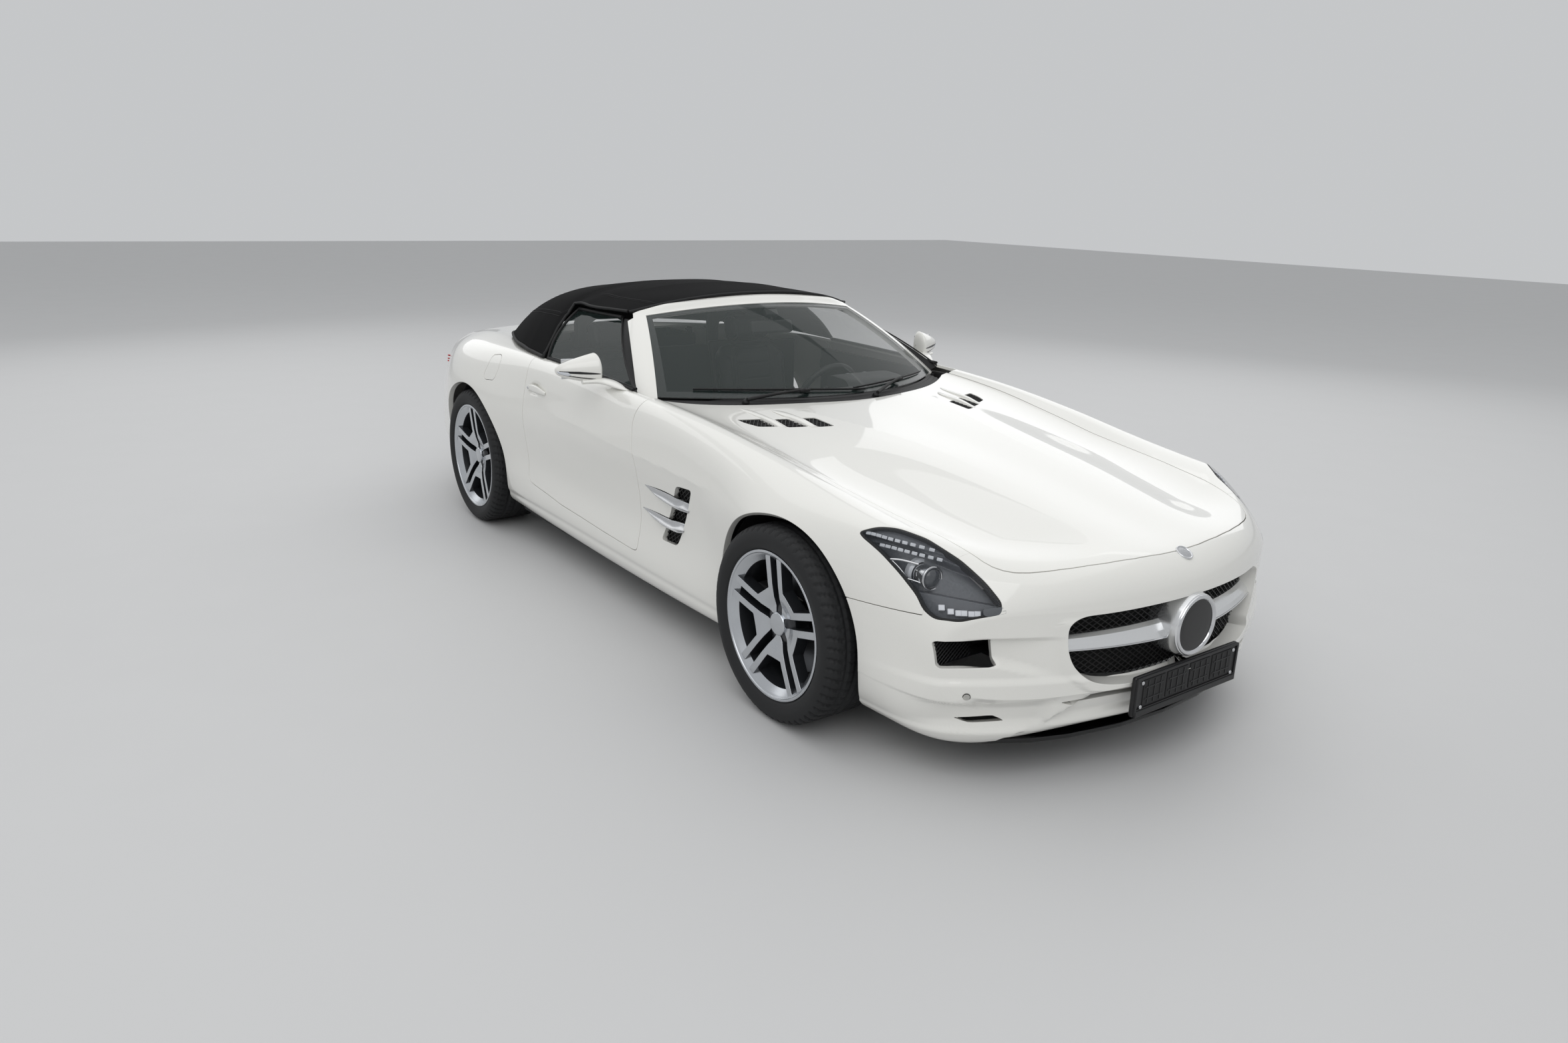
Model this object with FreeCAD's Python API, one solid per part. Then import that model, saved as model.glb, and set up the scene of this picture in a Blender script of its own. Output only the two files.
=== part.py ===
"""Two-seat roadster with a long bonnet, front mid engine and a fabric top.

The car stands on its tyres. Its nose points along -Y, its left side along +X
and +Z is up. The origin is on the ground below the middle of the car.
"""
import FreeCAD
import Part
import math
import os

V = FreeCAD.Vector
os.makedirs("parts", exist_ok=True)

# Overall plan
LENGTH = 4638.0
FRONT_AXLE = -1411.0
REAR_AXLE = 1269.0
TIP = LENGTH / 2
NOSE_START = 2010.0

# Panels and their gaps
SKIN = 18.0
SHUT_GAP = 8.0
LID_GAP = 8.0
SEAT = 0.3
GLASS = 5.0

# Wheels and tyres
FRONT_TYRE_RADIUS = 334.0
REAR_TYRE_RADIUS = 342.5
FRONT_TYRE_WIDTH = 265.0
REAR_TYRE_WIDTH = 295.0
FRONT_RIM_RADIUS = 252.0
REAR_RIM_RADIUS = 264.0
TYRE_FACE = 958.0
FRONT_ARCH = 373.0
REAR_ARCH = 381.0
LINER_CLEARANCE = 22.0
LINER_WALL = 5.0
LINER_INNER = 548.0
LINER_OUTER = 872.0
LOCK_ROOM = 530.0
KINGPIN = 781.0
DISC_WALL = 32.0
HUB_RADIUS = 74.0
SPOKES = 5

# Doors
DOOR_FRONT = -415.0
DOOR_REAR = 635.0
DOOR_INNER = 800.0
BELT = 822.0
SILL_TOP = 1468.0
SILL_BOTTOM = 1640.0

# Bonnet and boot lid
BONNET_FRONT = -2247.0
BONNET_SIDE = 676.0
COWL_MIDDLE = -700.0
COWL_SIDE = -395.0
LID_FRONT = 1762.0
LID_SIDE = 582.0
LID_LOW = 742.0
DECK_FRONT = 1352.0
DECK_SIDE = 590.0

# Tub
FLOOR_LOW = 150.0
FLOOR_WALL = 18.0
FIREWALL = -520.0
BULKHEAD = 845.0
TUNNEL_HALF = 150.0
TUNNEL_TOP = 430.0
TUB_SIDE = 790.0
RAIL_IN = 380.0
RAIL_OUT = 450.0
POST_IN = 745.0
POST_OUT = 775.0


# Body surface: each line runs along the car as (station, half width, height)
GIRTH = [0, 330, 640, 800, 890, 980, 1110, 1310, 1480, 1620, 1900, 2300]
BODY_LINES = [
    [(-2010, 0, 721), (-1700, 0, 772), (-1400, 0, 812), (-1000, 0, 852), (-560, 0, 893),
     (0, 0, 915), (800, 0, 935), (1500, 0, 948), (1800, 0, 940), (2010, 0, 915)],
    [(-2010, 250, 722), (-1400, 300, 812), (-800, 370, 868), (-560, 400, 884),
     (800, 400, 932), (1500, 400, 944), (2010, 380, 908)],
    [(-2010, 600, 708), (-1700, 640, 745), (-1400, 665, 778), (-1000, 700, 832),
     (-560, 745, 878), (0, 760, 905), (800, 740, 925), (1500, 680, 938), (2010, 640, 896)],
    [(-2010, 795, 751), (-1700, 800, 776), (-1400, 805, 806), (-1000, 810, 858),
     (-700, 810, 890), (-400, 812, 907), (0, 815, 922), (640, 815, 932),
     (1269, 790, 935), (1600, 760, 925), (2010, 720, 880)],
    [(-2010, 855, 708), (-1700, 880, 738), (-1400, 892, 762), (-1000, 880, 815),
     (-400, 868, 880), (0, 868, 893), (640, 872, 905), (1000, 885, 905),
     (1269, 893, 895), (1600, 870, 880), (2010, 800, 835)],
    [(-2010, 885, 630), (-1700, 925, 668), (-1450, 945, 690), (-1000, 912, 720),
     (-400, 900, 770), (640, 905, 790), (1000, 930, 800), (1269, 945, 800),
     (1600, 930, 790), (2010, 850, 740)],
    [(-2010, 895, 540), (-1700, 940, 590), (-1450, 962, 620), (-1000, 915, 610),
     (-400, 908, 640), (300, 912, 655), (640, 922, 660), (1000, 955, 670),
     (1269, 969, 680), (1600, 958, 660), (2010, 880, 620)],
    [(-2010, 892, 400), (-1700, 925, 430), (-1450, 935, 440), (-1000, 895, 430),
     (-400, 880, 430), (300, 885, 430), (640, 900, 440), (1000, 935, 450),
     (1269, 955, 460), (1600, 948, 460), (2010, 885, 470)],
    [(-2010, 868, 250), (-1700, 885, 260), (-1450, 890, 265), (-1000, 895, 270),
     (-400, 900, 275), (640, 905, 280), (1000, 915, 290), (1269, 920, 300),
     (1600, 915, 310), (2010, 870, 320)],
    [(-2010, 800, 155), (-1700, 830, 165), (-1450, 840, 170), (-1000, 850, 165),
     (640, 855, 165), (1269, 860, 190), (1600, 850, 210), (2010, 800, 230)],
    [(-2010, 450, 150), (2010, 450, 230)],
    [(-2010, 0, 150), (2010, 0, 230)],
]
# Where each line ends on the flat of the nose and of the tail, with the two
# powers of its rounding
NOSE_ENDS = [(0, 560, 8, 0.5), (220, 560, 8, 0.5), (500, 560, 5, 0.55), (700, 545, 1.7, 0.75),
             (765, 515, 1.7, 0.7), (790, 480, 2, 0.6), (797, 430, 2.5, 0.5), (790, 370, 3, 0.5),
             (765, 325, 5, 0.5), (690, 302, 8, 0.5), (380, 300, 8, 0.5), (0, 300, 8, 0.5)]
TAIL_ENDS = [(0, 700, 3, 0.5), (300, 700, 3, 0.5), (560, 695, 3, 0.5), (690, 670, 2.5, 0.5),
             (745, 640, 2.3, 0.5), (772, 600, 2.3, 0.5), (780, 560, 2.5, 0.5),
             (778, 500, 3, 0.5), (760, 440, 4, 0.5), (700, 410, 6, 0.5), (400, 400, 6, 0.5),
             (0, 400, 6, 0.5)]
# The grille opening and the plate recess, met by the same lines
GRILLE_LOOP = [(0, 552), (200, 550), (380, 545), (440, 538), (468, 520), (474, 490),
               (470, 450), (455, 405), (430, 370), (380, 335), (200, 312), (0, 308)]
PLATE_LOOP = [(0, 640), (140, 640), (250, 640), (268, 630), (272, 615), (272, 590),
              (272, 560), (272, 530), (268, 505), (250, 500), (140, 500), (0, 500)]


def spline(knots, values, flat_start=False):
    """Cubic curve through the values, with free ends or a level start."""
    n = len(knots)
    if n == 2:
        slope = (values[1] - values[0]) / (knots[1] - knots[0])
        return lambda t: values[0] + slope * (t - knots[0])
    step = [knots[i + 1] - knots[i] for i in range(n - 1)]
    rise = [(values[i + 1] - values[i]) / step[i] for i in range(n - 1)]
    diag = [1.0] * n
    upper = [0.0] * n
    right = [0.0] * n
    if flat_start:
        diag[0] = 2 * step[0]
        upper[0] = step[0]
        right[0] = 6 * rise[0]
    for i in range(1, n - 1):
        lower = step[i - 1]
        share = lower / diag[i - 1]
        diag[i] = 2 * (step[i - 1] + step[i]) - share * upper[i - 1]
        upper[i] = step[i]
        right[i] = 6 * (rise[i] - rise[i - 1]) - share * right[i - 1]
    bend = [0.0] * n
    for i in range(n - 2, -1, -1):
        bend[i] = (right[i] - upper[i] * bend[i + 1]) / diag[i]

    def at(t):
        k = 0
        while k < n - 2 and t > knots[k + 1]:
            k += 1
        a = (knots[k + 1] - t) / step[k]
        b = (t - knots[k]) / step[k]
        curve = (a ** 3 - a) * bend[k] + (b ** 3 - b) * bend[k + 1]
        return a * values[k] + b * values[k + 1] + curve * step[k] ** 2 / 6
    return at


LINE_CURVES = [(spline([p[0] for p in line], [p[1] for p in line]),
                spline([p[0] for p in line], [p[2] for p in line])) for line in BODY_LINES]


def ease(t):
    """Smooth step from 0 to 1."""
    t = min(max(t, 0.0), 1.0)
    return t * t * (3 - 2 * t)


def bow(station):
    """How far the outer edge of a cross section lies behind its middle."""
    return 346 * ease((-1100 - station) / 1200) - 260 * ease((station - 1300) / 1000)


def section(station):
    """Width and height across the girth at a station along the car."""
    widths = []
    heights = []
    for number, (width, height) in enumerate(LINE_CURVES):
        inside = min(max(station, -NOSE_START), NOSE_START)
        x = width(inside)
        z = height(inside)
        if abs(station) > NOSE_START:
            sign = -1 if station < 0 else 1
            end_x, end_z, power, root = (NOSE_ENDS if sign < 0 else TAIL_ENDS)[number]
            past = station - inside
            reach = min(abs(past) / (TIP - NOSE_START), 1.0)
            keep = (1 - reach ** power) ** root
            x += (width(inside) - width(inside - sign)) * sign * past
            z += (height(inside) - height(inside - sign)) * sign * past
            x = end_x + keep * (x - end_x)
            z = end_z + keep * (z - end_z)
        widths.append(x)
        heights.append(z)
    return spline(GIRTH, widths), spline(GIRTH, heights, flat_start=True)


def body_point(station, girth, across=None):
    """Point of the outer surface; a negative girth is the car's right side."""
    width, height = across or section(station)
    x = width(abs(girth))
    y = station + bow(station) * (abs(x) / 900) ** 2.1
    return V(-x if girth < 0 else x, y, height(abs(girth)))


def loop_point(loop, girth, station, share):
    """Point between the flat end's rim and a loop inside it."""
    rim = body_point(station, girth)
    x = spline(GIRTH, [p[0] for p in loop])(abs(girth))
    z = spline(GIRTH, [p[1] for p in loop])(abs(girth))
    x = rim.x + (x - rim.x) * share
    y = station + bow(station) * (abs(x) / 900) ** 2.1
    return V(x, y, rim.z + (z - rim.z) * share)


def mirrored(shape):
    return shape.mirror(V(0, 0, 0), V(1, 0, 0))


def both(shape):
    return Part.makeCompound([shape, mirrored(shape)])


def box(x0, x1, y0, y1, z0, z1):
    return Part.makeBox(x1 - x0, y1 - y0, z1 - z0, V(x0, y0, z0))


def rod(radius, start, end):
    axis = end - start
    return Part.makeCylinder(radius, axis.Length, start, axis)


def prism(points, along, length):
    """Straight-sided block on a closed outline of points."""
    face = Part.Face(Part.makePolygon(points + [points[0]]))
    return face.extrude(along * length)


def net_face(grid, degree_u=3, degree_v=3):
    """Smooth face whose poles are the points of a grid."""
    mults = []
    knots = []
    for count, degree in ((len(grid), degree_u), (len(grid[0]), degree_v)):
        mults.append([degree + 1] + [1] * (count - degree - 1) + [degree + 1])
        knots.append(list(range(count - degree + 1)))
    net = Part.BSplineSurface()
    net.buildFromPolesMultsKnots(grid, mults[0], mults[1], knots[0], knots[1],
                                 False, False, degree_u, degree_v)
    return net.toShape()


def slab(outer, inner):
    """Solid between two smooth nets whose poles are grids of points."""
    faces = [net_face(outer), net_face(inner)]
    for pick in (lambda g: g[0], lambda g: g[-1], lambda g: [line[0] for line in g],
                 lambda g: [line[-1] for line in g]):
        faces.append(net_face([pick(outer), pick(inner)], degree_u=1))
    shell = Part.makeShell(faces)
    shell.sewShape()
    solid = Part.makeSolid(shell)
    if solid.Volume < 0:
        solid.reverse()
    return solid


def inside_of(grid, depth):
    """The same grid moved inwards by a depth, square to its surface."""
    rows = len(grid)
    columns = len(grid[0])
    moved = []
    for i in range(rows):
        line = []
        for j in range(columns):
            along = grid[min(i + 1, rows - 1)][j] - grid[max(i - 1, 0)][j]
            across = grid[i][min(j + 1, columns - 1)] - grid[i][max(j - 1, 0)]
            normal = along.cross(across)
            if abs(grid[i][j].x) < 0.001:
                normal.x = 0
            normal.normalize()
            line.append(grid[i][j] - normal * depth)
        moved.append(line)
    return moved


def body_grid(stations, girths):
    """Grid of surface points; girths may depend on the station."""
    grid = []
    for station in stations:
        across = section(station)
        line = girths(station) if callable(girths) else girths
        grid.append([body_point(station, girth, across) for girth in line])
    return grid


def spread(start, end, count):
    return [start + (end - start) * i / (count - 1) for i in range(count)]


def panel(stations, girths, depth=SKIN):
    grid = body_grid(stations, girths)
    return slab(grid, inside_of(grid, -depth))


nodes = {}


def keep(name, shape):
    """Store a sub-part once it is a clean valid solid or set of solids."""
    shape = shape.removeSplitter() if len(shape.Solids) == 1 else shape
    nodes[name] = shape


# Wheel arches and their inner liners
def arch(axle, height, radius, x0=500.0, x1=1100.0):
    """Round bar across the car on an axle's line, between two widths."""
    return Part.makeCylinder(radius, x1 - x0, V(x0, axle, height), V(1, 0, 0))


front_well = arch(FRONT_AXLE, FRONT_TYRE_RADIUS, FRONT_ARCH).fuse(
    arch(FRONT_AXLE, FRONT_TYRE_RADIUS, FRONT_ARCH + LINER_CLEARANCE, 500.0, 886.0))
rear_well = arch(REAR_AXLE, REAR_TYRE_RADIUS, REAR_ARCH).fuse(
    arch(REAR_AXLE, REAR_TYRE_RADIUS, REAR_ARCH + 10, 500.0, 905.0))


def liner(axle, height, radius, x0, x1):
    """Upper half of a drum that closes the wheel well towards the car."""
    ring = arch(axle, height, radius, x0, x1).cut(arch(axle, height, radius - LINER_WALL, x0, x1))
    low = height - 90
    return ring.cut(box(x0 - 1, x1 + 1, axle - 2 * radius, axle + 2 * radius, -200, low))


liner_front = liner(FRONT_AXLE, FRONT_TYRE_RADIUS, FRONT_ARCH + LINER_CLEARANCE,
                    LINER_INNER, LINER_OUTER)
liner_rear = liner(REAR_AXLE, REAR_TYRE_RADIUS, REAR_ARCH + 10, 600.0, 890.0)
keep("wheel_liners", Part.makeCompound([liner_front, mirrored(liner_front),
                                        liner_rear, mirrored(liner_rear)]))


# Headlamps fill the corner between bonnet, wing and bumper
LAMP_OUTLINE = [(-1973, 872), (-2005, 823), (-2035, 778), (-2086, 741), (-2185, 729),
                (-2259, 732), (-2304, 740), (-2317, 760), (-2314, 866), (-2290, 945),
                (-2262, 950), (-2233, 922), (-2169, 903), (-2101, 891), (-2010, 883)]
LAMP_VIEW = V(0.45, -0.62, 0.64)


def lamp_prism(grow):
    """Straight prism through the headlamp's outline, seen along its own view."""
    points = [body_point(*p) for p in LAMP_OUTLINE]
    middle = V(0, 0, 0)
    for p in points:
        middle = middle + p * (1.0 / len(points))
    view = V(LAMP_VIEW)
    view.normalize()
    outline = []
    for p in points:
        arm = p - middle
        flat = arm - view * arm.dot(view)
        outline.append(middle + flat * ((flat.Length + grow) / flat.Length) - view * 160)
    return prism(outline, view, 320)


lamp_hole = lamp_prism(4.0)
lamp_core = lamp_prism(0.0)
NOSE_STATIONS = [-1940, -1990, -2030, -2080, -2130, -2180, -2220, -2250, -2275, -2295, -2309,
                 -2316, -2319]
corner_grid = body_grid(NOSE_STATIONS, spread(700, 1010, 9))
corner = slab(corner_grid, inside_of(corner_grid, 60.0))
headlamp = corner.common(lamp_core)
keep("headlamps", both(headlamp))


# Front bumper: a ring from the bonnet edge and wing joints to the grille opening
bumper_girths = [0, 160, 330, 490, 600, 680, 760, 830, 890, 950, 1040, 1140, 1250, 1370, 1480,
                 1560, 1640, 1800, 2050, 2300]
bumper_grid = body_grid([-1900, -1960] + NOSE_STATIONS[1:], bumper_girths)
for share in (0.35, 0.7, 1.0):
    bumper_grid.append([loop_point(GRILLE_LOOP, girth, -TIP, share) for girth in bumper_girths])
bumper_half = slab(bumper_grid, inside_of(bumper_grid, SKIN))

BONNET_CORNER = [(-10, -2255), (200, -2241), (400, -2194), (500, -2158), (570, -2122),
                 (618, -2080), (640, -2030), (646, -1985), (655, -1900), (700, -1500)]
bonnet_cut = prism([V(x, y, 560) for x, y in BONNET_CORNER] + [V(-10, -1500, 560)], V(0, 0, 1), 400)
WING_JOINT_Y = -1988.0
JOINT_FRONT = 572.0
JOINT_REAR = 518.0
side_cut = prism([V(600, WING_JOINT_Y, 900), V(600, WING_JOINT_Y, JOINT_FRONT),
                  V(600, -1700, JOINT_REAR), V(600, -1500, JOINT_REAR), V(600, -1500, 900)],
                 V(1, 0, 0), 500)
intake = prism([V(652, -2300, 398), V(664, -2300, 484), V(815, -2300, 478), V(806, -2300, 392)],
               V(0, 1, 0), 420)
slot = prism([V(420, -2400, 214), V(470, -2400, 232), V(700, -2400, 226), V(640, -2400, 204)],
             V(0, 1, 0), 420)
bumper_half = bumper_half.cut(bonnet_cut).cut(side_cut).cut(lamp_hole).cut(front_well)
bumper_half = bumper_half.cut(intake).cut(slot)
front_bumper = bumper_half.fuse(mirrored(bumper_half))

# Splitter under the bumper
splitter_line = [(0, -2262), (200, -2250), (400, -2212), (520, -2172), (640, -2108),
                 (740, -1990), (800, -1880), (822, -1800)]
splitter_plan = [V(x, y - 14, 0) for x, y in splitter_line]
splitter_plan += [V(640, -1800, 0), V(520, -2010, 0), (V(0, -2100, 0))]
splitter = prism([p + V(0, 0, 128) for p in splitter_plan], V(0, 0, 1), 18)
PLATE_HALF = 262.0
PLATE_MIDDLE = 274.0
PLATE_HOLE = 3.0
PLATE_HOLE_SPACING = 460.0
plate = box(-PLATE_HALF, PLATE_HALF, -TIP, -TIP + 22, PLATE_MIDDLE - 65, PLATE_MIDDLE + 65)
for side in (-1, 1):
    x = side * PLATE_HOLE_SPACING / 2
    plate = plate.cut(rod(PLATE_HOLE, V(x, -TIP - 1, PLATE_MIDDLE), V(x, -TIP + 23, PLATE_MIDDLE)))
front_bumper = front_bumper.fuse(plate)
nodes["front_bumper"] = front_bumper
keep("front_splitter", splitter.fuse(mirrored(splitter)).cut(front_bumper))

# Grille: bars across the mouth, with the wing and its drum in front
GRILLE_DEPTH = -2216.0


def mesh_panel(x0, x1, z0, z1, y, pitch, bar):
    """Flat lattice of crossed bars inside a frame, facing forwards."""
    sheet = box(x0, x1, y, y + 8, z0, z1)
    holes = []
    columns = int((x1 - x0 - bar) / pitch)
    levels = int((z1 - z0 - bar) / pitch)
    wide = (x1 - x0 - bar) / columns
    tall = (z1 - z0 - bar) / levels
    for i in range(columns):
        for k in range(levels):
            left = x0 + bar + i * wide
            low = z0 + bar + k * tall
            holes.append(box(left, left + wide - bar, y - 1, y + 9, low, low + tall - bar))
    return sheet.cut(Part.makeCompound(holes))


GRILLE_HALF = 462.0
DRUM_RADIUS = 96.0
DRUM_HEIGHT = 452.0
drum = rod(DRUM_RADIUS, V(0, GRILLE_DEPTH - SEAT, DRUM_HEIGHT), V(0, -TIP, DRUM_HEIGHT))


def wing_bar(x):
    """Cross section of the grille's wing at a distance from the drum."""
    y = -2306 + bow(-TIP) * (x / 900.0) ** 2.1
    low = DRUM_HEIGHT - 34 + 14 * (x / 466.0)
    high = DRUM_HEIGHT + 30 - 22 * (x / 466.0)
    return Part.makePolygon([V(x, y, low), V(x, y - 8, (low + high) / 2), V(x, y, high),
                             V(x, y + 24, high - 4), V(x, y + 24, low + 4), V(x, y, low)])


bar = Part.makeLoft([wing_bar(x) for x in (70, 170, 270, 370, 464)], True, False)
grille_wing = drum.fuse(bar).fuse(mirrored(bar)).cut(front_bumper)
keep("grille_wing", grille_wing)
mesh = mesh_panel(-GRILLE_HALF, GRILLE_HALF, 318, 540, GRILLE_DEPTH, 75.0, 14.0)
keep("grille_mesh", mesh.cut(front_bumper).cut(grille_wing))


# Bonnet, hinged at the windscreen
def cowl_line(x):
    """Plan curve of the bonnet's rear edge."""
    return COWL_MIDDLE + (COWL_SIDE - COWL_MIDDLE) * (x / 740.0) ** 2


bonnet_girths = spread(-BONNET_SIDE, BONNET_SIDE, 17)
bonnet_grid = []
for share in spread(0.0, 1.0, 19):
    line = []
    for girth in bonnet_girths:
        edge_share = max(0.0, (abs(girth) - 560) / (BONNET_SIDE - 560))
        front = BONNET_FRONT + 90 * edge_share ** 2.2
        rear = cowl_line(body_point(-600, abs(girth)).x)
        station = front + (rear - front) * share ** 1.12
        line.append(body_point(station, girth))
    bonnet_grid.append(line)
bonnet = slab(bonnet_grid, inside_of(bonnet_grid, -SKIN))
vent_slots = []
for number in range(3):
    t0 = number / 3.0 + 0.015
    t1 = t0 + 0.24
    a0 = V(362 + 240 * t0, -962 + 175 * t0, 700)
    a1 = V(362 + 240 * t1, -962 + 175 * t1, 700)
    b0 = a0 + V(-20 + 30 * t0, 88 - 50 * t0, 0)
    b1 = a1 + V(-20 + 30 * t1, 88 - 50 * t1, 0)
    vent_slots.append(prism([a0, a1, b1, b0], V(0, 0, 1), 300))
vents = Part.makeCompound(vent_slots)
BONNET_PIN = V(0, -360, 840)
PIN_RADIUS = 6.0
RUNNING = 0.05
bonnet_arm = prism([V(746, y, z) for y, z in ((-350, 828), (-348, 850), (-400, 884), (-450, 884),
                                              (-450, 868), (-372, 828))], V(1, 0, 0), 10)
bonnet_arm = bonnet_arm.cut(rod(PIN_RADIUS + RUNNING, BONNET_PIN + V(740, 0, 0),
                                BONNET_PIN + V(780, 0, 0)))
bonnet = bonnet.cut(vents).cut(mirrored(vents))
keep("bonnet", bonnet.fuse(bonnet_arm).fuse(mirrored(bonnet_arm)))

# Front wings
wing_stations = [-2150, -2100, -2050, -2000, -1940, -1870, -1790, -1700, -1600, -1500, -1400,
                 -1280, -1160, -1040, -900, -760, -600, -500, DOOR_FRONT - SHUT_GAP]
WING_SIDE = 688.0
wing = panel(wing_stations, spread(WING_SIDE, SILL_TOP, 16))
ahead = prism([V(500, -2500, 1000), V(500, WING_JOINT_Y - 4, 1000),
               V(500, WING_JOINT_Y - 4, JOINT_FRONT - 4 + 3), V(500, -1700, JOINT_REAR - 1 + 4),
               V(500, -1600, JOINT_REAR - 1 + 4), V(500, -1600, 0), V(500, -2500, 0)],
              V(1, 0, 0), 600)
wing = wing.cut(ahead).cut(lamp_hole).cut(front_well)
VENT_HIGH = 642.0
vent_hole = prism([V(700, -733, VENT_HIGH), V(700, -838, VENT_HIGH - 6), V(700, -708, 396),
                   V(700, -600, 394)], V(1, 0, 0), 400)
wing = wing.cut(vent_hole)
keep("wing_left", wing)
keep("wing_right", mirrored(wing))

# Sills between the wheel arches
sill = panel(spread(-1080, 930, 17), spread(SILL_TOP + 12, SILL_BOTTOM, 7), 30.0)
DOOR_PIN = V(889, -345, 0)
door_pin = rod(PIN_RADIUS, DOOR_PIN + V(0, 0, 245), DOOR_PIN + V(0, 0, 340))
sill = sill.cut(front_well).cut(rear_well).fuse(door_pin)
keep("sills", both(sill))

# Doors
door_stations = spread(DOOR_FRONT, DOOR_REAR, 11)
door_girths = spread(BELT, SILL_TOP, 15)
door_grid = body_grid(door_stations, door_girths)
door_back = []
for i, line in enumerate(door_grid):
    share = i / (len(door_grid) - 1)
    door_back.append([V(DOOR_INNER, p.y + 10 - 26 * share, p.z) for p in line])
door_bore = rod(PIN_RADIUS + RUNNING, DOOR_PIN, DOOR_PIN + V(0, 0, 345))
door = slab(door_grid, door_back).cut(door_bore)
keep("door_left", door)
keep("door_right", mirrored(door))

# Rear quarters, with the fuel door's opening on the right
FLAP_Y = 1000.0
FLAP_Z = 830.0
FLAP_RADIUS = 72.0
FLAP_ROOM = 12.0
FLAP_PIN = V(-911.2, 924.5, 828.6)
FLAP_UP = V(0.2726, 0, 0.9621)
FLAP_PIN_RADIUS = 2.0


def quarter_side(station):
    """Inner edge of the rear quarter: along the top's hem, then the boot lid."""
    share = min(max((station - DOOR_REAR) / (DECK_FRONT - DOOR_REAR), 0.0), 1.0)
    return BELT - 4 + (DECK_SIDE + 6 - BELT + 4) * ease(share)


quarter_stations = [DOOR_REAR + SHUT_GAP, 700, 800, 900, 1000, 1100, 1200, 1300, 1400, 1500, 1600,
                    1700, 1800, 1900, 1950]
quarter_grid = body_grid(quarter_stations,
                         lambda s: spread(quarter_side(s), SILL_BOTTOM, 19))
quarter = slab(quarter_grid, inside_of(quarter_grid, -SKIN)).cut(rear_well)
sill_room = box(700, 1100, 0, 936, 0, 292)
quarter = quarter.cut(sill_room)
flap_hole = rod(FLAP_RADIUS + FLAP_ROOM, V(-840, FLAP_Y, FLAP_Z), V(-1100, FLAP_Y, FLAP_Z + 60))
flap_core = rod(FLAP_RADIUS, V(-840, FLAP_Y, FLAP_Z), V(-1100, FLAP_Y, FLAP_Z + 60))
quarter_right = mirrored(quarter)
keep("quarter_left", quarter)
flap_lug = rod(3.5, FLAP_PIN - FLAP_UP * 8, FLAP_PIN + FLAP_UP * 8)
flap_lug = flap_lug.fuse(rod(3.0, FLAP_PIN + V(0, 1, 0), FLAP_PIN + V(0, 10, 0)))
fuel_flap = quarter_right.common(flap_core).fuse(flap_lug)
fuel_flap = fuel_flap.cut(rod(FLAP_PIN_RADIUS + RUNNING, FLAP_PIN - FLAP_UP * 30,
                              FLAP_PIN + FLAP_UP * 30))
flap_pin = rod(FLAP_PIN_RADIUS, FLAP_PIN - FLAP_UP * 30, FLAP_PIN + FLAP_UP * 30)
keep("fuel_flap", fuel_flap)
keep("quarter_right", quarter_right.cut(flap_hole).fuse(flap_pin))

# Deck between the fabric top and the boot lid
keep("rear_deck", panel(spread(DECK_FRONT, LID_FRONT - LID_GAP, 7),
                        spread(-DECK_SIDE, DECK_SIDE, 13)))

# Tail: lid, lamps and bumper
TAIL_STATIONS = [1956, 2010, 2070, 2130, 2180, 2220, 2255, 2280, 2300, 2313, 2319]
tail_girths = [0, 160, 330, 480, 600, 640, 720, 800, 890, 980, 1110, 1250, 1370, 1480, 1560, 1640,
               1800, 2050, 2300]
tail_grid = body_grid(TAIL_STATIONS, tail_girths)
for share in (0.35, 0.7, 1.0):
    tail_grid.append([loop_point(PLATE_LOOP, girth, TIP, share) for girth in tail_girths])
tail_half = slab(tail_grid, inside_of(tail_grid, -SKIN))


LAMP_REAR = [(400, 712), (530, 716), (640, 735), (780, 762), (960, 800), (960, 742), (800, 690),
             (640, 655), (420, 655)]
rear_lamp_hole = prism([V(x, 1985, z) for x, z in LAMP_REAR], V(0, 1, 0), 500)
lamp_grid = body_grid(TAIL_STATIONS, spread(440, 1060, 11))
for share in (0.35, 0.7):
    lamp_grid.append([loop_point(PLATE_LOOP, girth, TIP, share) for girth in spread(440, 1060, 11)])
lamp_block = slab(lamp_grid, inside_of(lamp_grid, -45.0))
LAMP_IN = [(405, 707), (530, 711), (640, 730), (780, 757), (955, 794), (955, 747), (798, 695),
           (640, 660), (425, 660)]
rear_lamp = lamp_block.common(prism([V(x, 1990, z) for x, z in LAMP_IN], V(0, 1, 0), 500))

lid_stations = [LID_FRONT, 1830, 1900, 1956] + TAIL_STATIONS[1:-1]
room_grid = body_grid([1700] + lid_stations[1:] + [TIP], spread(-DECK_SIDE, DECK_SIDE, 19))
lid_room = slab(inside_of(room_grid, 40.0), inside_of(room_grid, -70.0))
below_lid = prism([V(-800, 1600, LID_LOW - LID_GAP), V(800, 1600, LID_LOW - LID_GAP),
                   V(800, 1600, 300), V(-800, 1600, 300)], V(0, 1, 0), 1000)
tail_half = tail_half.cut(lid_room.cut(below_lid)).cut(rear_lamp_hole)
diffuser_cut = prism([V(-10, 1700, 395), V(560, 1700, 395), V(610, 1700, 150), V(-10, 1700, 150)],
                     V(0, 1, 0), 900)
tail_half = tail_half.cut(diffuser_cut)
rear_bumper = tail_half.fuse(mirrored(tail_half)).fuse(box(-288, 288, TIP - 26, TIP - 14, 484, 656))
keep("rear_bumper", rear_bumper)
lamp_foot = lamp_block.common(box(470, 560, 2100, 2400, 635, 670)).cut(rear_bumper)
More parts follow.
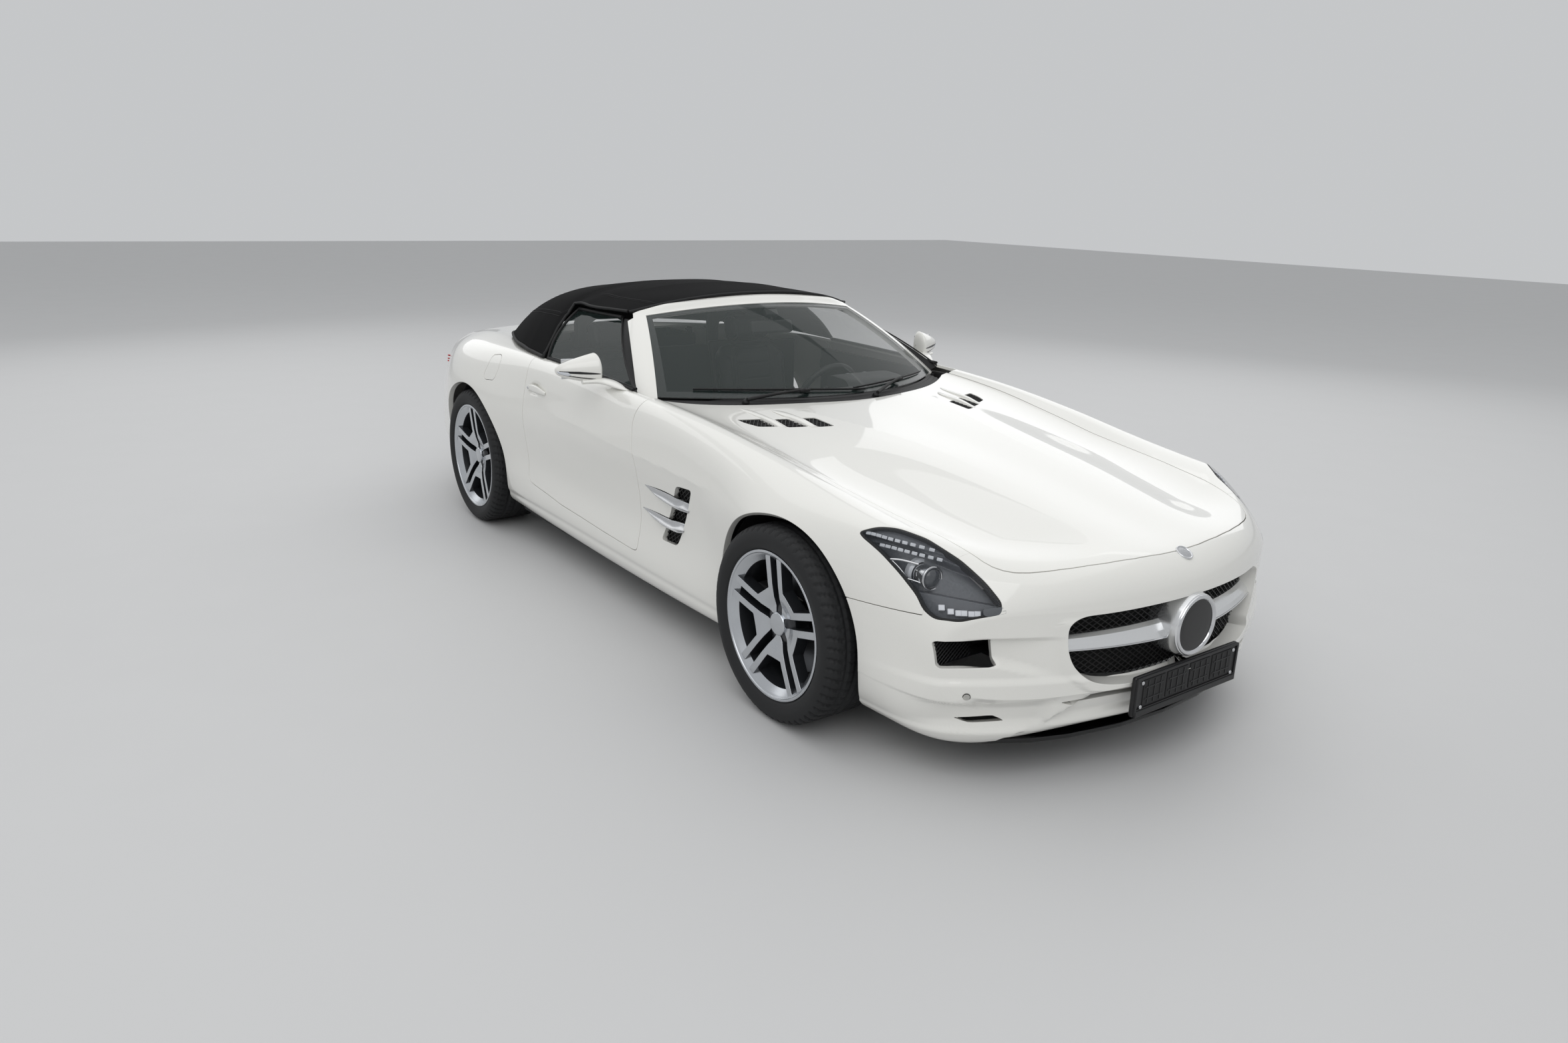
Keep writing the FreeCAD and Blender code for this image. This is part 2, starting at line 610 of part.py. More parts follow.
keep("tail_lamps", both(rear_lamp.fuse(lamp_foot)))

lid_grid = body_grid(lid_stations, spread(-LID_SIDE, LID_SIDE, 19))
lid = slab(lid_grid, inside_of(lid_grid, -SKIN))
LID_PIN = V(0, 1500, 900)
NECK_RADIUS = 244.0
neck = []
for reach, angles in ((NECK_RADIUS + 9, spread(-68, 2, 9)), (NECK_RADIUS - 9, spread(2, -68, 9))):
    for angle in angles:
        turn = math.radians(angle)
        neck.append(V(470, LID_PIN.y + reach * math.cos(turn), LID_PIN.z + reach * math.sin(turn)))
    if reach > NECK_RADIUS:
        neck += [V(470, 1772, 912), V(470, 1772, 924), V(470, 1738, 924)]
neck += [V(470, 1512, 892), V(470, 1508, 910), V(470, 1492, 910), V(470, 1490, 890)]
swan_neck = prism(neck, V(1, 0, 0), 12)
swan_neck = swan_neck.cut(rod(PIN_RADIUS + RUNNING, LID_PIN + V(460, 0, 0), LID_PIN + V(490, 0, 0)))
lid = lid.fuse(swan_neck).fuse(mirrored(swan_neck))
keep("boot_lid", lid.cut(prism([V(-700, 1700, LID_LOW), V(700, 1700, LID_LOW), V(700, 1700, 500),
                                V(-700, 1700, 500)], V(0, 1, 0), 900)
                           .cut(box(-500, 500, 1400, 1800, 400, 800))))

# Diffuser with its fins and the two pairs of exhaust tips
tray = prism([V(-555, 2000, 200), V(-555, 2262, 392), V(-555, 2262, 374), V(-555, 2000, 182)],
             V(1, 0, 0), 1110)
blades = [box(x - 5, x + 5, 2020, 2225, 175, 340) for x in (-300, -150, 0, 150, 300)]
diffuser = tray
for blade in blades:
    diffuser = diffuser.fuse(blade)


def exhaust_tip(x):
    """Short oval pipe end, open behind."""
    outer = prism([V(x - 62, 2090, 262), V(x + 62, 2090, 262), V(x + 74, 2090, 300),
                   V(x + 62, 2090, 338), V(x - 62, 2090, 338), V(x - 74, 2090, 300)],
                  V(0, 1, 0), 190)
    inner = prism([V(x - 56, 2130, 269), V(x + 56, 2130, 269), V(x + 66, 2130, 300),
                   V(x + 56, 2130, 331), V(x - 56, 2130, 331), V(x - 66, 2130, 300)],
                  V(0, 1, 0), 190)
    return outer.cut(inner)


for x in (-462, 462):
    diffuser = diffuser.fuse(exhaust_tip(x))
keep("rear_diffuser", diffuser)


# Windscreen: surface between the scuttle and the header, by height and width
SCREEN_FOOT = (-652.0, 340.0, 746.0, 893.0, -8.0)
SCREEN_HEAD = (22.0, 92.0, 560.0, 1206.0, -44.0)
SCREEN_BULGE = 16.0


def screen_point(share, across):
    """Point of the windscreen surface; share runs from foot to head."""
    foot = V(SCREEN_FOOT[2] * across, SCREEN_FOOT[0] + SCREEN_FOOT[1] * across ** 2,
             SCREEN_FOOT[3] + SCREEN_FOOT[4] * across ** 2)
    head = V(SCREEN_HEAD[2] * across, SCREEN_HEAD[0] + SCREEN_HEAD[1] * across ** 2,
             SCREEN_HEAD[3] + SCREEN_HEAD[4] * across ** 2)
    belly = SCREEN_BULGE * 4 * share * (1 - share)
    return foot + (head - foot) * share + V(0, -0.42 * belly, 0.9 * belly)


def screen_slab(shares, acrosses, depth, lift=0.0):
    grid = [[screen_point(share, across) for across in acrosses] for share in shares]
    top = inside_of(grid, lift)
    return slab(top, inside_of(grid, lift - depth))


keep("windscreen_glass", screen_slab(spread(0.015, 0.992, 7), spread(-0.9951, 0.9951, 13), GLASS))
header = screen_slab(spread(0.997, 1.075, 4), spread(-1.085, 1.085, 13), 34.0)
pillar_grid = [[screen_point(share, across) for across in spread(0.9955, 1.05 + 0.035 * share, 4)]
               for share in spread(0.0, 0.999, 8)]
pillar = slab(pillar_grid, inside_of(pillar_grid, -34.0))
keep("windscreen_frame", header.fuse(pillar).fuse(mirrored(pillar)))

# Scuttle between the bonnet and the windscreen
scuttle_grid = []
for share in (0.0, 0.33, 0.67, 1.0):
    line = []
    for across in spread(-1.0, 1.0, 13):
        x = 735 * across
        front = cowl_line(x) + LID_GAP
        back = SCREEN_FOOT[0] + SCREEN_FOOT[1] * (x / 746.0) ** 2 + 4
        line.append(V(x, front + (max(back, front + 14) - front) * share, 872 - 8 * across ** 2))
    scuttle_grid.append(line)
keep("scuttle", slab(scuttle_grid, inside_of(scuttle_grid, -12.0)))

# Fabric top: rows from the header to the deck, each given as its middle (along,
# height), its edge (width, along, height) and how square its shoulder is
TOP_WALL = 14.0
TOP_ROWS = [
    ((62, 1252), (604, 184, 1172), 2.4), ((250, 1261), (624, 330, 1170), 2.4),
    ((480, 1262), (632, 520, 1168), 2.4), ((650, 1260), (636, 655, 1164), 2.5),
    ((820, 1249), (740, 617, 1060), 3.0), ((960, 1234), (836, 572, 937), 3.8),
    ((1100, 1213), (820, 780, 944), 4.0), ((1250, 1185), (781, 1000, 949), 4.0),
    ((1400, 1148), (720, 1200, 953), 3.8), ((1520, 1106), (678, 1310, 954), 3.4),
    ((1620, 1056), (655, 1345, 954), 3.0), ((1685, 1005), (645, 1357, 954), 2.8),
    ((1722, 958), (640, 1362, 955), 2.6),
]
top_grid = []
for (along, high), (wide, edge_along, edge_high), square in TOP_ROWS:
    top_grid.append([V(wide * t, along + (edge_along - along) * abs(t) ** 2.6,
                       high + (edge_high - high) * abs(t) ** square)
                     for t in spread(-1.0, 1.0, 17)])
top = slab(top_grid, inside_of(top_grid, -TOP_WALL))
WINDOW = [(300, 1215), (345, 1270), (340, 1500), (300, 1570)]


def window_prism(inset):
    """Upright prism through the rear window's rounded outline."""
    points = [V(x - inset, y + (inset if y < 1400 else -inset), 900) for x, y in WINDOW]
    points += [V(-p.x, p.y, 900) for p in reversed(points)]
    return prism(points, V(0, 0, 1), 400)


window_block = slab(inside_of(top_grid, -4.0), inside_of(top_grid, -4.0 - GLASS))
soft_top = top.cut(window_prism(0.0))
keep("soft_top", soft_top)
top_rail = box(-220, 220, 1640, 1680, 930, 1060).cut(soft_top).cut(nodes["rear_deck"])
top_rail = max(top_rail.Solids, key=lambda solid: solid.Volume)
keep("rear_deck", nodes["rear_deck"].fuse(top_rail))
keep("rear_window", window_block.common(window_prism(SEAT)))

# Door windows stand in the door tops and lean in to the top's rail
GLASS_FOOT = (-285.0, 545.0)
GLASS_HEAD = (238.0, 632.0)
glass_grid = []
for along in spread(0.0, 1.0, 8):
    foot_y = GLASS_FOOT[0] + (GLASS_FOOT[1] - GLASS_FOOT[0]) * along
    head_y = GLASS_HEAD[0] + (GLASS_HEAD[1] - GLASS_HEAD[0]) * along
    foot = V(824, foot_y, body_point(foot_y, BELT).z - 6)
    head = V(603 + 16 * along, head_y, 1142 - 2 * along)
    line = []
    for up in spread(0.0, 1.0, 6):
        line.append(foot + (head - foot) * up + V(26 * 4 * up * (1 - up), 0, 9 * 4 * up * (1 - up)))
    glass_grid.append(line)
side_glass = slab(glass_grid, inside_of(glass_grid, GLASS)).cut(door)
keep("side_glass_left", side_glass)
keep("side_glass_right", mirrored(side_glass))


# Mirrors: a rounded shell on a foot at the front of each door
def oval(x, y, z, half_y, half_z):
    """Upright oval outline facing sideways."""
    ring = Part.Ellipse(V(x, y, z), max(half_y, half_z), min(half_y, half_z))
    wire = Part.Wire(ring.toShape())
    wire.rotate(V(x, y, z), V(0, 1, 0), 90)
    if half_y > half_z:
        wire.rotate(V(x, y, z), V(1, 0, 0), 90)
    return wire


shell_rings = [oval(868, -72, 970, 34, 30), oval(892, -70, 974, 52, 46), oval(948, -58, 978, 60, 51),
               oval(1004, -36, 977, 52, 46), oval(1032, -14, 974, 32, 30)]
mirror_shell = Part.makeLoft(shell_rings, True, False)
mirror_foot = Part.makeLoft([
    Part.makePolygon([V(842, -250, 0), V(842, -120, 0), V(828, -120, 0), V(828, -250, 0),
                      V(842, -250, 0)]).translated(V(0, 0, 908)),
    Part.makePolygon([V(908, -110, 0), V(908, -60, 0), V(886, -60, 0), V(886, -110, 0),
                      V(908, -110, 0)]).translated(V(0, 0, 955))], True, False)
mirror = mirror_shell.fuse(mirror_foot).cut(door)
keep("mirror_left", mirror)
keep("mirror_right", mirrored(mirror))

# Side vents in the wings' openings: a plate with three windows split by two fins
VENT_LOW = 399.0
vent_corners = [(-724, VENT_HIGH + 9), (-850, VENT_HIGH + 3), (-714, VENT_LOW - 12),
                (-588, VENT_LOW - 14)]
vent_plate = prism([V(862, y, z) for y, z in vent_corners], V(1, 0, 0), 30).cut(wing)
vent_drop = VENT_LOW - VENT_HIGH + 9
windows = []
for low, high in ((0.03, 0.30), (0.37, 0.63), (0.70, 0.97)):
    ends = []
    for share in (low, high):
        front = V(860, -834 + 127 * share, VENT_HIGH - 9 + vent_drop * share)
        rear = V(860, -736 + 132 * share, VENT_HIGH - 3 + (vent_drop - 8) * share)
        ends += [front + (rear - front) * 0.12, rear + (front - rear) * 0.12]
    windows.append(prism([ends[0], ends[1], ends[3], ends[2]], V(1, 0, 0), 60))
vent_plate = vent_plate.cut(Part.makeCompound(windows))
for front_y, rear_y, height in ((-786, -702, 560), (-744, -660, 478)):
    blade = prism([V(874, front_y, height - 12), V(874, rear_y, height + 2),
                   V(874, rear_y, height + 8), V(874, front_y, height + 8)], V(1, 0, 0), 30)
    vent_plate = vent_plate.fuse(blade)
keep("side_vents", both(vent_plate))


# Tub: floor, tunnel, firewall, bulkhead with hoops, rails, boot well
floor_high = FLOOR_LOW + FLOOR_WALL
tub = box(-848, 848, FIREWALL, BULKHEAD, FLOOR_LOW, floor_high)
pieces = [
    box(-TUNNEL_HALF, TUNNEL_HALF, FIREWALL, BULKHEAD, FLOOR_LOW, TUNNEL_TOP),
    box(-TUB_SIDE, TUB_SIDE, FIREWALL - 25, FIREWALL, FLOOR_LOW, 846),
    box(-TUB_SIDE, TUB_SIDE, BULKHEAD, BULKHEAD + 25, FLOOR_LOW, 905),
    box(-500, 500, 1440, 1452, 470, 880),
    box(-500, 500, 2180, 2192, 470, 690),
    box(-500, 500, 1440, 2192, 470, 482),
    box(-440, 440, -2125, -2085, 300, 400),
    box(-440, 440, 2100, 2140, 400, 470),
]
for side in (-1, 1):
    for x0, x1, y0, y1, z0, z1 in (
            (TUB_SIDE - 50, TUB_SIDE, FIREWALL, BULKHEAD, FLOOR_LOW, 280),
            (RAIL_IN, RAIL_OUT, -2125, FIREWALL, 300, 400),
            (RAIL_IN, RAIL_OUT, BULKHEAD, 2140, 400, 470),
            (RAIL_OUT - 2, LINER_INNER - SEAT, -1790, -1030, 388, 400),
            (RAIL_OUT - 2, 745, -2010, -1985, 380, 400),
            (762, 774, -375, -300, 825, 855),
            (488, 500, 1480, 1520, 870, 912),
            (380, 430, -2125, -2105, 380, 620),
            (530, LINER_INNER - SEAT, -1790, -1020, 388, 672),
            (RAIL_OUT - 2, 600 - SEAT, 990, 1560, 458, 470),
            (582, 600 - SEAT, 920, 1620, 400, 720),
            (488, 500, 1440, 1800, 470, 880)):
        pieces.append(box(min(side * x0, side * x1), max(side * x0, side * x1), y0, y1, z0, z1))
for side in (-1, 1):
    pieces.append(prism([V(side * 488, y, z) for y, z in ((1790, 470), (1790, 880), (1900, 865),
                                                          (2100, 800), (2192, 690), (2192, 470))],
                        V(side, 0, 0), 12))
for side in (-1, 1):
    pieces.append(rod(PIN_RADIUS, BONNET_PIN + V(side * 745.5, 0, 0), BONNET_PIN + V(side * 765, 0, 0)))
    pieces.append(rod(PIN_RADIUS, LID_PIN + V(side * 467, 0, 0), LID_PIN + V(side * 490, 0, 0)))

# Brackets that carry the panels: x0, x1, y0, y1, z0, z1 on the left and the panel
for name, sizes in (
        ("wing", (TUB_SIDE - 2, 915, FIREWALL - 25, FIREWALL, 560, 620)),
        ("quarter", (TUB_SIDE - 2, 935, BULKHEAD, BULKHEAD + 25, 560, 600)),
        ("front_bumper", (380, 430, -2262, -2110, 600, 620)),
        ("headlamps", (720, 745, -2010, -1985, 380, 700)),
        ("rear_bumper", (380, 430, 2135, 2290, 440, 460)),
        ("rear_diffuser", (60, 100, 2110, 2130, 270, 405)),
        ("rear_deck", (200, 300, 1440, 1452, 870, 935)),
        ("windscreen_frame", (POST_IN, POST_OUT, -310, -270, 278, 875)),
        ("scuttle", (440, 520, FIREWALL - 25, FIREWALL, 840, 862))):
    x0, x1, y0, y1, z0, z1 = sizes
    for side, ending in ((-1, "_right"), (1, "_left")):
        bracket = box(min(side * x0, side * x1), max(side * x0, side * x1), y0, y1, z0, z1)
        seated = bracket.cut(nodes[name if name in nodes else name + ending])
        pieces.append(max(seated.Solids, key=lambda solid: solid.Volume))
for piece in pieces:
    tub = tub.fuse(piece)
tub = tub.cut(nodes["sills"])
for side in (-1, 1):
    for x0, x1, y0, y1, z0, z1 in ((520, 560, -1500, -1320, 425, 485),
                                   (LOCK_ROOM, 560, -1710, -1550, 380, 475),
                                   (LOCK_ROOM, 560, -1272, -1112, 380, 475),
                                   (RAIL_OUT, 476, -1487, -1335, 380, 405),
                                   (570, 610, 1220, 1330, 395, 457)):
        tub = tub.cut(box(min(side * x0, side * x1), max(side * x0, side * x1), y0, y1, z0, z1))


def hoop(x):
    """Padded roll hoop behind a seat."""
    rings = []
    for half, crown in ((165, 1120), (115, 1072)):
        outline = [V(x - half, 0, 860), V(x - half, 0, crown - 70), V(x - half + 20, 0, crown - 25),
                   V(x - half + 62, 0, crown), V(x + half - 62, 0, crown),
                   V(x + half - 20, 0, crown - 25), V(x + half, 0, crown - 70), V(x + half, 0, 860)]
        rings.append(outline)
    outer = prism([p + V(0, BULKHEAD - 20, 0) for p in rings[0]], V(0, 1, 0), 40)
    inner = prism([V(p.x, BULKHEAD - 21, max(p.z, 905)) for p in rings[1]], V(0, 1, 0), 42)
    return outer.cut(inner)


for x in (-380, 380):
    tub = tub.fuse(hoop(x))

# The tub comes in five pieces that meet on flat faces
front_room = box(-1000, 1000, -2400, FIREWALL - 25, 0, 1300)
wall_room = box(-1000, 1000, FIREWALL - 25, FIREWALL, 0, 1300)
hoop_room = box(-1000, 1000, BULKHEAD, BULKHEAD + 25, 0, 1300)
hoop_room = hoop_room.fuse(box(-1000, 1000, BULKHEAD - 45, BULKHEAD, 858, 1300))
rear_room = box(-1000, 1000, BULKHEAD + 25, 2400, 0, 1300)
for name, room in (("front_rails", front_room), ("firewall", wall_room), ("rear_bulkhead", hoop_room),
                   ("rear_frame", rear_room)):
    keep(name, tub.common(room))
    tub = tub.cut(room)
keep("tub", tub)


# Seats
SEAT_MIDDLE = 395.0


def side_profile(points, x0, x1):
    """Solid with a side outline, between two widths."""
    return prism([V(x0, y, z) for y, z in points], V(1, 0, 0), x1 - x0)


cushion = side_profile([(35, 250), (50, 335), (140, 352), (500, 320), (580, 330), (580, 200),
                        (500, 168.3), (140, 168.3)], SEAT_MIDDLE - 235, SEAT_MIDDLE + 235)
backrest = side_profile([(500, 300), (640, 640), (710, 900), (730, 1010), (770, 1085), (808, 1070),
                         (802, 980), (780, 800), (700, 400), (620, 230)],
                        SEAT_MIDDLE - 225, SEAT_MIDDLE + 225)
seat = cushion.fuse(backrest)
hollow = side_profile([(150, 400), (500, 352), (540, 400), (675, 700), (740, 1000), (640, 1000)],
                      SEAT_MIDDLE - 150, SEAT_MIDDLE + 150)
seat = seat.cut(hollow)
for x in (SEAT_MIDDLE - 300, SEAT_MIDDLE + 140):
    seat = seat.cut(box(x, x + 160, 600, 900, 930, 1200))
keep("seats", both(seat))

# Dashboard with its cowl and the steering column
dash = side_profile([(-515, 600), (-515, 800), (-420, 832), (-300, 844), (-215, 828), (-190, 785),
                     (-215, 700), (-260, 640), (-330, 600)], -POST_IN + SEAT, POST_IN - SEAT)
column_axis = V(0, 0.93, 0.367)
WHEEL_CENTRE = V(SEAT_MIDDLE - 15, 15, 745)
column = rod(28, WHEEL_CENTRE - column_axis * 330, WHEEL_CENTRE - column_axis * (42 + SEAT))
hood_arc = side_profile([(-360, 825), (-190, 790), (-175, 885), (-330, 892)], WHEEL_CENTRE.x - 170,
                        WHEEL_CENTRE.x + 170)
keep("dashboard", dash.fuse(column).fuse(hood_arc))

console = side_profile([(-260, TUNNEL_TOP + SEAT), (-205, 690), (-120, 640), (20, 500), (800, 520),
                        (820, TUNNEL_TOP + SEAT)], -115, 115)
keep("centre_console", console)

# Steering wheel: rim, hub and three spokes on the column's axis
WHEEL_RADIUS = 182.0
rim = Part.makeTorus(WHEEL_RADIUS - 15, 15)
hub = Part.makeCylinder(58, 42, V(0, 0, -42))
reach = WHEEL_RADIUS - 15
steering = rim.fuse(hub).fuse(box(-reach, reach, -16, 16, -20, -8)).fuse(box(-24, 24, -reach, 0, -20, -8))
turn = FreeCAD.Rotation(V(0, 0, 1), column_axis)
steering.Placement = FreeCAD.Placement(WHEEL_CENTRE, turn)
keep("steering_wheel", steering)

# Engine behind the front axle, on the rails
engine = box(-240, 240, -1250, -720, 260, 640)
engine = engine.fuse(box(-RAIL_IN + SEAT, RAIL_IN - SEAT, -1010, -950, 330, 390))
keep("engine_block", engine)


# Wheels, discs, tyres and what carries them
def turned(points):
    """Solid of revolution round the car's cross axis from (across, radius) points."""
    face = Part.Face(Part.makePolygon([V(x, 0, r) for x, r in points + [points[0]]]))
    return face.revolve(V(0, 0, 0), V(1, 0, 0), 360)


def tyre(width, radius, bead):
    half = width / 2
    return turned([(-half + 16, bead + 1), (-half, bead + 0.5 * (radius - bead)),
                   (-half + 12, radius - 10), (-half + 34, radius), (half - 34, radius),
                   (half - 12, radius - 10), (half, bead + 0.5 * (radius - bead)),
                   (half - 16, bead + 1), (half - 30, bead + 1), (half - 26, radius - 16),
                   (-half + 26, radius - 16), (-half + 30, bead + 1)])


def road_wheel(width, bead, disc):
    """Barrel, five pairs of spokes, hub and the disc bolted to it."""
    half = width / 2 - 12
    barrel = turned([(-half, bead), (-half, bead - 8), (-half + 22, bead - 26),
                     (half - 45, bead - 34), (half - 22, bead - 20), (half - 8, bead - 12),
                     (half, bead - 9), (half, bead), (half - 12, bead), (half - 24, bead - 12),
                     (half - 48, bead - 26), (-half + 24, bead - 18), (-half + 12, bead)])
    dish = turned([(half - 62, 30), (half - 50, 40), (half - 42, bead - 16), (half - 10, bead - 12),
                   (half - 26, 92), (half - 34, 70), (half - 38, 30)])
    blocks = []
    for number in range(SPOKES):
        for side in (-1, 1):
            near = side * 15
            far = side * 37
            arm = prism([V(-half, near, 50), V(-half, far, 58), V(-half, far + side * 2, bead),
                         V(-half, near + side * 4, bead)], V(1, 0, 0), 2 * half)
            arm.rotate(V(0, 0, 0), V(1, 0, 0), number * 360.0 / SPOKES)
            blocks.append(arm)
    spokes = blocks[0]
    for block in blocks[1:]:
        spokes = spokes.fuse(block)
    spokes = spokes.common(dish)
    hub = turned([(10, 0), (10, 34), (10, HUB_RADIUS), (half - 44, HUB_RADIUS),
                  (half - 34, 66), (half - 34, 34), (half - 26, 30), (half - 26, 0)])
    rotor = turned([(-25, 44), (-25, disc), (-25 + DISC_WALL, disc), (-25 + DISC_WALL, HUB_RADIUS),
                    (12, HUB_RADIUS), (12, 44)])
    return barrel.fuse(spokes).fuse(hub).fuse(rotor)


FRONT_MIDDLE = TYRE_FACE - FRONT_TYRE_WIDTH / 2
REAR_MIDDLE = TYRE_FACE - REAR_TYRE_WIDTH / 2
FRONT_DISC = 180.0
REAR_DISC = 175.0
for end, along, width, radius, bead, middle, disc in (
        ("front", FRONT_AXLE, FRONT_TYRE_WIDTH, FRONT_TYRE_RADIUS, FRONT_RIM_RADIUS, FRONT_MIDDLE,
         FRONT_DISC),
        ("rear", REAR_AXLE, REAR_TYRE_WIDTH, REAR_TYRE_RADIUS, REAR_RIM_RADIUS, REAR_MIDDLE,
         REAR_DISC)):
    place = V(middle, along, radius)
    ring = tyre(width, radius, bead).translated(place)
    wheel = road_wheel(width, bead, disc).translated(place)
    keep("tyre_" + end + "_left", ring)
    keep("tyre_" + end + "_right", mirrored(ring))
    keep("wheel_" + end + "_left", wheel)
    keep("wheel_" + end + "_right", mirrored(wheel))


def caliper(middle, along, height, disc, side):
    """Brake caliper round the disc's edge, with running room on both faces."""
    inner = middle - 25
    body = box(inner - 30, inner + DISC_WALL + 28, -78, 78, 96, disc + 24)
    body = body.common(Part.makeCylinder(disc + 24, 400, V(inner - 200, 0, 0), V(1, 0, 0)))
    body = body.cut(Part.makeCylinder(disc + 5.5, DISC_WALL + 11, V(inner - 5.5, 0, 0), V(1, 0, 0)))
    body = body.cut(box(inner + DISC_WALL - 60, inner + DISC_WALL + 40, -80, 80, 90, 96))
    body.rotate(V(0, 0, 0), V(1, 0, 0), -90 * side)
    return body.translated(V(0, along, height))


# Knuckles turn on upright pins between the wishbone ends
SPINDLE = 30.0
knuckle = box(KINGPIN - 14, KINGPIN + 6, FRONT_AXLE - 30, FRONT_AXLE + 30, 212, 448)
knuckle = knuckle.fuse(rod(14, V(KINGPIN - 4, FRONT_AXLE, 200), V(KINGPIN - 4, FRONT_AXLE, 460)))
knuckle = knuckle.fuse(rod(SPINDLE, V(KINGPIN, FRONT_AXLE, FRONT_TYRE_RADIUS),
                           V(FRONT_MIDDLE + 10 - SEAT, FRONT_AXLE, FRONT_TYRE_RADIUS)))
knuckle = knuckle.fuse(box(KINGPIN - 14, KINGPIN + 6, FRONT_AXLE, FRONT_AXLE + 120,
                           FRONT_TYRE_RADIUS - 30, FRONT_TYRE_RADIUS + 30))
knuckle = knuckle.fuse(caliper(FRONT_MIDDLE, FRONT_AXLE, FRONT_TYRE_RADIUS, FRONT_DISC, 1))
keep("knuckle_left", knuckle)
keep("knuckle_right", mirrored(knuckle))

front_axle = box(-RAIL_OUT - 20, RAIL_OUT + 20, FRONT_AXLE - 70, FRONT_AXLE + 70, 186, 230)
for side in (-1, 1):
    for x0, x1, y0, y1, z0, z1 in (
            (RAIL_OUT + SEAT, RAIL_OUT + 20, FRONT_AXLE - 70, FRONT_AXLE + 70, 186, 474),
            (RAIL_OUT + 10, KINGPIN + 6, FRONT_AXLE - 14, FRONT_AXLE + 14, 186, 200 - SEAT),
            (RAIL_OUT + 10, KINGPIN + 6, FRONT_AXLE - 14, FRONT_AXLE + 14, 460 + SEAT, 474)):
        front_axle = front_axle.fuse(
            box(min(side * x0, side * x1), max(side * x0, side * x1), y0, y1, z0, z1))
keep("front_axle", front_axle)

rear_axle = box(-210, 210, REAR_AXLE - 190, REAR_AXLE + 110, 240, 400 - SEAT)
for side in (-1, 1):
    hub_end = side * (REAR_MIDDLE + 10 - SEAT)
    rear_axle = rear_axle.fuse(rod(24, V(side * 200, REAR_AXLE, REAR_TYRE_RADIUS),
                                   V(hub_end, REAR_AXLE, REAR_TYRE_RADIUS)))
    for x0, x1, y0, y1, z0, z1 in (
            (200, RAIL_OUT + 10, REAR_AXLE - 60, REAR_AXLE + 60, 400 - SEAT - 16, 400 - SEAT),
            (200, 745, REAR_AXLE - 24, REAR_AXLE + 24, 240, 256),
            (720, 752, REAR_AXLE - 34, REAR_AXLE + 34, 240, 470),
            (720, 762, REAR_AXLE - 130, REAR_AXLE, REAR_TYRE_RADIUS - 30,
             REAR_TYRE_RADIUS + 30)):
        rear_axle = rear_axle.fuse(
            box(min(side * x0, side * x1), max(side * x0, side * x1), y0, y1, z0, z1))
    brake = caliper(REAR_MIDDLE, REAR_AXLE, REAR_TYRE_RADIUS, REAR_DISC, -1)
    rear_axle = rear_axle.fuse(brake if side > 0 else mirrored(brake))
keep("rear_axle", rear_axle)

for name, shape in nodes.items():
    shape.exportStep("parts/" + name + ".step")
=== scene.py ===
"""Dressed scene of the roadster: painted panels, lamps, grille, wheels, fabric top and cabin.

All lengths are millimetres in the car's frame until a mesh is stored in metres. The nose points
along -Y, the car's left side along +X, +Z is up and the ground is at zero.
"""
import math
import bmesh
import bpy
import numpy as np
from mathutils import Matrix


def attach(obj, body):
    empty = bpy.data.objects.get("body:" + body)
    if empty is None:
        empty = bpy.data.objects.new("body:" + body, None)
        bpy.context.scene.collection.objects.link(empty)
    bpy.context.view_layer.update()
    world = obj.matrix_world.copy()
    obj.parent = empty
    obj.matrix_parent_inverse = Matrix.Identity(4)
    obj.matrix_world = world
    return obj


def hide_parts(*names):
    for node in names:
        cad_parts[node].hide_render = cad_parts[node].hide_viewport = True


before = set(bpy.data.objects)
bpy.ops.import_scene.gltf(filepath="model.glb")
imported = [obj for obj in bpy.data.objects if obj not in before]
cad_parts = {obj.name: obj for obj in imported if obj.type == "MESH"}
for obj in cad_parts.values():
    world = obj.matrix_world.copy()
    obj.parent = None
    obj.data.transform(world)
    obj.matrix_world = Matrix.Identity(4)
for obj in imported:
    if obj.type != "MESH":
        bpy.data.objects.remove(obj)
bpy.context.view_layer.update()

scene = bpy.context.scene
SIDES = ((1, "left"), (-1, "right"))


# Small tools: colours, materials, meshes
def srgb(text):
    """Linear colour from a hex colour."""
    value = np.array([int(text[i:i + 2], 16) for i in (0, 2, 4)]) / 255.0
    linear = np.where(value <= 0.04045, value / 12.92, ((value + 0.055) / 1.055) ** 2.4)
    return (float(linear[0]), float(linear[1]), float(linear[2]), 1.0)


def material(name, colour, roughness, metallic=0.0, sockets=None):
    """New material with the given values on its shader."""
    made = bpy.data.materials.new(name)
    made.use_nodes = True
    shader = made.node_tree.nodes["Principled BSDF"]
    shader.inputs["Base Color"].default_value = srgb(colour)
    shader.inputs["Roughness"].default_value = roughness
    shader.inputs["Metallic"].default_value = metallic
    for socket, value in (sockets or {}).items():
        shader.inputs[socket].default_value = value
    return made


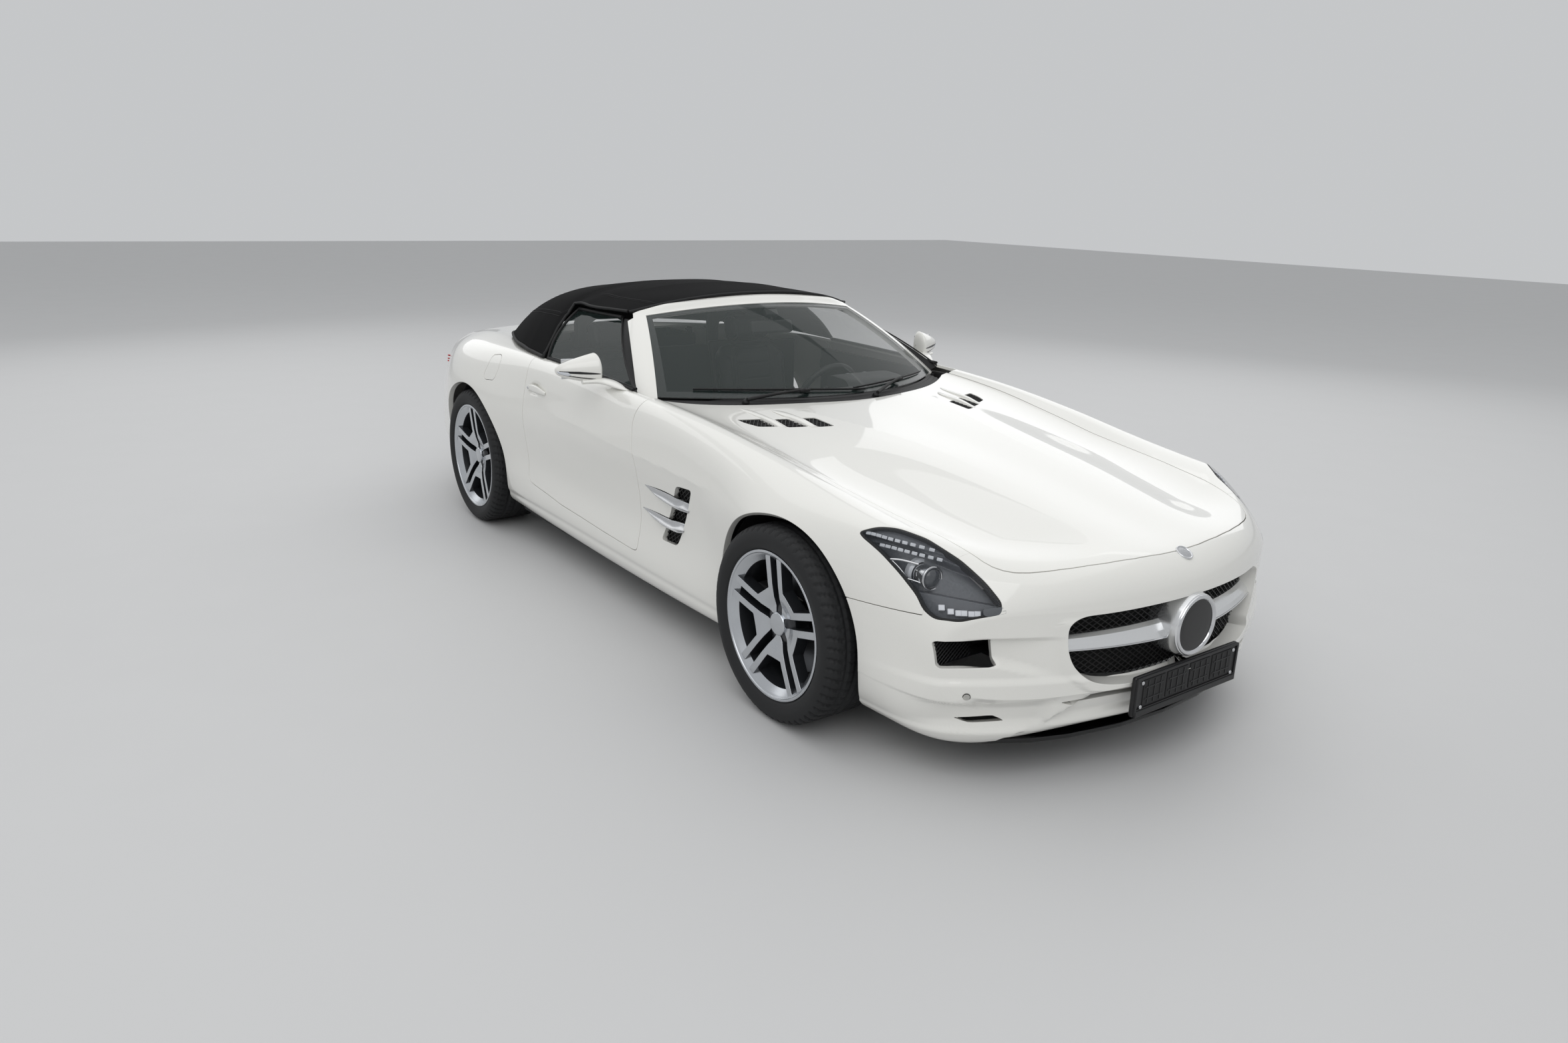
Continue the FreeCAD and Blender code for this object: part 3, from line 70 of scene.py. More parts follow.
def grain(made, scale, strength, depth=0.0005, stretch=(1, 1, 1), colours=None, rough=None):
    """Noise in object space for a material's bump and, if asked, its colour and roughness."""
    tree = made.node_tree
    shader = tree.nodes["Principled BSDF"]

    def add(kind, **values):
        fresh = tree.nodes.new(kind)
        for socket, value in values.items():
            if socket.replace("_", " ") in fresh.inputs:
                fresh.inputs[socket.replace("_", " ")].default_value = value
        return fresh

    place = add("ShaderNodeTexCoord")
    mapping = add("ShaderNodeMapping", Scale=stretch)
    texture = add("ShaderNodeTexNoise", Scale=scale, Detail=3.0)
    tree.links.new(place.outputs["Object"], mapping.inputs["Vector"])
    tree.links.new(mapping.outputs["Vector"], texture.inputs["Vector"])
    value = texture.outputs["Fac"]
    if strength:
        bump = add("ShaderNodeBump", Strength=strength, Distance=depth)
        tree.links.new(value, bump.inputs["Height"])
        for earlier in shader.inputs["Normal"].links[:1]:
            tree.links.new(earlier.from_socket, bump.inputs["Normal"])
        tree.links.new(bump.outputs["Normal"], shader.inputs["Normal"])
    if colours:
        ramp = add("ShaderNodeValToRGB")
        for stop, at, colour in zip(ramp.color_ramp.elements, (0.35, 0.65), colours):
            stop.position = at
            stop.color = srgb(colour)
        tree.links.new(value, ramp.inputs["Fac"])
        tree.links.new(ramp.outputs["Color"], shader.inputs["Base Color"])
    if rough:
        reach = add("ShaderNodeMapRange", To_Min=rough[0], To_Max=rough[1])
        tree.links.new(value, reach.inputs["Value"])
        tree.links.new(reach.outputs["Result"], shader.inputs["Roughness"])
    return made


def unit(vectors):
    return vectors / np.maximum(np.linalg.norm(vectors, axis=-1, keepdims=True), 1e-9)


def put(name, points, faces, body, materials, normals=None, picks=None, replaces=()):
    """Store a mesh given in millimetres as a piece that rides on a body."""
    mesh = bpy.data.meshes.new(name)
    groups = [np.asarray(group) for group in faces if len(group)]
    loops = np.concatenate([group.ravel() for group in groups]).astype(np.int32)
    counts = np.concatenate([np.full(len(group), group.shape[1]) for group in groups])
    starts = np.concatenate([[0], np.cumsum(counts)[:-1]]).astype(np.int32)
    mesh.vertices.add(len(points))
    mesh.vertices.foreach_set("co", (np.asarray(points) * 0.001).ravel().astype(np.float32))
    mesh.loops.add(len(loops))
    mesh.loops.foreach_set("vertex_index", loops)
    mesh.polygons.add(len(counts))
    mesh.polygons.foreach_set("loop_start", starts)
    for made in materials:
        mesh.materials.append(made)
    if picks is not None:
        mesh.polygons.foreach_set("material_index", np.concatenate(picks).astype(np.int32))
    mesh.polygons.foreach_set("use_smooth", np.ones(len(counts), dtype=bool))
    mesh.update(calc_edges=True)
    if normals is not None:
        mesh.normals_split_custom_set_from_vertices(unit(normals).tolist())
    piece = bpy.data.objects.new(name, mesh)
    scene.collection.objects.link(piece)
    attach(piece, body)
    if replaces:
        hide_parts(*replaces)
    return piece


def grid_faces(rows, columns, around=False):
    """Four-sided faces of a grid of points, closed across its columns if asked."""
    i, j = np.meshgrid(np.arange(rows - 1), np.arange(columns if around else columns - 1),
                       indexing="ij")
    k = (j + 1) % columns
    quads = np.stack([i * columns + j, i * columns + k, (i + 1) * columns + k,
                      (i + 1) * columns + j], axis=-1)
    return quads.reshape(-1, 4)


def dress(node, *materials):
    """Give a node of the frame its material."""
    mesh = bpy.data.objects[node].data
    mesh.materials.clear()
    for made in materials:
        mesh.materials.append(made)


# Body surface: the same feature lines as the frame's source. Each line gives station, half width
# and height; across the car they are joined by cubic curves over the girth.
TIP = 2319.0
NOSE_START = 2010
NOSE_BOW = 346.0
TAIL_BOW = 260.0
GIRTH = np.array([0, 330, 640, 800, 890, 980, 1110, 1310, 1480, 1620, 1900, 2300], float)
BODY_LINES = [
    [(-2010, 0, 721), (-1700, 0, 772), (-1400, 0, 812), (-1000, 0, 852), (-560, 0, 893),
     (0, 0, 915), (800, 0, 935), (1500, 0, 948), (1800, 0, 940), (2010, 0, 915)],
    [(-2010, 250, 722), (-1400, 300, 812), (-800, 370, 868), (-560, 400, 884),
     (800, 400, 932), (1500, 400, 944), (2010, 380, 908)],
    [(-2010, 600, 708), (-1700, 640, 745), (-1400, 665, 778), (-1000, 700, 832),
     (-560, 745, 878), (0, 760, 905), (800, 740, 925), (1500, 680, 938), (2010, 640, 896)],
    [(-2010, 795, 751), (-1700, 800, 776), (-1400, 805, 806), (-1000, 810, 858),
     (-700, 810, 890), (-400, 812, 907), (0, 815, 922), (640, 815, 932),
     (1269, 790, 935), (1600, 760, 925), (2010, 720, 880)],
    [(-2010, 855, 708), (-1700, 880, 738), (-1400, 892, 762), (-1000, 880, 815),
     (-400, 868, 880), (0, 868, 893), (640, 872, 905), (1000, 885, 905),
     (1269, 893, 895), (1600, 870, 880), (2010, 800, 835)],
    [(-2010, 885, 630), (-1700, 925, 668), (-1450, 945, 690), (-1000, 912, 720),
     (-400, 900, 770), (640, 905, 790), (1000, 930, 800), (1269, 945, 800),
     (1600, 930, 790), (2010, 850, 740)],
    [(-2010, 895, 540), (-1700, 940, 590), (-1450, 962, 620), (-1000, 915, 610),
     (-400, 908, 640), (300, 912, 655), (640, 922, 660), (1000, 955, 670),
     (1269, 969, 680), (1600, 958, 660), (2010, 880, 620)],
    [(-2010, 892, 400), (-1700, 925, 430), (-1450, 935, 440), (-1000, 895, 430),
     (-400, 880, 430), (300, 885, 430), (640, 900, 440), (1000, 935, 450),
     (1269, 955, 460), (1600, 948, 460), (2010, 885, 470)],
    [(-2010, 868, 250), (-1700, 885, 260), (-1450, 890, 265), (-1000, 895, 270),
     (-400, 900, 275), (640, 905, 280), (1000, 915, 290), (1269, 920, 300),
     (1600, 915, 310), (2010, 870, 320)],
    [(-2010, 800, 155), (-1700, 830, 165), (-1450, 840, 170), (-1000, 850, 165),
     (640, 855, 165), (1269, 860, 190), (1600, 850, 210), (2010, 800, 230)],
    [(-2010, 450, 150), (2010, 450, 230)],
    [(-2010, 0, 150), (2010, 0, 230)],
]
NOSE_ENDS = np.array([
    (0, 560, 8, 0.5), (220, 560, 8, 0.5), (500, 560, 5, 0.55), (700, 545, 1.7, 0.75),
    (765, 515, 1.7, 0.7), (790, 480, 2, 0.6), (797, 430, 2.5, 0.5), (790, 370, 3, 0.5),
    (765, 325, 5, 0.5), (690, 302, 8, 0.5), (380, 300, 8, 0.5), (0, 300, 8, 0.5)])
TAIL_ENDS = np.array([
    (0, 700, 3, 0.5), (300, 700, 3, 0.5), (560, 695, 3, 0.5), (690, 670, 2.5, 0.5),
    (745, 640, 2.3, 0.5), (772, 600, 2.3, 0.5), (780, 560, 2.5, 0.5), (778, 500, 3, 0.5),
    (760, 440, 4, 0.5), (700, 410, 6, 0.5), (400, 400, 6, 0.5), (0, 400, 6, 0.5)])
GRILLE_LOOP = np.array([(0, 552), (200, 550), (380, 545), (440, 538), (468, 520), (474, 490),
                        (470, 450), (455, 405), (430, 370), (380, 335), (200, 312), (0, 308)], float)
PLATE_LOOP = np.array([(0, 640), (140, 640), (250, 640), (268, 630), (272, 615), (272, 590),
                       (272, 560), (272, 530), (268, 505), (250, 500), (140, 500), (0, 500)], float)


def spline_matrix(knots, places, flat_start=False):
    """Matrix that turns values at the knots into a natural cubic curve at the places."""
    knots = np.asarray(knots, float)
    places = np.asarray(places, float)
    count = len(knots)
    if count == 2:
        share = (places - knots[0]) / (knots[1] - knots[0])
        return np.stack([1 - share, share], axis=1)
    step = np.diff(knots)
    left = np.eye(count)
    right = np.zeros((count, count))
    for i in range(1, count - 1):
        left[i, i - 1:i + 2] = step[i - 1], 2 * (step[i - 1] + step[i]), step[i]
        right[i, i - 1:i + 2] = 6 / step[i - 1], -6 / step[i - 1] - 6 / step[i], 6 / step[i]
    if flat_start:
        left[0, :2] = 2 * step[0], step[0]
        right[0, :2] = -6 / step[0], 6 / step[0]
    bend = np.linalg.solve(left, right)
    k = np.clip(np.searchsorted(knots, places) - 1, 0, count - 2)
    a = (knots[k + 1] - places) / step[k]
    b = (places - knots[k]) / step[k]
    row = np.arange(len(places))
    matrix = np.zeros((len(places), count))
    matrix[row, k] += a
    matrix[row, k + 1] += b
    lift = (step[k] ** 2 / 6)[:, None]
    return matrix + lift * ((a ** 3 - a)[:, None] * bend[k] + (b ** 3 - b)[:, None] * bend[k + 1])


RUN = np.arange(-NOSE_START, NOSE_START + 1)
WIDTHS, HEIGHTS = (np.stack([spline_matrix([p[0] for p in line], RUN) @ [p[k] for p in line]
                             for line in BODY_LINES], axis=1) for k in (1, 2))
ROUND = np.arange(0, 2301)
WIDE = spline_matrix(GIRTH, ROUND)
HIGH = spline_matrix(GIRTH, ROUND, flat_start=True)


def lookup(table, place):
    """Rows of a table at fractional places."""
    place = np.clip(place, 0, len(table) - 1.000001)
    low = place.astype(int)
    share = (place - low)[:, None]
    return table[low] * (1 - share) + table[low + 1] * share


def ease(t):
    t = np.clip(t, 0.0, 1.0)
    return t * t * (3 - 2 * t)


def bow(station):
    """How far the ends swing back at the car's full width."""
    return NOSE_BOW * ease((-1100 - station) / 1200) - TAIL_BOW * ease((station - 1300) / 1000)


def swing(x):
    return (np.abs(x) / 900) ** 2.1


def surface(station, girth):
    """Points of the body; stations past the tip run on to the grille or the plate recess."""
    station = np.asarray(station, float).ravel()
    girth = np.asarray(girth, float).ravel()
    along = np.clip(station, -TIP, TIP)
    inside = np.clip(along, -NOSE_START, NOSE_START)
    wide = lookup(WIDTHS, inside + NOSE_START)
    high = lookup(HEIGHTS, inside + NOSE_START)
    for sign, ends in ((-1, NOSE_ENDS), (1, TAIL_ENDS)):
        past = (along * sign - NOSE_START)[:, None]
        out = past[:, 0] > 0
        if not out.any():
            continue
        past = past[out]
        edge, near = (0, 1) if sign < 0 else (-1, -2)
        reach = np.minimum(past / (TIP - NOSE_START), 1.0)
        keep = (1 - reach ** ends[:, 2]) ** ends[:, 3]
        run_wide = wide[out] + (WIDTHS[edge] - WIDTHS[near]) * past
        run_high = high[out] + (HEIGHTS[edge] - HEIGHTS[near]) * past
        wide[out] = ends[:, 0] + keep * (run_wide - ends[:, 0])
        high[out] = ends[:, 1] + keep * (run_high - ends[:, 1])
    reach = np.abs(girth)
    x = (wide * lookup(WIDE, reach)).sum(axis=1)
    z = (high * lookup(HIGH, reach)).sum(axis=1)
    for sign, loop in ((-1, GRILLE_LOOP), (1, PLATE_LOOP)):
        share = np.maximum((station * sign - TIP) / 100.0, 0.0)
        far = lookup(WIDE, reach) @ loop
        x = x + (far[:, 0] - x) * share
        z = z + (far[:, 1] - z) * share
    y = along + bow(along) * swing(x)
    return np.stack([np.where(girth < 0, -x, x), y, z], axis=1)


def square(station, girth, step, at):
    """Outward direction of a surface from its slopes along and across."""
    across = at(station, girth + step) - at(station, girth - step)
    return unit(np.cross(across, at(station + step, girth) - at(station - step, girth)))


def skin(station, girth, relief=None, slopes=True):
    """Points of the body with a relief raised or sunk in it, and their outward directions."""
    def raised(s, g):
        flat = surface(s, g)
        if relief is None:
            return flat
        return flat + square(s, g, 1.0, surface) * relief(flat)[:, None]

    if not slopes:
        return raised(station, girth)
    return raised(station, girth), square(station, girth, 1.5, raised)


def seen(points, up):
    """Place seen from above (up is 1) or from the front (up is 2), the same for both sides."""
    return np.stack([np.abs(points[:, 0]), points[:, up]], axis=1)


def polygon_inside(points, outline):
    """Distance to a closed outline in a plane, positive inside it."""
    outline = np.asarray(outline, float)
    start = outline[None]
    end = np.roll(outline, -1, axis=0)[None]
    edge = end - start
    arm = points[:, None] - start
    share = np.clip((arm * edge).sum(2) / np.maximum((edge ** 2).sum(2), 1e-9), 0, 1)
    gap = np.linalg.norm(arm - edge * share[..., None], axis=2).min(axis=1)
    high = points[:, None, 1]
    crosses = (start[..., 1] > high) != (end[..., 1] > high)
    slope = edge[..., 0] / np.where(edge[..., 1] == 0, 1e-9, edge[..., 1])
    right = points[:, None, 0] < start[..., 0] + slope * (high - start[..., 1])
    inside = (crosses & right).sum(axis=1) % 2 == 1
    return np.where(inside, gap, -gap)


def rounded(outline, radius, steps=6):
    """The outline with every corner rounded."""
    outline = np.asarray(outline, float)
    before = np.roll(outline, 1, axis=0) - outline
    after = np.roll(outline, -1, axis=0) - outline
    length = np.minimum(np.linalg.norm(before, axis=1), np.linalg.norm(after, axis=1))
    back = np.minimum(radius, 0.48 * length)[:, None]
    first = outline + unit(before) * back
    last = outline + unit(after) * back
    t = np.linspace(0, 1, steps)[None, :, None]
    curve = (1 - t) ** 2 * first[:, None] + 2 * t * (1 - t) * outline[:, None] + t ** 2 * last[:, None]
    return curve.reshape(-1, 2)


def clip(places, corners, values):
    """Cut a net of triangles where the values pass zero and keep the positive side."""
    positive = values > 0
    count = positive[corners].sum(axis=1)
    whole = corners[count == 3]
    cut = corners[(count > 0) & (count < 3)]
    if not len(cut):
        return places, whole
    lone = positive[cut].sum(axis=1) == 1
    odd = np.where(lone[:, None], positive[cut], ~positive[cut]).argmax(axis=1)
    cut = np.take_along_axis(cut, (odd[:, None] + np.arange(3)) % 3, axis=1)
    a, b, c = cut.T
    edges = np.sort(np.stack([np.r_[a, a], np.r_[b, c]], axis=1), axis=1)
    unique, where = np.unique(edges, axis=0, return_inverse=True)
    where = where.ravel()
    v0, v1 = values[unique[:, 0]], values[unique[:, 1]]
    share = (v0 / (v0 - v1))[:, None]
    fresh = places[unique[:, 0]] * (1 - share) + places[unique[:, 1]] * share
    ab = len(places) + where[:len(a)]
    ac = len(places) + where[len(a):]
    two = ~lone
    parts = [whole, np.stack([a, ab, ac], axis=1)[lone], np.stack([ab, b, c], axis=1)[two],
             np.stack([ab, c, ac], axis=1)[two]]
    return np.concatenate([places, fresh]), np.concatenate(parts)


def net(rows, columns):
    """Triangles of a grid of points."""
    quads = grid_faces(rows, columns)
    return np.concatenate([quads[:, [0, 1, 2]], quads[:, [0, 2, 3]]])


def shell(shape, station, girth, trims=(), hem=10.0, flange=None, edge=1.3):
    """Trimmed skin with rounded, folded edges: points, normals, triangles and quads."""
    rows, columns = station.shape
    places = np.stack([station.ravel(), girth.ravel()], axis=1)
    places = np.concatenate([places, shape(places[:, 0], places[:, 1], slopes=False)], axis=1)
    corners = net(rows, columns)
    for trim in trims:
        places, corners = clip(places, corners, trim(places[:, 2:]))
    used, corners = np.unique(corners, return_inverse=True)
    corners = corners.reshape(-1, 3)
    places = places[used]
    points, normals = shape(places[:, 0], places[:, 1])
    a, b, c = points[corners].transpose(1, 0, 2)
    face_normal = np.cross(b - a, c - a)
    if (face_normal * normals[corners[:, 0]]).sum() < 0:
        corners = corners[:, ::-1]
    edges = np.concatenate([corners[:, [0, 1]], corners[:, [1, 2]], corners[:, [2, 0]]])
    unique, first, count = np.unique(np.sort(edges, axis=1), axis=0, return_index=True,
                                     return_counts=True)
    border = edges[first[count == 1]]
    ids, local = np.unique(border, return_inverse=True)
    local = local.reshape(-1, 2)
    along = unit(points[border[:, 1]] - points[border[:, 0]])
    side = np.cross(along, normals[border[:, 0]])
    outward = np.zeros((len(ids), 3))
    np.add.at(outward, local[:, 0], side)
    np.add.at(outward, local[:, 1], side)
    outward = unit(outward)
    rim = points[ids]
    rim_normal = normals[ids]
    depth = hem(rim) if callable(hem) else np.full(len(ids), float(hem))
    rings = [(0.7 * edge, 0.3 * edge), (edge, edge), (edge, depth)]
    looks = [unit(rim_normal + outward), outward, outward]
    if flange is not None:
        rings.append((edge + flange(rim), depth))
        looks.append(rim_normal)
    all_points = [points]
    all_normals = [normals]
    quads = []
    last = ids
    for (out, down), look in zip(rings, looks):
        out = np.broadcast_to(out, len(ids))[:, None]
        down = np.broadcast_to(down, len(ids))[:, None]
        base = sum(len(group) for group in all_points)
        fresh = base + np.arange(len(ids))
        all_points.append(rim + outward * out - rim_normal * down)
        all_normals.append(look)
        quads.append(np.stack([last[local[:, 1]], last[local[:, 0]], fresh[local[:, 0]],
                               fresh[local[:, 1]]], axis=1))
        last = fresh
    return (np.concatenate(all_points), np.concatenate(all_normals), corners,
            np.concatenate(quads))


def body_skin(relief=None):
    """Shape of the body's surface with a relief, for the shell function."""
    return lambda s, g, slopes=True: skin(s, g, relief, slopes)


def body_panel(name, station, girth, body, replaces, relief=None, **options):
    """Painted panel on the body surface."""
    points, normals, corners, quads = shell(body_skin(relief), station, girth, **options)
    return put(name, points, [corners, quads], body, [paint], normals, replaces=replaces)


def span(start, end, step):
    return np.linspace(start, end, max(2, int(round(abs(end - start) / step)) + 1))


def closing(start, count):
    """Stations from a start to the tip of the car, ever closer together."""
    return start + (TIP - start) * np.sin(np.linspace(0, math.pi / 2, count))


def mesh_grid(stations, girths):
    return np.meshgrid(stations, girths, indexing="ij")


def shape_of(at, facing, reach=0.5):
    """Shape for the shell function from a point function and the way it faces."""
    facing = np.array(facing, float)

    def shape(u, v, slopes=True):
        if not slopes:
            return at(u, v)
        normal = unit(np.cross(at(u + reach, v) - at(u - reach, v), at(u, v + reach) - at(u, v - reach)))
        return at(u, v), normal if (normal * facing).sum() > 0 else -normal
    return shape


def shell_part(shape, u, v, pick=0, **options):
    """Trimmed skin as a part of a piece, with its material's number."""
    points, normals, corners, quads = shell(shape, u, v, **options)
    return points, normals, [(corners, pick), (quads, pick)]


def put_parts(name, parts, body, materials, side=1, replaces=()):
    """Store several parts as one piece, mirrored to the car's right side when side is -1.

    Each group of faces is turned to agree with the outward directions of its points."""
    points, normals, faces, picks, base = [], [], [], [], 0
    for part_points, part_normals, groups in parts:
        for group, pick in groups:
            a, b, c = (part_points[group[:, k]] for k in (0, 1, 2))
            agree = (np.cross(b - a, c - a) * part_normals[group[:, 0]]).sum() * side
            faces.append((group if agree > 0 else group[:, ::-1]) + base)
            picks.append(np.full(len(group), pick))
        points.append(part_points * [side, 1, 1])
        normals.append(part_normals * [side, 1, 1])
        base += len(part_points)
    return put(name, np.concatenate(points), faces, body, materials, np.concatenate(normals),
               picks, replaces)


def pair(name, parts, body, materials, replaces=()):
    """Store parts on both sides; a name that ends in _ takes the side, others go with the left."""
    for side, body_side in SIDES:
        put_parts(name + body_side, parts, body + body_side * body.endswith("_"), materials, side,
                  [node + body_side * node.endswith("_") for node in replaces
                   if side > 0 or node.endswith("_")])


def patch(at, facing, u, v, reach=0.5, **options):
    """Trimmed skin over a grid of places, from a point function and the way it faces."""
    return shell_part(shape_of(at, facing, reach), *mesh_grid(u, v), **options)


def swept(rings, pick=0, caps=True):
    """Part through rings of points, with flat ends."""
    rings = np.asarray(rings, float)
    rows, columns = rings.shape[:2]
    around = np.roll(rings, -1, axis=1) - np.roll(rings, 1, axis=1)
    normals = unit(np.cross(np.gradient(rings, axis=0), around))
    middle = rings.mean(axis=1, keepdims=True)
    if (normals * (rings - middle)).sum() < 0:
        normals = -normals
    points = [rings.reshape(-1, 3)]
    looks = [normals.reshape(-1, 3)]
    faces = [grid_faces(rows, columns, around=True)]
    base = rows * columns
    if caps:
        for ring, inner in ((rings[0], rings[1]), (rings[-1], rings[-2])):
            out = unit(ring.mean(axis=0) - inner.mean(axis=0))
            points.append(np.concatenate([ring, ring.mean(axis=0)[None]]))
            looks.append(np.broadcast_to(out, (columns + 1, 3)))
            k = np.arange(columns)
            faces.append(np.stack([base + k, base + (k + 1) % columns, np.full(columns, base + columns)],
                                  axis=1))
            base += columns + 1
    return np.concatenate(points), np.concatenate(looks), [(group, pick) for group in faces]


def pipe(path, radius, pick=0, segments=12):
    """Round bar along a path; the radius may change along it."""
    path = np.asarray(path, float)
    along = unit(np.gradient(path, axis=0))
    first = unit(np.cross(along, [0.3, 0.2, 1.0]))
    second = np.cross(along, first)
    turn = np.linspace(0, 2 * math.pi, segments, endpoint=False)[None, :, None]
    radius = np.broadcast_to(radius, len(path))[:, None, None]
    rings = path[:, None] + radius * (np.cos(turn) * first[:, None] + np.sin(turn) * second[:, None])
    return swept(rings, pick)


def brick(centre, half, radius, axes=None, pick=0, steps=3):
    """Block with rounded edges: a small ball pulled apart along three axes."""
    axes = np.eye(3) if axes is None else np.asarray(axes, float)
    quarter = np.linspace(0, math.pi / 2, steps + 1)
    lon = np.concatenate([quarter + k * math.pi / 2 for k in range(4)])
    sign_x = np.repeat([1, -1, -1, 1], steps + 1)
    sign_y = np.repeat([1, 1, -1, -1], steps + 1)
    lat = np.concatenate([quarter - math.pi / 2, quarter])
    sign_z = np.repeat([-1, 1], steps + 1)
    lat, lon = np.meshgrid(lat, lon, indexing="ij")
    ball = np.stack([np.cos(lat) * np.cos(lon), np.cos(lat) * np.sin(lon), np.sin(lat)], axis=2)
    signs = np.stack([np.broadcast_to(sign_x, lat.shape), np.broadcast_to(sign_y, lat.shape),
                      np.broadcast_to(sign_z[:, None], lat.shape)], axis=2)
    core = np.asarray(half, float) - radius
    points = (ball * radius + signs * core).reshape(-1, 3)
    columns = 4 * (steps + 1)
    quads = grid_faces(2 * (steps + 1), columns, around=True)
    corner = np.arange(4) * (steps + 1)
    ends = [(corner[None], pick), (corner[None] + (2 * steps + 1) * columns, pick)]
    return points @ axes + np.array(centre, float), ball.reshape(-1, 3) @ axes, [(quads, pick)] + ends


def crossed_bars(outlines, margin, run, count, middle, pitch, rate, place, radius, skew=0.0):
    """Crossed round bars inside outlines of (across, along) points, brought to their place."""
    bars = []
    for lean in (1, -1):
        for number in range(-count, count + 1):
            along = np.linspace(*run)
            across = middle[0] + pitch * number + (lean * rate + skew) * (along - middle[1])
            for outline in outlines:
                inside = polygon_inside(np.stack([across, along], axis=1), outline) > margin
                if inside.sum() > 2:
                    bars.append(pipe(place(across[inside], along[inside], lean), radius, 0, 6))
    return bars


def rows_between(points, step):
    """Points along a broken line, close enough together for a smooth turn."""
    points = np.asarray(points, float)
    out = [points[:1]]
    for a, b in zip(points[:-1], points[1:]):
        count = max(1, int(round(np.linalg.norm(b - a) / step)))
        out.append(a + (b - a) * (np.arange(1, count + 1) / count)[:, None])
    return np.concatenate(out)


def soft_corners(points, radius, steps=4):
    """Open line with its corners rounded."""
    points = np.asarray(points, float)
    out = [points[:1]]
    for a, b, c in zip(points[:-2], points[1:-1], points[2:]):
        back = min(radius, 0.45 * np.linalg.norm(a - b), 0.45 * np.linalg.norm(c - b))
        first, last = b + unit(a - b) * back, b + unit(c - b) * back
        t = np.linspace(0, 1, steps)[:, None]
        out.append((1 - t) ** 2 * first + 2 * t * (1 - t) * b + t ** 2 * last)
    out.append(points[-1:])
    return np.concatenate(out)


def turned(profile, segments):
    """Ring of (across, radius) points turned round the axle: points and normals."""
    profile = np.asarray(profile, float)
    slope = np.gradient(profile, axis=0)
    normal = unit(np.stack([-slope[:, 1], slope[:, 0]], axis=1))
    turn = np.linspace(0, 2 * math.pi, segments, endpoint=False)
    return [np.stack([np.repeat(rows[:, :1], segments, axis=1), rows[:, 1:] * np.cos(turn),
                      rows[:, 1:] * np.sin(turn)], axis=2).reshape(-1, 3) for rows in (profile, normal)]


def round_part(profile, centre, axis, pick=0, segments=48, step=3.0):
    """Turned part: profile points give the distance along the axis and the radius."""
    rows = rows_between(profile, step)
    points, normals = turned(rows, segments)
    axis = unit(np.array(axis, float))
    side = unit(np.cross(axis, [0.1, 0.2, 1.0]))
    own = np.stack([axis, side, np.cross(axis, side)])
    quads = grid_faces(len(rows), segments, around=True)
    return points @ own + np.array(centre, float), normals @ own, [(quads, pick)]


def curve_through(points, count):
    """Smooth line through the given points."""
    points = np.asarray(points, float)
    knots = np.arange(len(points))
    return spline_matrix(knots, np.linspace(0, len(points) - 1, count)) @ points


def clear(name, colour, alpha, ior=1.7):
    """Thin clear pane: reflects like glass and tints what lies behind it."""
    made = material(name, colour, 0.01, sockets={"Alpha": alpha, "IOR": ior})
    return grain(made, 6.0, 0.0, rough=(0.0, 0.02))


# Paint: warm white with a faint pearl under a clear coat
paint = material("pearl_white", "E9E8E2", 0.32, sockets={"Coat Weight": 1.0, "Coat Roughness": 0.03,
                                                          "Coat IOR": 1.5})
grain(paint, 900.0, 0.02, 0.0002, colours=("E6E5DF", "EBEAE5"))
black_gloss = grain(material("black_gloss", "0B0B0C", 0.12), 240.0, 0.03, rough=(0.08, 0.2))
black_matte = grain(material("black_matte", "101011", 0.6), 700.0, 0.25, rough=(0.5, 0.7))
rubber_seal = grain(material("rubber_seal", "0C0C0D", 0.7), 500.0, 0.2, rough=(0.6, 0.8))
chrome = grain(material("chrome", "D8D9DB", 0.06, 1.0), 60.0, 0.0, rough=(0.04, 0.1))
silver = grain(material("silver_satin", "C9CACC", 0.25, 1.0), 300.0, 0.02, rough=(0.2, 0.3))

SHUT = 2.2
EDGE = 1.3
FLANGE = 14.0
ARCH_HEM = 24.0
FAR = 50.0


# Shutlines shared by neighbouring panels
def bonnet_side(station):
    return np.interp(station, [-2190, -1800, -1500, -1345, -1000, -790, -613, -380],
                     [686, 685, 672, 664, 668, 675, 675, 676])


def cowl_line(x):
    return -700 + 305 * (np.abs(x) / 740.0) ** 2


front_girths = np.array([0, 150, 300, 420, 520, 590, 630, 655, 672, 683, 687])
front_stations = np.array([-2247, -2247, -2247, -2247, -2247, -2247, -2245, -2240, -2230, -2214, -2190])
side_stations = np.linspace(-2170, -395, 40)
half = np.concatenate([surface(front_stations, front_girths)[:, :2],
                       surface(side_stations, bonnet_side(side_stations))[:, :2]])
cowl_x = np.linspace(half[-1, 0], 0, 24)
half = np.concatenate([half, np.stack([cowl_x, cowl_line(cowl_x)], axis=1)[1:]])
BONNET_OUTLINE = np.concatenate([half, (half * [-1, 1])[::-1][1:-1]])

LAMP_OUTLINE = np.array([(-1973, 872), (-2005, 823), (-2035, 778), (-2086, 741), (-2185, 729),
                         (-2259, 732), (-2304, 740), (-2317, 760), (-2314, 866), (-2290, 945),
                         (-2262, 950), (-2233, 922), (-2169, 903), (-2101, 891), (-2010, 883)])
LAMP_VIEW = unit(np.array([0.45, -0.62, 0.64]))
LAMP_ACROSS = unit(np.cross(LAMP_VIEW, [0, 0, 1]))
LAMP_UP = np.cross(LAMP_ACROSS, LAMP_VIEW)


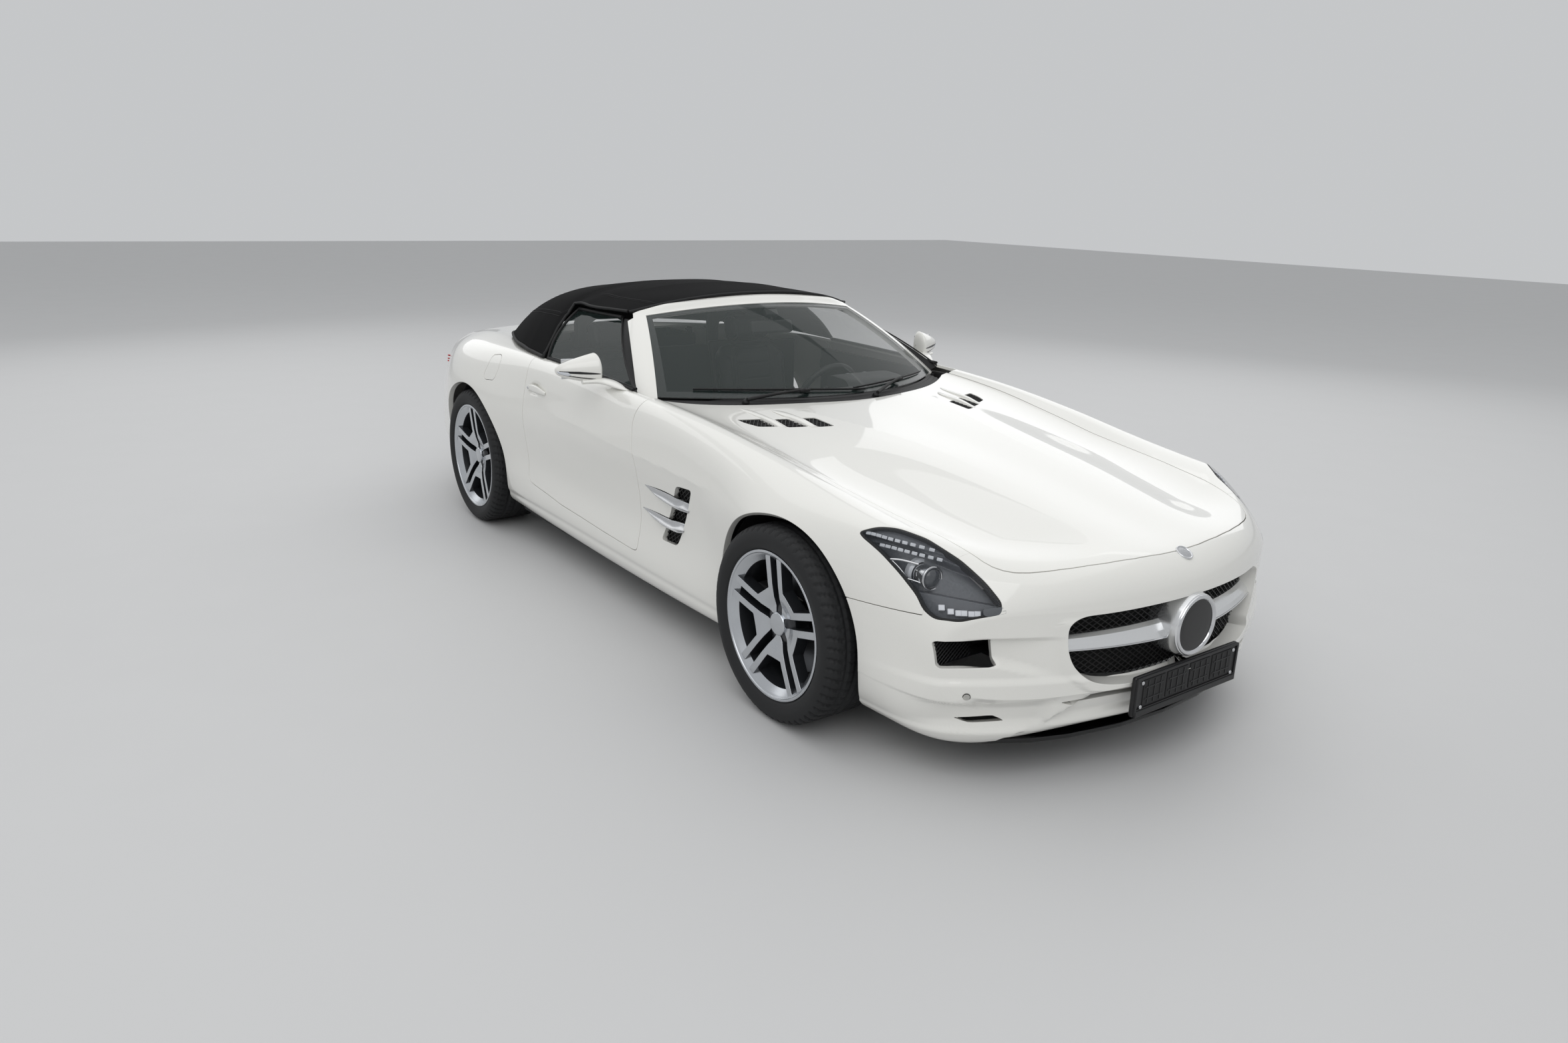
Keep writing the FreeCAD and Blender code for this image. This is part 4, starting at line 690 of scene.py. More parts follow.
def lamp_plane(points):
    """Place in the headlamp's own view plane, the same for both sides."""
    folded = np.concatenate([np.abs(points[:, :1]), points[:, 1:]], axis=1)
    return np.stack([folded @ LAMP_ACROSS, folded @ LAMP_UP], axis=1)


LAMP_POLYGON = rounded(lamp_plane(surface(LAMP_OUTLINE[:, 0], LAMP_OUTLINE[:, 1])), 18)


def off_lamp(points):
    far = -polygon_inside(lamp_plane(points), LAMP_POLYGON) - SHUT
    return np.where(points[:, 1] > -1600, FAR, far)


def off_bonnet(points):
    return -polygon_inside(points[:, :2], BONNET_OUTLINE) - SHUT - EDGE


def side_outline(outline, near=500.0, grow=0.0):
    """Trim that opens the sides of the car inside an outline of (along, height) points."""
    outline = np.asarray(outline, float)

    def trim(points):
        far = -polygon_inside(points[:, 1:], outline) - grow
        return np.where(np.abs(points[:, 0]) < near, FAR, far)
    return trim


def arch_trim(axle, height, radius, near=600.0):
    def trim(points):
        away = np.hypot(points[:, 1] - axle, points[:, 2] - height) - radius - EDGE
        return np.where(np.abs(points[:, 0]) < near, FAR, away)
    return trim


FRONT_ARCH = (-1411.0, 334.0, 373.0)
REAR_ARCH = (1269.0, 342.5, 381.0)
FRONT_AXLE, REAR_AXLE = FRONT_ARCH[0], REAR_ARCH[0]
front_arch = arch_trim(*FRONT_ARCH)
rear_arch = arch_trim(*REAR_ARCH)


def at_arch(points, axle, height, radius):
    """Whether points lie on the edge of a wheel arch."""
    return np.abs(np.hypot(points[:, 1] - axle, points[:, 2] - height) - radius) < 8


# Bonnet: one painted pressing, with three slanted slots on each side and faint creases
VENT_SLOTS = [np.array([(622, -704), (530, -742), (534, -776), (525, -856), (594, -816), (615, -760)]),
              np.array([(494, -771), (446, -796), (430, -920), (504, -880)]),
              np.array([(405, -818), (353, -845), (348, -968), (407, -943)])]
CREASE = np.array([(340, -760), (324, -822), (272, -991), (218, -1200), (186, -1415), (170, -1700)])


def line_gap(points, line):
    """Distance to an open line in plan, and the side it lies on."""
    start, end = line[:-1][None], line[1:][None]
    edge = end - start
    arm = points[:, None] - start
    share = np.clip((arm * edge).sum(2) / (edge ** 2).sum(2), 0, 1)
    off = arm - edge * share[..., None]
    gap = np.linalg.norm(off, axis=2)
    pick = gap.argmin(axis=1)
    row = np.arange(len(points))
    turn = (edge[0, pick, 0] * off[row, pick, 1] - edge[0, pick, 1] * off[row, pick, 0])
    return gap[row, pick] * np.sign(turn)


def bonnet_relief(points):
    off = line_gap(seen(points, 1), CREASE)
    fade = ease((points[:, 1] + 1900) / 900) * ease((-690 - points[:, 1]) / 120)
    return 2.4 * fade * np.exp(-np.abs(off) / 45.0)


def slot_trim(outline):
    smooth = rounded(outline, 9)
    return lambda points: -polygon_inside(seen(points, 1), smooth)


def bonnet_hem(points):
    return np.where(polygon_inside(points[:, :2], BONNET_OUTLINE) > 30, 4.0, 12.0)


def in_bonnet(points):
    return polygon_inside(points[:, :2], BONNET_OUTLINE) - EDGE


shares = np.linspace(0, 1, 200)
girths = np.linspace(-692, 692, 170)
rear = cowl_line(surface(np.full(170, -600.0), girths)[:, 0]) + 12
stations = -2256 + (rear[None] + 2256) * shares[:, None] ** 1.05
body_panel("bonnet_skin", stations, np.broadcast_to(girths, stations.shape), "bonnet", ["bonnet"],
           bonnet_relief, trims=[in_bonnet] + [slot_trim(slot) for slot in VENT_SLOTS], hem=bonnet_hem)


# Front wings: from the bonnet edge to the sill, open at the arch, the lamp and the side vent
VENT_OUTLINE = rounded([(-735, 643), (-856, 654), (-712, 398), (-588, 392)], 22)
JOINT_LINE = [(-2400, 575), (-2002, 549), (-1985, 542), (-1690, 527), (-1500, 527), (-1500, -50),
              (-2400, -50)]


def shoulder(points):
    """Crease along doors and wings, sharp at its line and soft below it."""
    y, z = points[:, 1], points[:, 2]
    line = np.interp(y, [-860, -388, 71, 520], [687, 701, 715, 724])
    fade = ease((560 - y) / 420) * ease((y + 1040) / 160) * (np.abs(points[:, 0]) > 700)
    off = z - line
    ridge = np.where(off > 0, np.exp(-off / 55.0), np.exp(off / 30.0))
    hollow = -5.0 * np.exp(-((off + 120) / 95.0) ** 2)
    return fade * (7.0 * ridge + hollow)


door_front = [(-417, 300), (-420, 376), (-428, 593), (-428, 662), (-397, 757), (-388, 794),
              (-384, 825), (-392, 862), (-404, 887), (-414, 930)]
DOOR_OUTLINE = rounded(door_front + [(-414, 1000), (640, 1000), (640, 352), (586, 341), (441, 328),
                                     (296, 314), (119, 309), (-130, 301), (-380, 296)], 26)


def off_door(points):
    far = -polygon_inside(points[:, 1:], DOOR_OUTLINE) - SHUT - EDGE
    return np.where(np.abs(points[:, 0]) < 600, FAR, far)


def door_flange(points):
    """Flange that closes the gap under a door's edge."""
    return np.where(np.abs(polygon_inside(points[:, 1:], DOOR_OUTLINE)) < 12, FLANGE, 0.0)


def bonnet_flange(points):
    return np.where(np.abs(polygon_inside(points[:, :2], BONNET_OUTLINE)) < 12, FLANGE, 0.0)


def wing_hem(points):
    vent = np.abs(polygon_inside(points[:, 1:], VENT_OUTLINE)) < 6
    return np.where(at_arch(points, *FRONT_ARCH), ARCH_HEM, np.where(vent, 22.0, 11.0))


for side, body_side in SIDES:
    stations, girths = mesh_grid(span(-2300, -360, 9),
                                 np.concatenate([span(650, 1050, 8), span(1058, 1478, 9)]))
    trims = [front_arch, off_lamp, off_bonnet, off_door, lambda p: p[:, 1] + 1983.6,
             side_outline(JOINT_LINE, grow=EDGE),
             side_outline(VENT_OUTLINE)]
    body_panel("wing_skin_" + body_side, stations, side * girths, "body", ["wing_" + body_side],
               shoulder, trims=trims, hem=wing_hem,
               flange=lambda p: np.maximum(door_flange(p), bonnet_flange(p)))


# Doors: outer skin with the shoulder crease and a hollow behind the flush handle
HANDLE = rounded([(606, 792), (575, 829), (449, 831), (425, 800), (470, 772), (590, 770)], 26)


def door_relief(points):
    inside = polygon_inside(points[:, 1:], HANDLE)
    cup = ease((inside + 3) / 14.0) * ease((points[:, 1] - 470) / 90.0)
    return shoulder(points) - 9.0 * cup


stations, girths = mesh_grid(span(-440, 648, 8.5), span(816, 1500, 7))
for side, body_side in SIDES:
    body_panel("door_skin_" + body_side, stations, side * girths, "door_" + body_side,
               ["door_" + body_side], door_relief, hem=13.0,
               trims=[lambda p: polygon_inside(p[:, 1:], DOOR_OUTLINE) - EDGE])


# Sills: skirt below the doors, with a shallow groove along it
def sill_relief(points):
    return -4.0 * np.exp(-((points[:, 2] - 232) / 14.0) ** 2)


def below_door(points):
    low = np.interp(points[:, 1], [-417, -130, 119, 296, 441, 586, 640],
                    [296, 301, 309, 314, 328, 341, 352])
    return np.maximum(low - 3.5, 291.5) - points[:, 2]


stations, girths = mesh_grid(span(-1090, 975, 10), span(1380, 1700, 7))
for side, body_side in SIDES:
    body_panel("sill_skin_" + body_side, stations, side * girths, "body", ["sills"] if side > 0 else [],
               sill_relief, trims=[front_arch, rear_arch, below_door], hem=12.0, flange=door_flange)

# Rear quarters: shoulder over the wheel, up to the top's hem and the boot lid
FLAP_OUTLINE = rounded([(1034, 892), (958, 904), (932, 890), (934, 828), (958, 780), (1054, 772),
                        (1071, 792), (1046, 850)], 22)


def quarter_inner(station):
    """Girth of the quarter's inner edge: from the belt line in to the boot lid."""
    return 818 - 228 * ease((station - 635) / 717)


def quarter_hem(points):
    return np.where(at_arch(points, *REAR_ARCH), ARCH_HEM, 11.0)


def off_flap(points):
    far = -polygon_inside(points[:, 1:], FLAP_OUTLINE) - 1.6
    return np.where(points[:, 0] > -600, FAR, far)


def above_sill(points):
    return np.where(points[:, 1] < 1000, points[:, 2] - 294.5, FAR)


line = span(600, 1950, 9)
inner = quarter_inner(line)[:, None]
low = np.broadcast_to(1500 + 190 * np.linspace(0, 1, 26)[1:], (len(line), 25))
girths = np.concatenate([inner + (1500 - inner) * np.linspace(0, 1, 110), low], axis=1)
stations = np.broadcast_to(line[:, None], girths.shape)
for side, body_side in SIDES:
    trims = [rear_arch, off_door, above_sill] + ([off_flap] if side < 0 else [])
    body_panel("quarter_skin_" + body_side, stations, side * girths, "body", ["quarter_" + body_side],
               trims=trims, hem=quarter_hem, flange=door_flange)

stations, girths = mesh_grid(span(886, 1106, 7), span(850, 1040, 6))
body_panel("fuel_flap_skin", stations, -girths, "fuel_flap", ["fuel_flap"],
           trims=[lambda p: polygon_inside(p[:, 1:], FLAP_OUTLINE) - 2.6], hem=8.0)

# Deck and boot lid
stations, girths = mesh_grid(span(1352, 1758, 9), span(-590, 590, 10))
body_panel("deck_skin", stations, girths, "body", ["rear_deck"], hem=11.0,
           flange=lambda p: np.where(p[:, 1] > 1600, 14.0, 0.0))
lid_stations = np.concatenate([span(1765, 2250, 9), closing(2250, 30)[1:-2]])
stations, girths = mesh_grid(lid_stations, span(-585, 585, 9))
body_panel("boot_skin", stations, girths, "boot_lid", ["boot_lid"],
           trims=[lambda p: p[:, 2] - 740], hem=11.0)

# Rear bumper: tail corners, lamp openings, plate recess and the cut for the diffuser
LAMP_REAR = rounded([(400, 712), (530, 716), (640, 735), (780, 762), (960, 800), (960, 742), (800, 690),
                     (640, 655), (420, 655)], 14)
DIFFUSER_CUT = [(-10, 397), (556, 397), (606, 100), (-10, 100)]


def tail_trim(points):
    lamp = np.where(points[:, 1] > 1980, -polygon_inside(seen(points, 2), LAMP_REAR), FAR)
    return np.minimum(lamp, -polygon_inside(seen(points, 2), DIFFUSER_CUT))


def off_lid(points):
    wide = np.interp(points[:, 1], [1700, 2000, 2200, 2320], [590, 582, 560, 545])
    return np.where(points[:, 2] > 737, np.abs(points[:, 0]) - wide - 3, FAR)


tail_stations = np.concatenate([span(1952, 2250, 8), closing(2250, 34)[1:], TIP + span(6, 100, 8)])
girth_half = np.concatenate([span(0, 560, 10), span(566, 1500, 8), span(1510, 1900, 12)])
stations, girths = mesh_grid(tail_stations, np.concatenate([-girth_half[:0:-1], girth_half]))
body_panel("tail_skin", stations, girths, "body", ["rear_bumper"], trims=[tail_trim, off_lid],
           hem=14.0, flange=lambda p: np.where(p[:, 2] > 700, 14.0, 0.0))

# Front bumper: upper band, hollows with the side intakes, shelf and lower lip
MOUTH = np.concatenate([GRILLE_LOOP, (GRILLE_LOOP * [-1, 1])[::-1]])
INTAKE = rounded([(652, 398), (664, 484), (815, 478), (806, 392)], 16)
SLOT = rounded([(600, 214), (640, 236), (742, 226), (700, 210)], 8)
CENTRE_SLOT = rounded([(-40, 262), (-40, 290), (300, 288), (478, 276), (430, 258), (300, 262)], 8)


def bumper_relief(points):
    """Scoops beside the intakes, the shelf with its sharp edge, the hollows below it, the lips."""
    x, z = np.abs(points[:, 0]), points[:, 2]
    ahead = points[:, 1] < -1750
    floor_line = 345 + 53 * np.clip((x - 480) / 172, 0, 1)
    scoop = -24 * ease((x - 462) / 185) * ease((760 - x) / 96) * ease((489 - z) / 18) * \
        ease((z - floor_line + 6) / 34)
    edge_high = np.interp(x, [0, 300, 500, 745, 830, 900], [300, 296, 290, 281, 288, 300])
    outer = ease((892 - x) / 110)
    shelf = 9.0 * ease((366 - z) / 26) * ease((z - edge_high) / 9) * outer
    below = ease((edge_high - z) / 13)
    hollow = -20 * below * ease((z - 176) / 44) * ease((846 - x) / 90) * ease((x - 470) / 60)
    wedge = 600 - 1.5 * (z - 150)
    centre = -24 * below * ease((wedge - x) / 46) * ease((z - 188) / 34)
    brim = 6.0 * ease((196 - z) / 16) * ease((x - wedge) / 12) * outer
    gap = -polygon_inside(np.stack([x, z], axis=1), MOUTH)
    lip = 5.0 * ease((34 - gap) / 9) * ease((545 - z) / 25) * (points[:, 1] < -2150)
    return (scoop + shelf + np.minimum(hollow, centre) + brim + lip) * ahead


def nose_trim(outline):
    return lambda points: np.where(points[:, 1] < -1850, -polygon_inside(seen(points, 2), outline), FAR)


def lower_trim(points):
    """Room for the steered tyres behind the bumper's foot, and for the holder in its middle."""
    wide = np.abs(points[:, 0])
    foot = np.where((wide > 440) & (points[:, 2] < 190), -1753.0 - points[:, 1], FAR)
    return np.where((points[:, 1] < -2100) & (wide < 90), points[:, 2] - 198, foot)


def off_wing(points):
    """Keep the bumper in front of its joint with the wings."""
    joint = [(-1985, 1200), (-1985, 539), (-1690, 524), (-1300, 524), (-1300, 1200)]
    return np.where(np.abs(points[:, 0]) < 600, FAR, -polygon_inside(points[:, 1:], joint) - 0.6)


def bumper_hem(points):
    plan = seen(points, 2)
    intake = np.abs(polygon_inside(plan, INTAKE)) < 8
    mouth = np.abs(polygon_inside(plan, MOUTH)) < 9
    slots = np.minimum(np.abs(polygon_inside(plan, SLOT)), np.abs(polygon_inside(plan, CENTRE_SLOT))) < 8
    front = points[:, 1] < -1900
    return np.select([at_arch(points, *FRONT_ARCH), intake & front, mouth & (points[:, 1] < -2180),
                      slots & front], [ARCH_HEM, 20.0, 60.0, 40.0], 11.0)


nose_stations = -np.concatenate([span(1690, 2010, 9), closing(2010, 64)[1:], TIP + span(5, 100, 6)])
girth_half = np.concatenate([span(0, 620, 8), span(626, 1620, 6), span(1632, 2300, 16)])
stations, girths = mesh_grid(nose_stations, np.concatenate([-girth_half[:0:-1], girth_half]))
body_panel("bumper_skin", stations, girths, "body", ["front_bumper"], bumper_relief,
           trims=[off_bonnet, off_lamp, off_wing, arch_trim(*FRONT_ARCH, near=440.0), nose_trim(INTAKE),
                  nose_trim(SLOT), nose_trim(CENTRE_SLOT), lower_trim],
           hem=bumper_hem, flange=bonnet_flange)


# Wheels: turned rim, five pairs of machined spokes joined in webs near the hub
tyre_rubber = grain(material("tyre_rubber", "17181A", 0.75), 350.0, 0.25, 0.0006,
                    colours=("131415", "1C1D1F"), rough=(0.6, 0.85))
machined = grain(material("machined_alloy", "C4C7CB", 0.24, 1.0), 900.0, 0.04, 0.0002,
                 stretch=(0.2, 1, 1), rough=(0.18, 0.32))
wheel_grey = grain(material("wheel_grey", "2B2D31", 0.38, 0.4, {"Coat Weight": 0.4}), 500.0, 0.05,
                   colours=("26282B", "303236"))
disc_metal = grain(material("disc_metal", "6E7074", 0.34, 1.0), 420.0, 0.1, 0.0003,
                   rough=(0.25, 0.5))
caliper_grey = grain(material("caliper_grey", "3A3B3D", 0.5, 0.3), 300.0, 0.2,
                     colours=("333436", "444547"))


TYRE_SEGMENTS = 420
TRACK_OUTER = 958.0


def spoke_field(plane, bead):
    """Distance field of the spokes in the wheel's face, positive on metal."""
    radius = np.hypot(plane[:, 0], plane[:, 1])
    best = np.full(len(plane), -1e3)
    for number in range(5):
        turn = 2 * math.pi * number / 5 + math.pi / 2
        (along, across), (out, aside) = (
            (plane @ [math.cos(a), math.sin(a)], np.abs(plane @ [-math.sin(a), math.cos(a)]))
            for a in (turn, turn + math.pi / 5))
        reach = np.clip((along - 60) / (bead - 60), 0, 1)
        arm = np.minimum(10.5 + reach - np.abs(across - 27.0 - 3.5 * reach), along - 36)
        best = np.maximum(best, arm)
        web = np.minimum(118.0 - out, out - 30)
        web = np.minimum(web, 0.81 * (out * math.tan(math.pi / 5) - aside) - 17.5)
        best = np.maximum(best, web)
    return np.minimum(best, bead - 9 - radius)


def face_depth(radius, half, bead):
    """How far out of the wheel's middle its face lies at a radius."""
    return np.interp(radius, [0, 62, 95, 140, bead - 24, bead],
                     [half - 40, half - 38, half - 27, half - 19, half - 9, half - 8])


def wheel_face(half, bead, back=0.0):
    """Shape of the wheel's face for the shell function, moved back by a distance."""
    def shape(y, z, slopes=True):
        radius = np.hypot(y, z)
        points = np.stack([face_depth(radius, half, bead) - back, y, z], axis=1)
        if not slopes:
            return points
        slope = (face_depth(radius + 2, half, bead) - face_depth(radius - 2, half, bead)) / 4
        slope = slope / np.maximum(radius, 1)
        return points, unit(np.stack([np.ones(len(y)), -slope * y, -slope * z], axis=1))
    return shape


for end, axle, width, radius, bead in (("front", FRONT_AXLE, 265.0, 334.0, 252.0),
                                       ("rear", REAR_AXLE, 295.0, 342.5, 264.0)):
    middle = TRACK_OUTER - width / 2
    half = width / 2 - 12

    across_grid, up_grid = mesh_grid(span(-bead, bead, 3.6), span(-bead, bead, 3.6))
    spokes = shell_part(wheel_face(half, bead), across_grid, up_grid, hem=1.6, edge=1.0,
                        trims=[lambda p: spoke_field(p[:, 1:], bead)])
    deep = shell_part(wheel_face(half, bead, 1.6), across_grid, up_grid, pick=1, hem=40.0, edge=0.4,
                      trims=[lambda p: spoke_field(p[:, 1:], bead) + 0.95])

    lip = soft_corners([(half - 26, bead - 36), (half - 8, bead - 16), (half - 3, bead - 9), (half, bead - 8),
                        (half + 1, bead - 3), (half, bead + 1), (half - 6, bead + 1.5)], 3)
    barrel = soft_corners([(-half, bead - 6), (-half + 18, bead - 24), (-half + 90, bead - 40),
                           (half - 60, bead - 42), (half - 26, bead - 36)], 12)
    back = soft_corners([(half - 8, bead), (half - 22, bead - 10), (half - 50, bead - 30),
                         (-half + 22, bead - 14), (-half + 8, bead), (-half, bead), (-half, bead - 6)], 6)
    cap = soft_corners([(half - 42, 40), (half - 33, 40), (half - 29, 36), (half - 27, 20),
                        (half - 26.5, 0.1)], 3)
    drum = soft_corners([(10, 30), (10, 78), (half - 52, 76), (half - 44, 62), (half - 42, 38)], 5)
    disc_radius = 180.0 if end == "front" else 175.0
    bolt = soft_corners([(half - 52, 13), (half - 41, 13), (half - 40, 11), (half - 40, 7), (half - 46, 6.5),
                         (half - 46, 0.1)], 1.5)
    rotor = soft_corners([(-24.7, 80), (-24.7, disc_radius - 1), (-23, disc_radius), (5, disc_radius),
                          (6.7, disc_radius - 1), (6.7, 80)], 1)
    parts = [spokes, deep]
    for profile, pick, segments in ((lip[::-1], 0, 180), (barrel[::-1], 1, 120), (back[::-1], 1, 120),
                                    (cap, 0, 48), (drum, 1, 60), (rotor, 2, 120)):
        rows = rows_between(profile, 9)
        parts.append((*turned(rows, segments), [(grid_faces(len(rows), segments, around=True), pick)]))
    for number in range(5):
        turn = 2 * math.pi * (number + 0.5) / 5 + math.pi / 2
        points, normals = turned(bolt, 18)
        points = points + [0, 57 * math.cos(turn), 57 * math.sin(turn)]
        parts.append((points, normals, [(grid_faces(len(bolt), 18, around=True), 1)]))

    flank = soft_corners([(-width / 2 + 17, bead + 1.5), (-width / 2 + 8, bead + 9), (-width / 2, bead + 36),
                          (-width / 2 + 4, radius - 24), (-width / 2 + 15, radius - 8),
                          (-width / 2 + 36, radius - 1), (-width / 4, radius), (0, radius)], 14, 6)
    flank = rows_between(flank, 6)
    outline = np.concatenate([flank, (flank * [-1, 1])[::-1][1:]])
    tyre_points, tyre_normals = turned(outline, TYRE_SEGMENTS)
    ring = tyre_points.reshape(len(outline), TYRE_SEGMENTS, 3)
    across_tyre = outline[:, :1]
    round_tyre = np.arange(TYRE_SEGMENTS)[None]
    groove = np.zeros((len(outline), TYRE_SEGMENTS))
    for place in (-0.23, -0.08, 0.08, 0.23):
        groove = np.maximum(groove, ease(1.6 - np.abs(across_tyre - place * width) / 4.5))
    slant = (round_tyre + np.abs(across_tyre) * 0.07) % 7
    outer = ease((np.abs(across_tyre) - 0.26 * width) / 6) * ease((width / 2 - 3 - np.abs(across_tyre)) / 6)
    groove = np.maximum(groove, outer * (slant < 1.6))
    groove = np.maximum(groove, (np.abs(np.abs(across_tyre) - 0.155 * width) < 12) * (slant < 1.0) * 0.6)
    sink = 5.5 * groove * (outline[:, 1:] > radius - 22)
    rib = 0.8 * (np.abs(outline[:, 1:] - bead - 22) < 3)
    ring = ring + tyre_normals.reshape(ring.shape) * (rib - sink)[..., None]

    for side, body_side in SIDES:
        place = np.array([side * middle, axle, radius])
        moved = [(points + place * [side, 1, 1], normals, groups) for points, normals, groups in parts]
        name = end + "_" + body_side
        put_parts("wheel_" + name + "_dressed", moved, "wheel_" + name,
                  [machined, wheel_grey, disc_metal], side, ["wheel_" + name])
        quads = grid_faces(len(outline), TYRE_SEGMENTS, around=True)
        put("tyre_" + name + "_dressed", ring.reshape(-1, 3) * [side, 1, 1] + place,
            [quads[:, ::-1] if side > 0 else quads], "wheel_" + name, [tyre_rubber],
            replaces=["tyre_" + name])


# Headlamps: a clear cover sealed over a dark stepped bowl with light strips, a projector in a
# chrome ring and a row of small reflectors; the washer's cap is flush in its lower inner corner
LAMP_INWARD = unit(np.array([-0.661, 0.672, -0.333]))
lamp_bowl = grain(material("lamp_bowl", "55585D", 0.34, 0.25), 160.0, 0.03, colours=("4E5156", "5C5F64"),
                  rough=(0.28, 0.42))
lamp_strip = grain(material("lamp_strip", "D4D7DC", 0.2, 0.2), 300.0, 0.1, rough=(0.12, 0.3))
lamp_lens = grain(material("lamp_lens", "34383E", 0.03, sockets={"Coat Weight": 1.0}), 90.0, 0.0,
                  rough=(0.02, 0.06))
lamp_cover = clear("lamp_cover", "50545A", 0.16)
lamp_cap = grain(material("lamp_cap", "54575B", 0.4), 400.0, 0.05, colours=("505357", "585B5F"))


def lamp_at(places, depth):
    """Points in the lamp at a depth behind its cover, from stations and girths."""
    return surface(*np.asarray(places, float).T) + LAMP_INWARD * np.reshape(depth, (-1, 1))


def lamp_line(points, start, end):
    """Distance above a line across the lamp, seen along its view direction."""
    a, b = lamp_plane(surface([start[0], end[0]], [start[1], end[1]]))
    along = unit(b - a)
    off = lamp_plane(points) - a
    return along[0] * off[:, 1] - along[1] * off[:, 0]


def bowl_relief(points):
    """Steps for the two light strips, a deep room for the projector and a shelf below it."""
    step = lamp_line(points, (-2060, 862), (-2150, 742))
    room = lamp_line(points, (-2045, 838), (-2190, 742))
    shelf = lamp_line(points, (-2215, 925), (-2300, 755))
    depth = 13 + 8 * ease((3 - step) / 6) + 27 * ease((3 - room) / 7) - 22 * ease((3 - shelf) / 8)
    return -depth


def in_lamp(points):
    return polygon_inside(lamp_plane(points), LAMP_POLYGON)


lamp_grid = mesh_grid(span(-2326, -1962, 4), span(720, 960, 3.4))
CAP_POLYGON = rounded(lamp_plane(surface([-2306, -2309, -2317, -2317], [785, 744, 744, 797])), 5)


def sunk(depth):
    return lambda points: np.full(len(points), -depth)


def on_cap(points):
    return polygon_inside(lamp_plane(points), CAP_POLYGON)


seal = shell_part(body_skin(sunk(0.8)), *lamp_grid, hem=30.0, edge=0.4,
                  trims=[lambda p: in_lamp(p) - 0.3, lambda p: 5.2 - in_lamp(p)])
bowl = shell_part(body_skin(bowl_relief), *lamp_grid, pick=1, trims=[lambda p: in_lamp(p) - 4.0], hem=2.0)
cover = shell_part(body_skin(), *lamp_grid, hem=2.0, edge=0.5,
                   trims=[lambda p: in_lamp(p) - 5.5, lambda p: -on_cap(p) - 1.5])
cap = shell_part(body_skin(), *lamp_grid, pick=5, trims=[on_cap], hem=9.0, edge=0.5)
LENS = ((757.0, -1952.0, 630.0), (0.1, -1, 0.05))
lamp_parts = [seal, bowl, cap,
              round_part([(-66, 33), (-4, 33), (-2, 36.5), (2.5, 37.5), (4, 36), (4, 31), (-3, 29)],
                         *LENS, 2, 60),
              round_part([(-3, 29), (4, 26), (9, 19), (12, 10), (12.6, 0.1)], *LENS, 4, 48),
              round_part([(-74, 45), (-58, 44), (-52, 36)], *LENS, 3, 40)]
for start, middle, end, depth, shares in (
        ((-2005, 862), (-2088, 826), (-2150, 758), 9, np.linspace(0.02, 0.98, 10)),
        ((-2072, 872), (-2138, 826), (-2188, 762), 16, np.linspace(0.05, 0.95, 9))):
    way = curve_through([start, middle, end], 200)
    for share in shares:
        first = int(share * 190)
        a, b = lamp_at(way[[first, first + 9]], depth)
        along = unit(b - a)
        out = unit(-LAMP_INWARD - along * (-LAMP_INWARD @ along))
        lamp_parts.append(brick((a + b) / 2, (8.5, 5.0, 3.0), 2.0, [along, np.cross(out, along), out], 3))
for places, depth, wide in ((((-2128, 886), (-2150, 862), (-2181, 832)), (12, 16, 22), 4.2),
                            (((-2128, 886), (-2160, 889), (-2193, 899)), (12, 20, 26), 2.6),
                            (((-2193, 899), (-2208, 886), (-2224, 872)), (22, 24, 28), 3.0)):
    lamp_parts.append(pipe(curve_through(lamp_at(places, depth), 16), wide, 2, 8))
for s, g in ((-2283, 885), (-2296, 868), (-2303, 850), (-2306, 836), (-2310, 820), (-2312, 806)):
    spot = lamp_at([(s, g)], [16.0])[0]
    lamp_parts.append(brick(spot, (9.5, 9.0, 5.0), 2.2, [LAMP_ACROSS, LAMP_UP, LAMP_VIEW], 3))
pair("headlamp_", lamp_parts, "body",
     [black_matte, lamp_bowl, chrome, lamp_strip, lamp_lens, lamp_cap], ["headlamps"])
pair("headlamp_cover_", [cover], "body", [lamp_cover])


# Grille: crossed black bars in the mouth, a painted wing with a bright lower edge, and a plain
# black disc in a chrome ring on a painted drum
mesh_black = grain(material("mesh_black", "0A0A0B", 0.32), 300.0, 0.05, rough=(0.25, 0.4))
# Near-black rough sheet material: painted shade for the dark space behind the grille, intakes and vents and
# inside the exhaust tips.
painted_shade_black = grain(material("painted_shade_black", "020202", 0.9), 300.0, 0.1, colours=("010101", "040404"))


def mouth_y(x, depth):
    return depth - TIP + NOSE_BOW * swing(x)


def mouth_place(depth):
    """Place function at a depth behind the nose's foremost line."""
    return lambda x, z, lean=0: np.stack([x, mouth_y(x, depth + 2 * lean), z], axis=1)


bars = crossed_bars([MOUTH], 2, (300, 556, 30), 24, (0, 430), 27.0, 27.0 / 19.0, mouth_place(50), 1.5)
put_parts("grille_mesh_bars", bars, "body", [mesh_black], replaces=["grille_mesh"])
# Black sheet far behind the bars: painted shade for the space inside the mouth.
put_parts("grille_back", [patch(mouth_place(80), (0, -1, 0), span(-480, 480, 12), span(296, 560, 12), hem=3.0,
                                trims=[lambda p: polygon_inside(p[:, [0, 2]], MOUTH) + 6])],
          "body", [painted_shade_black])

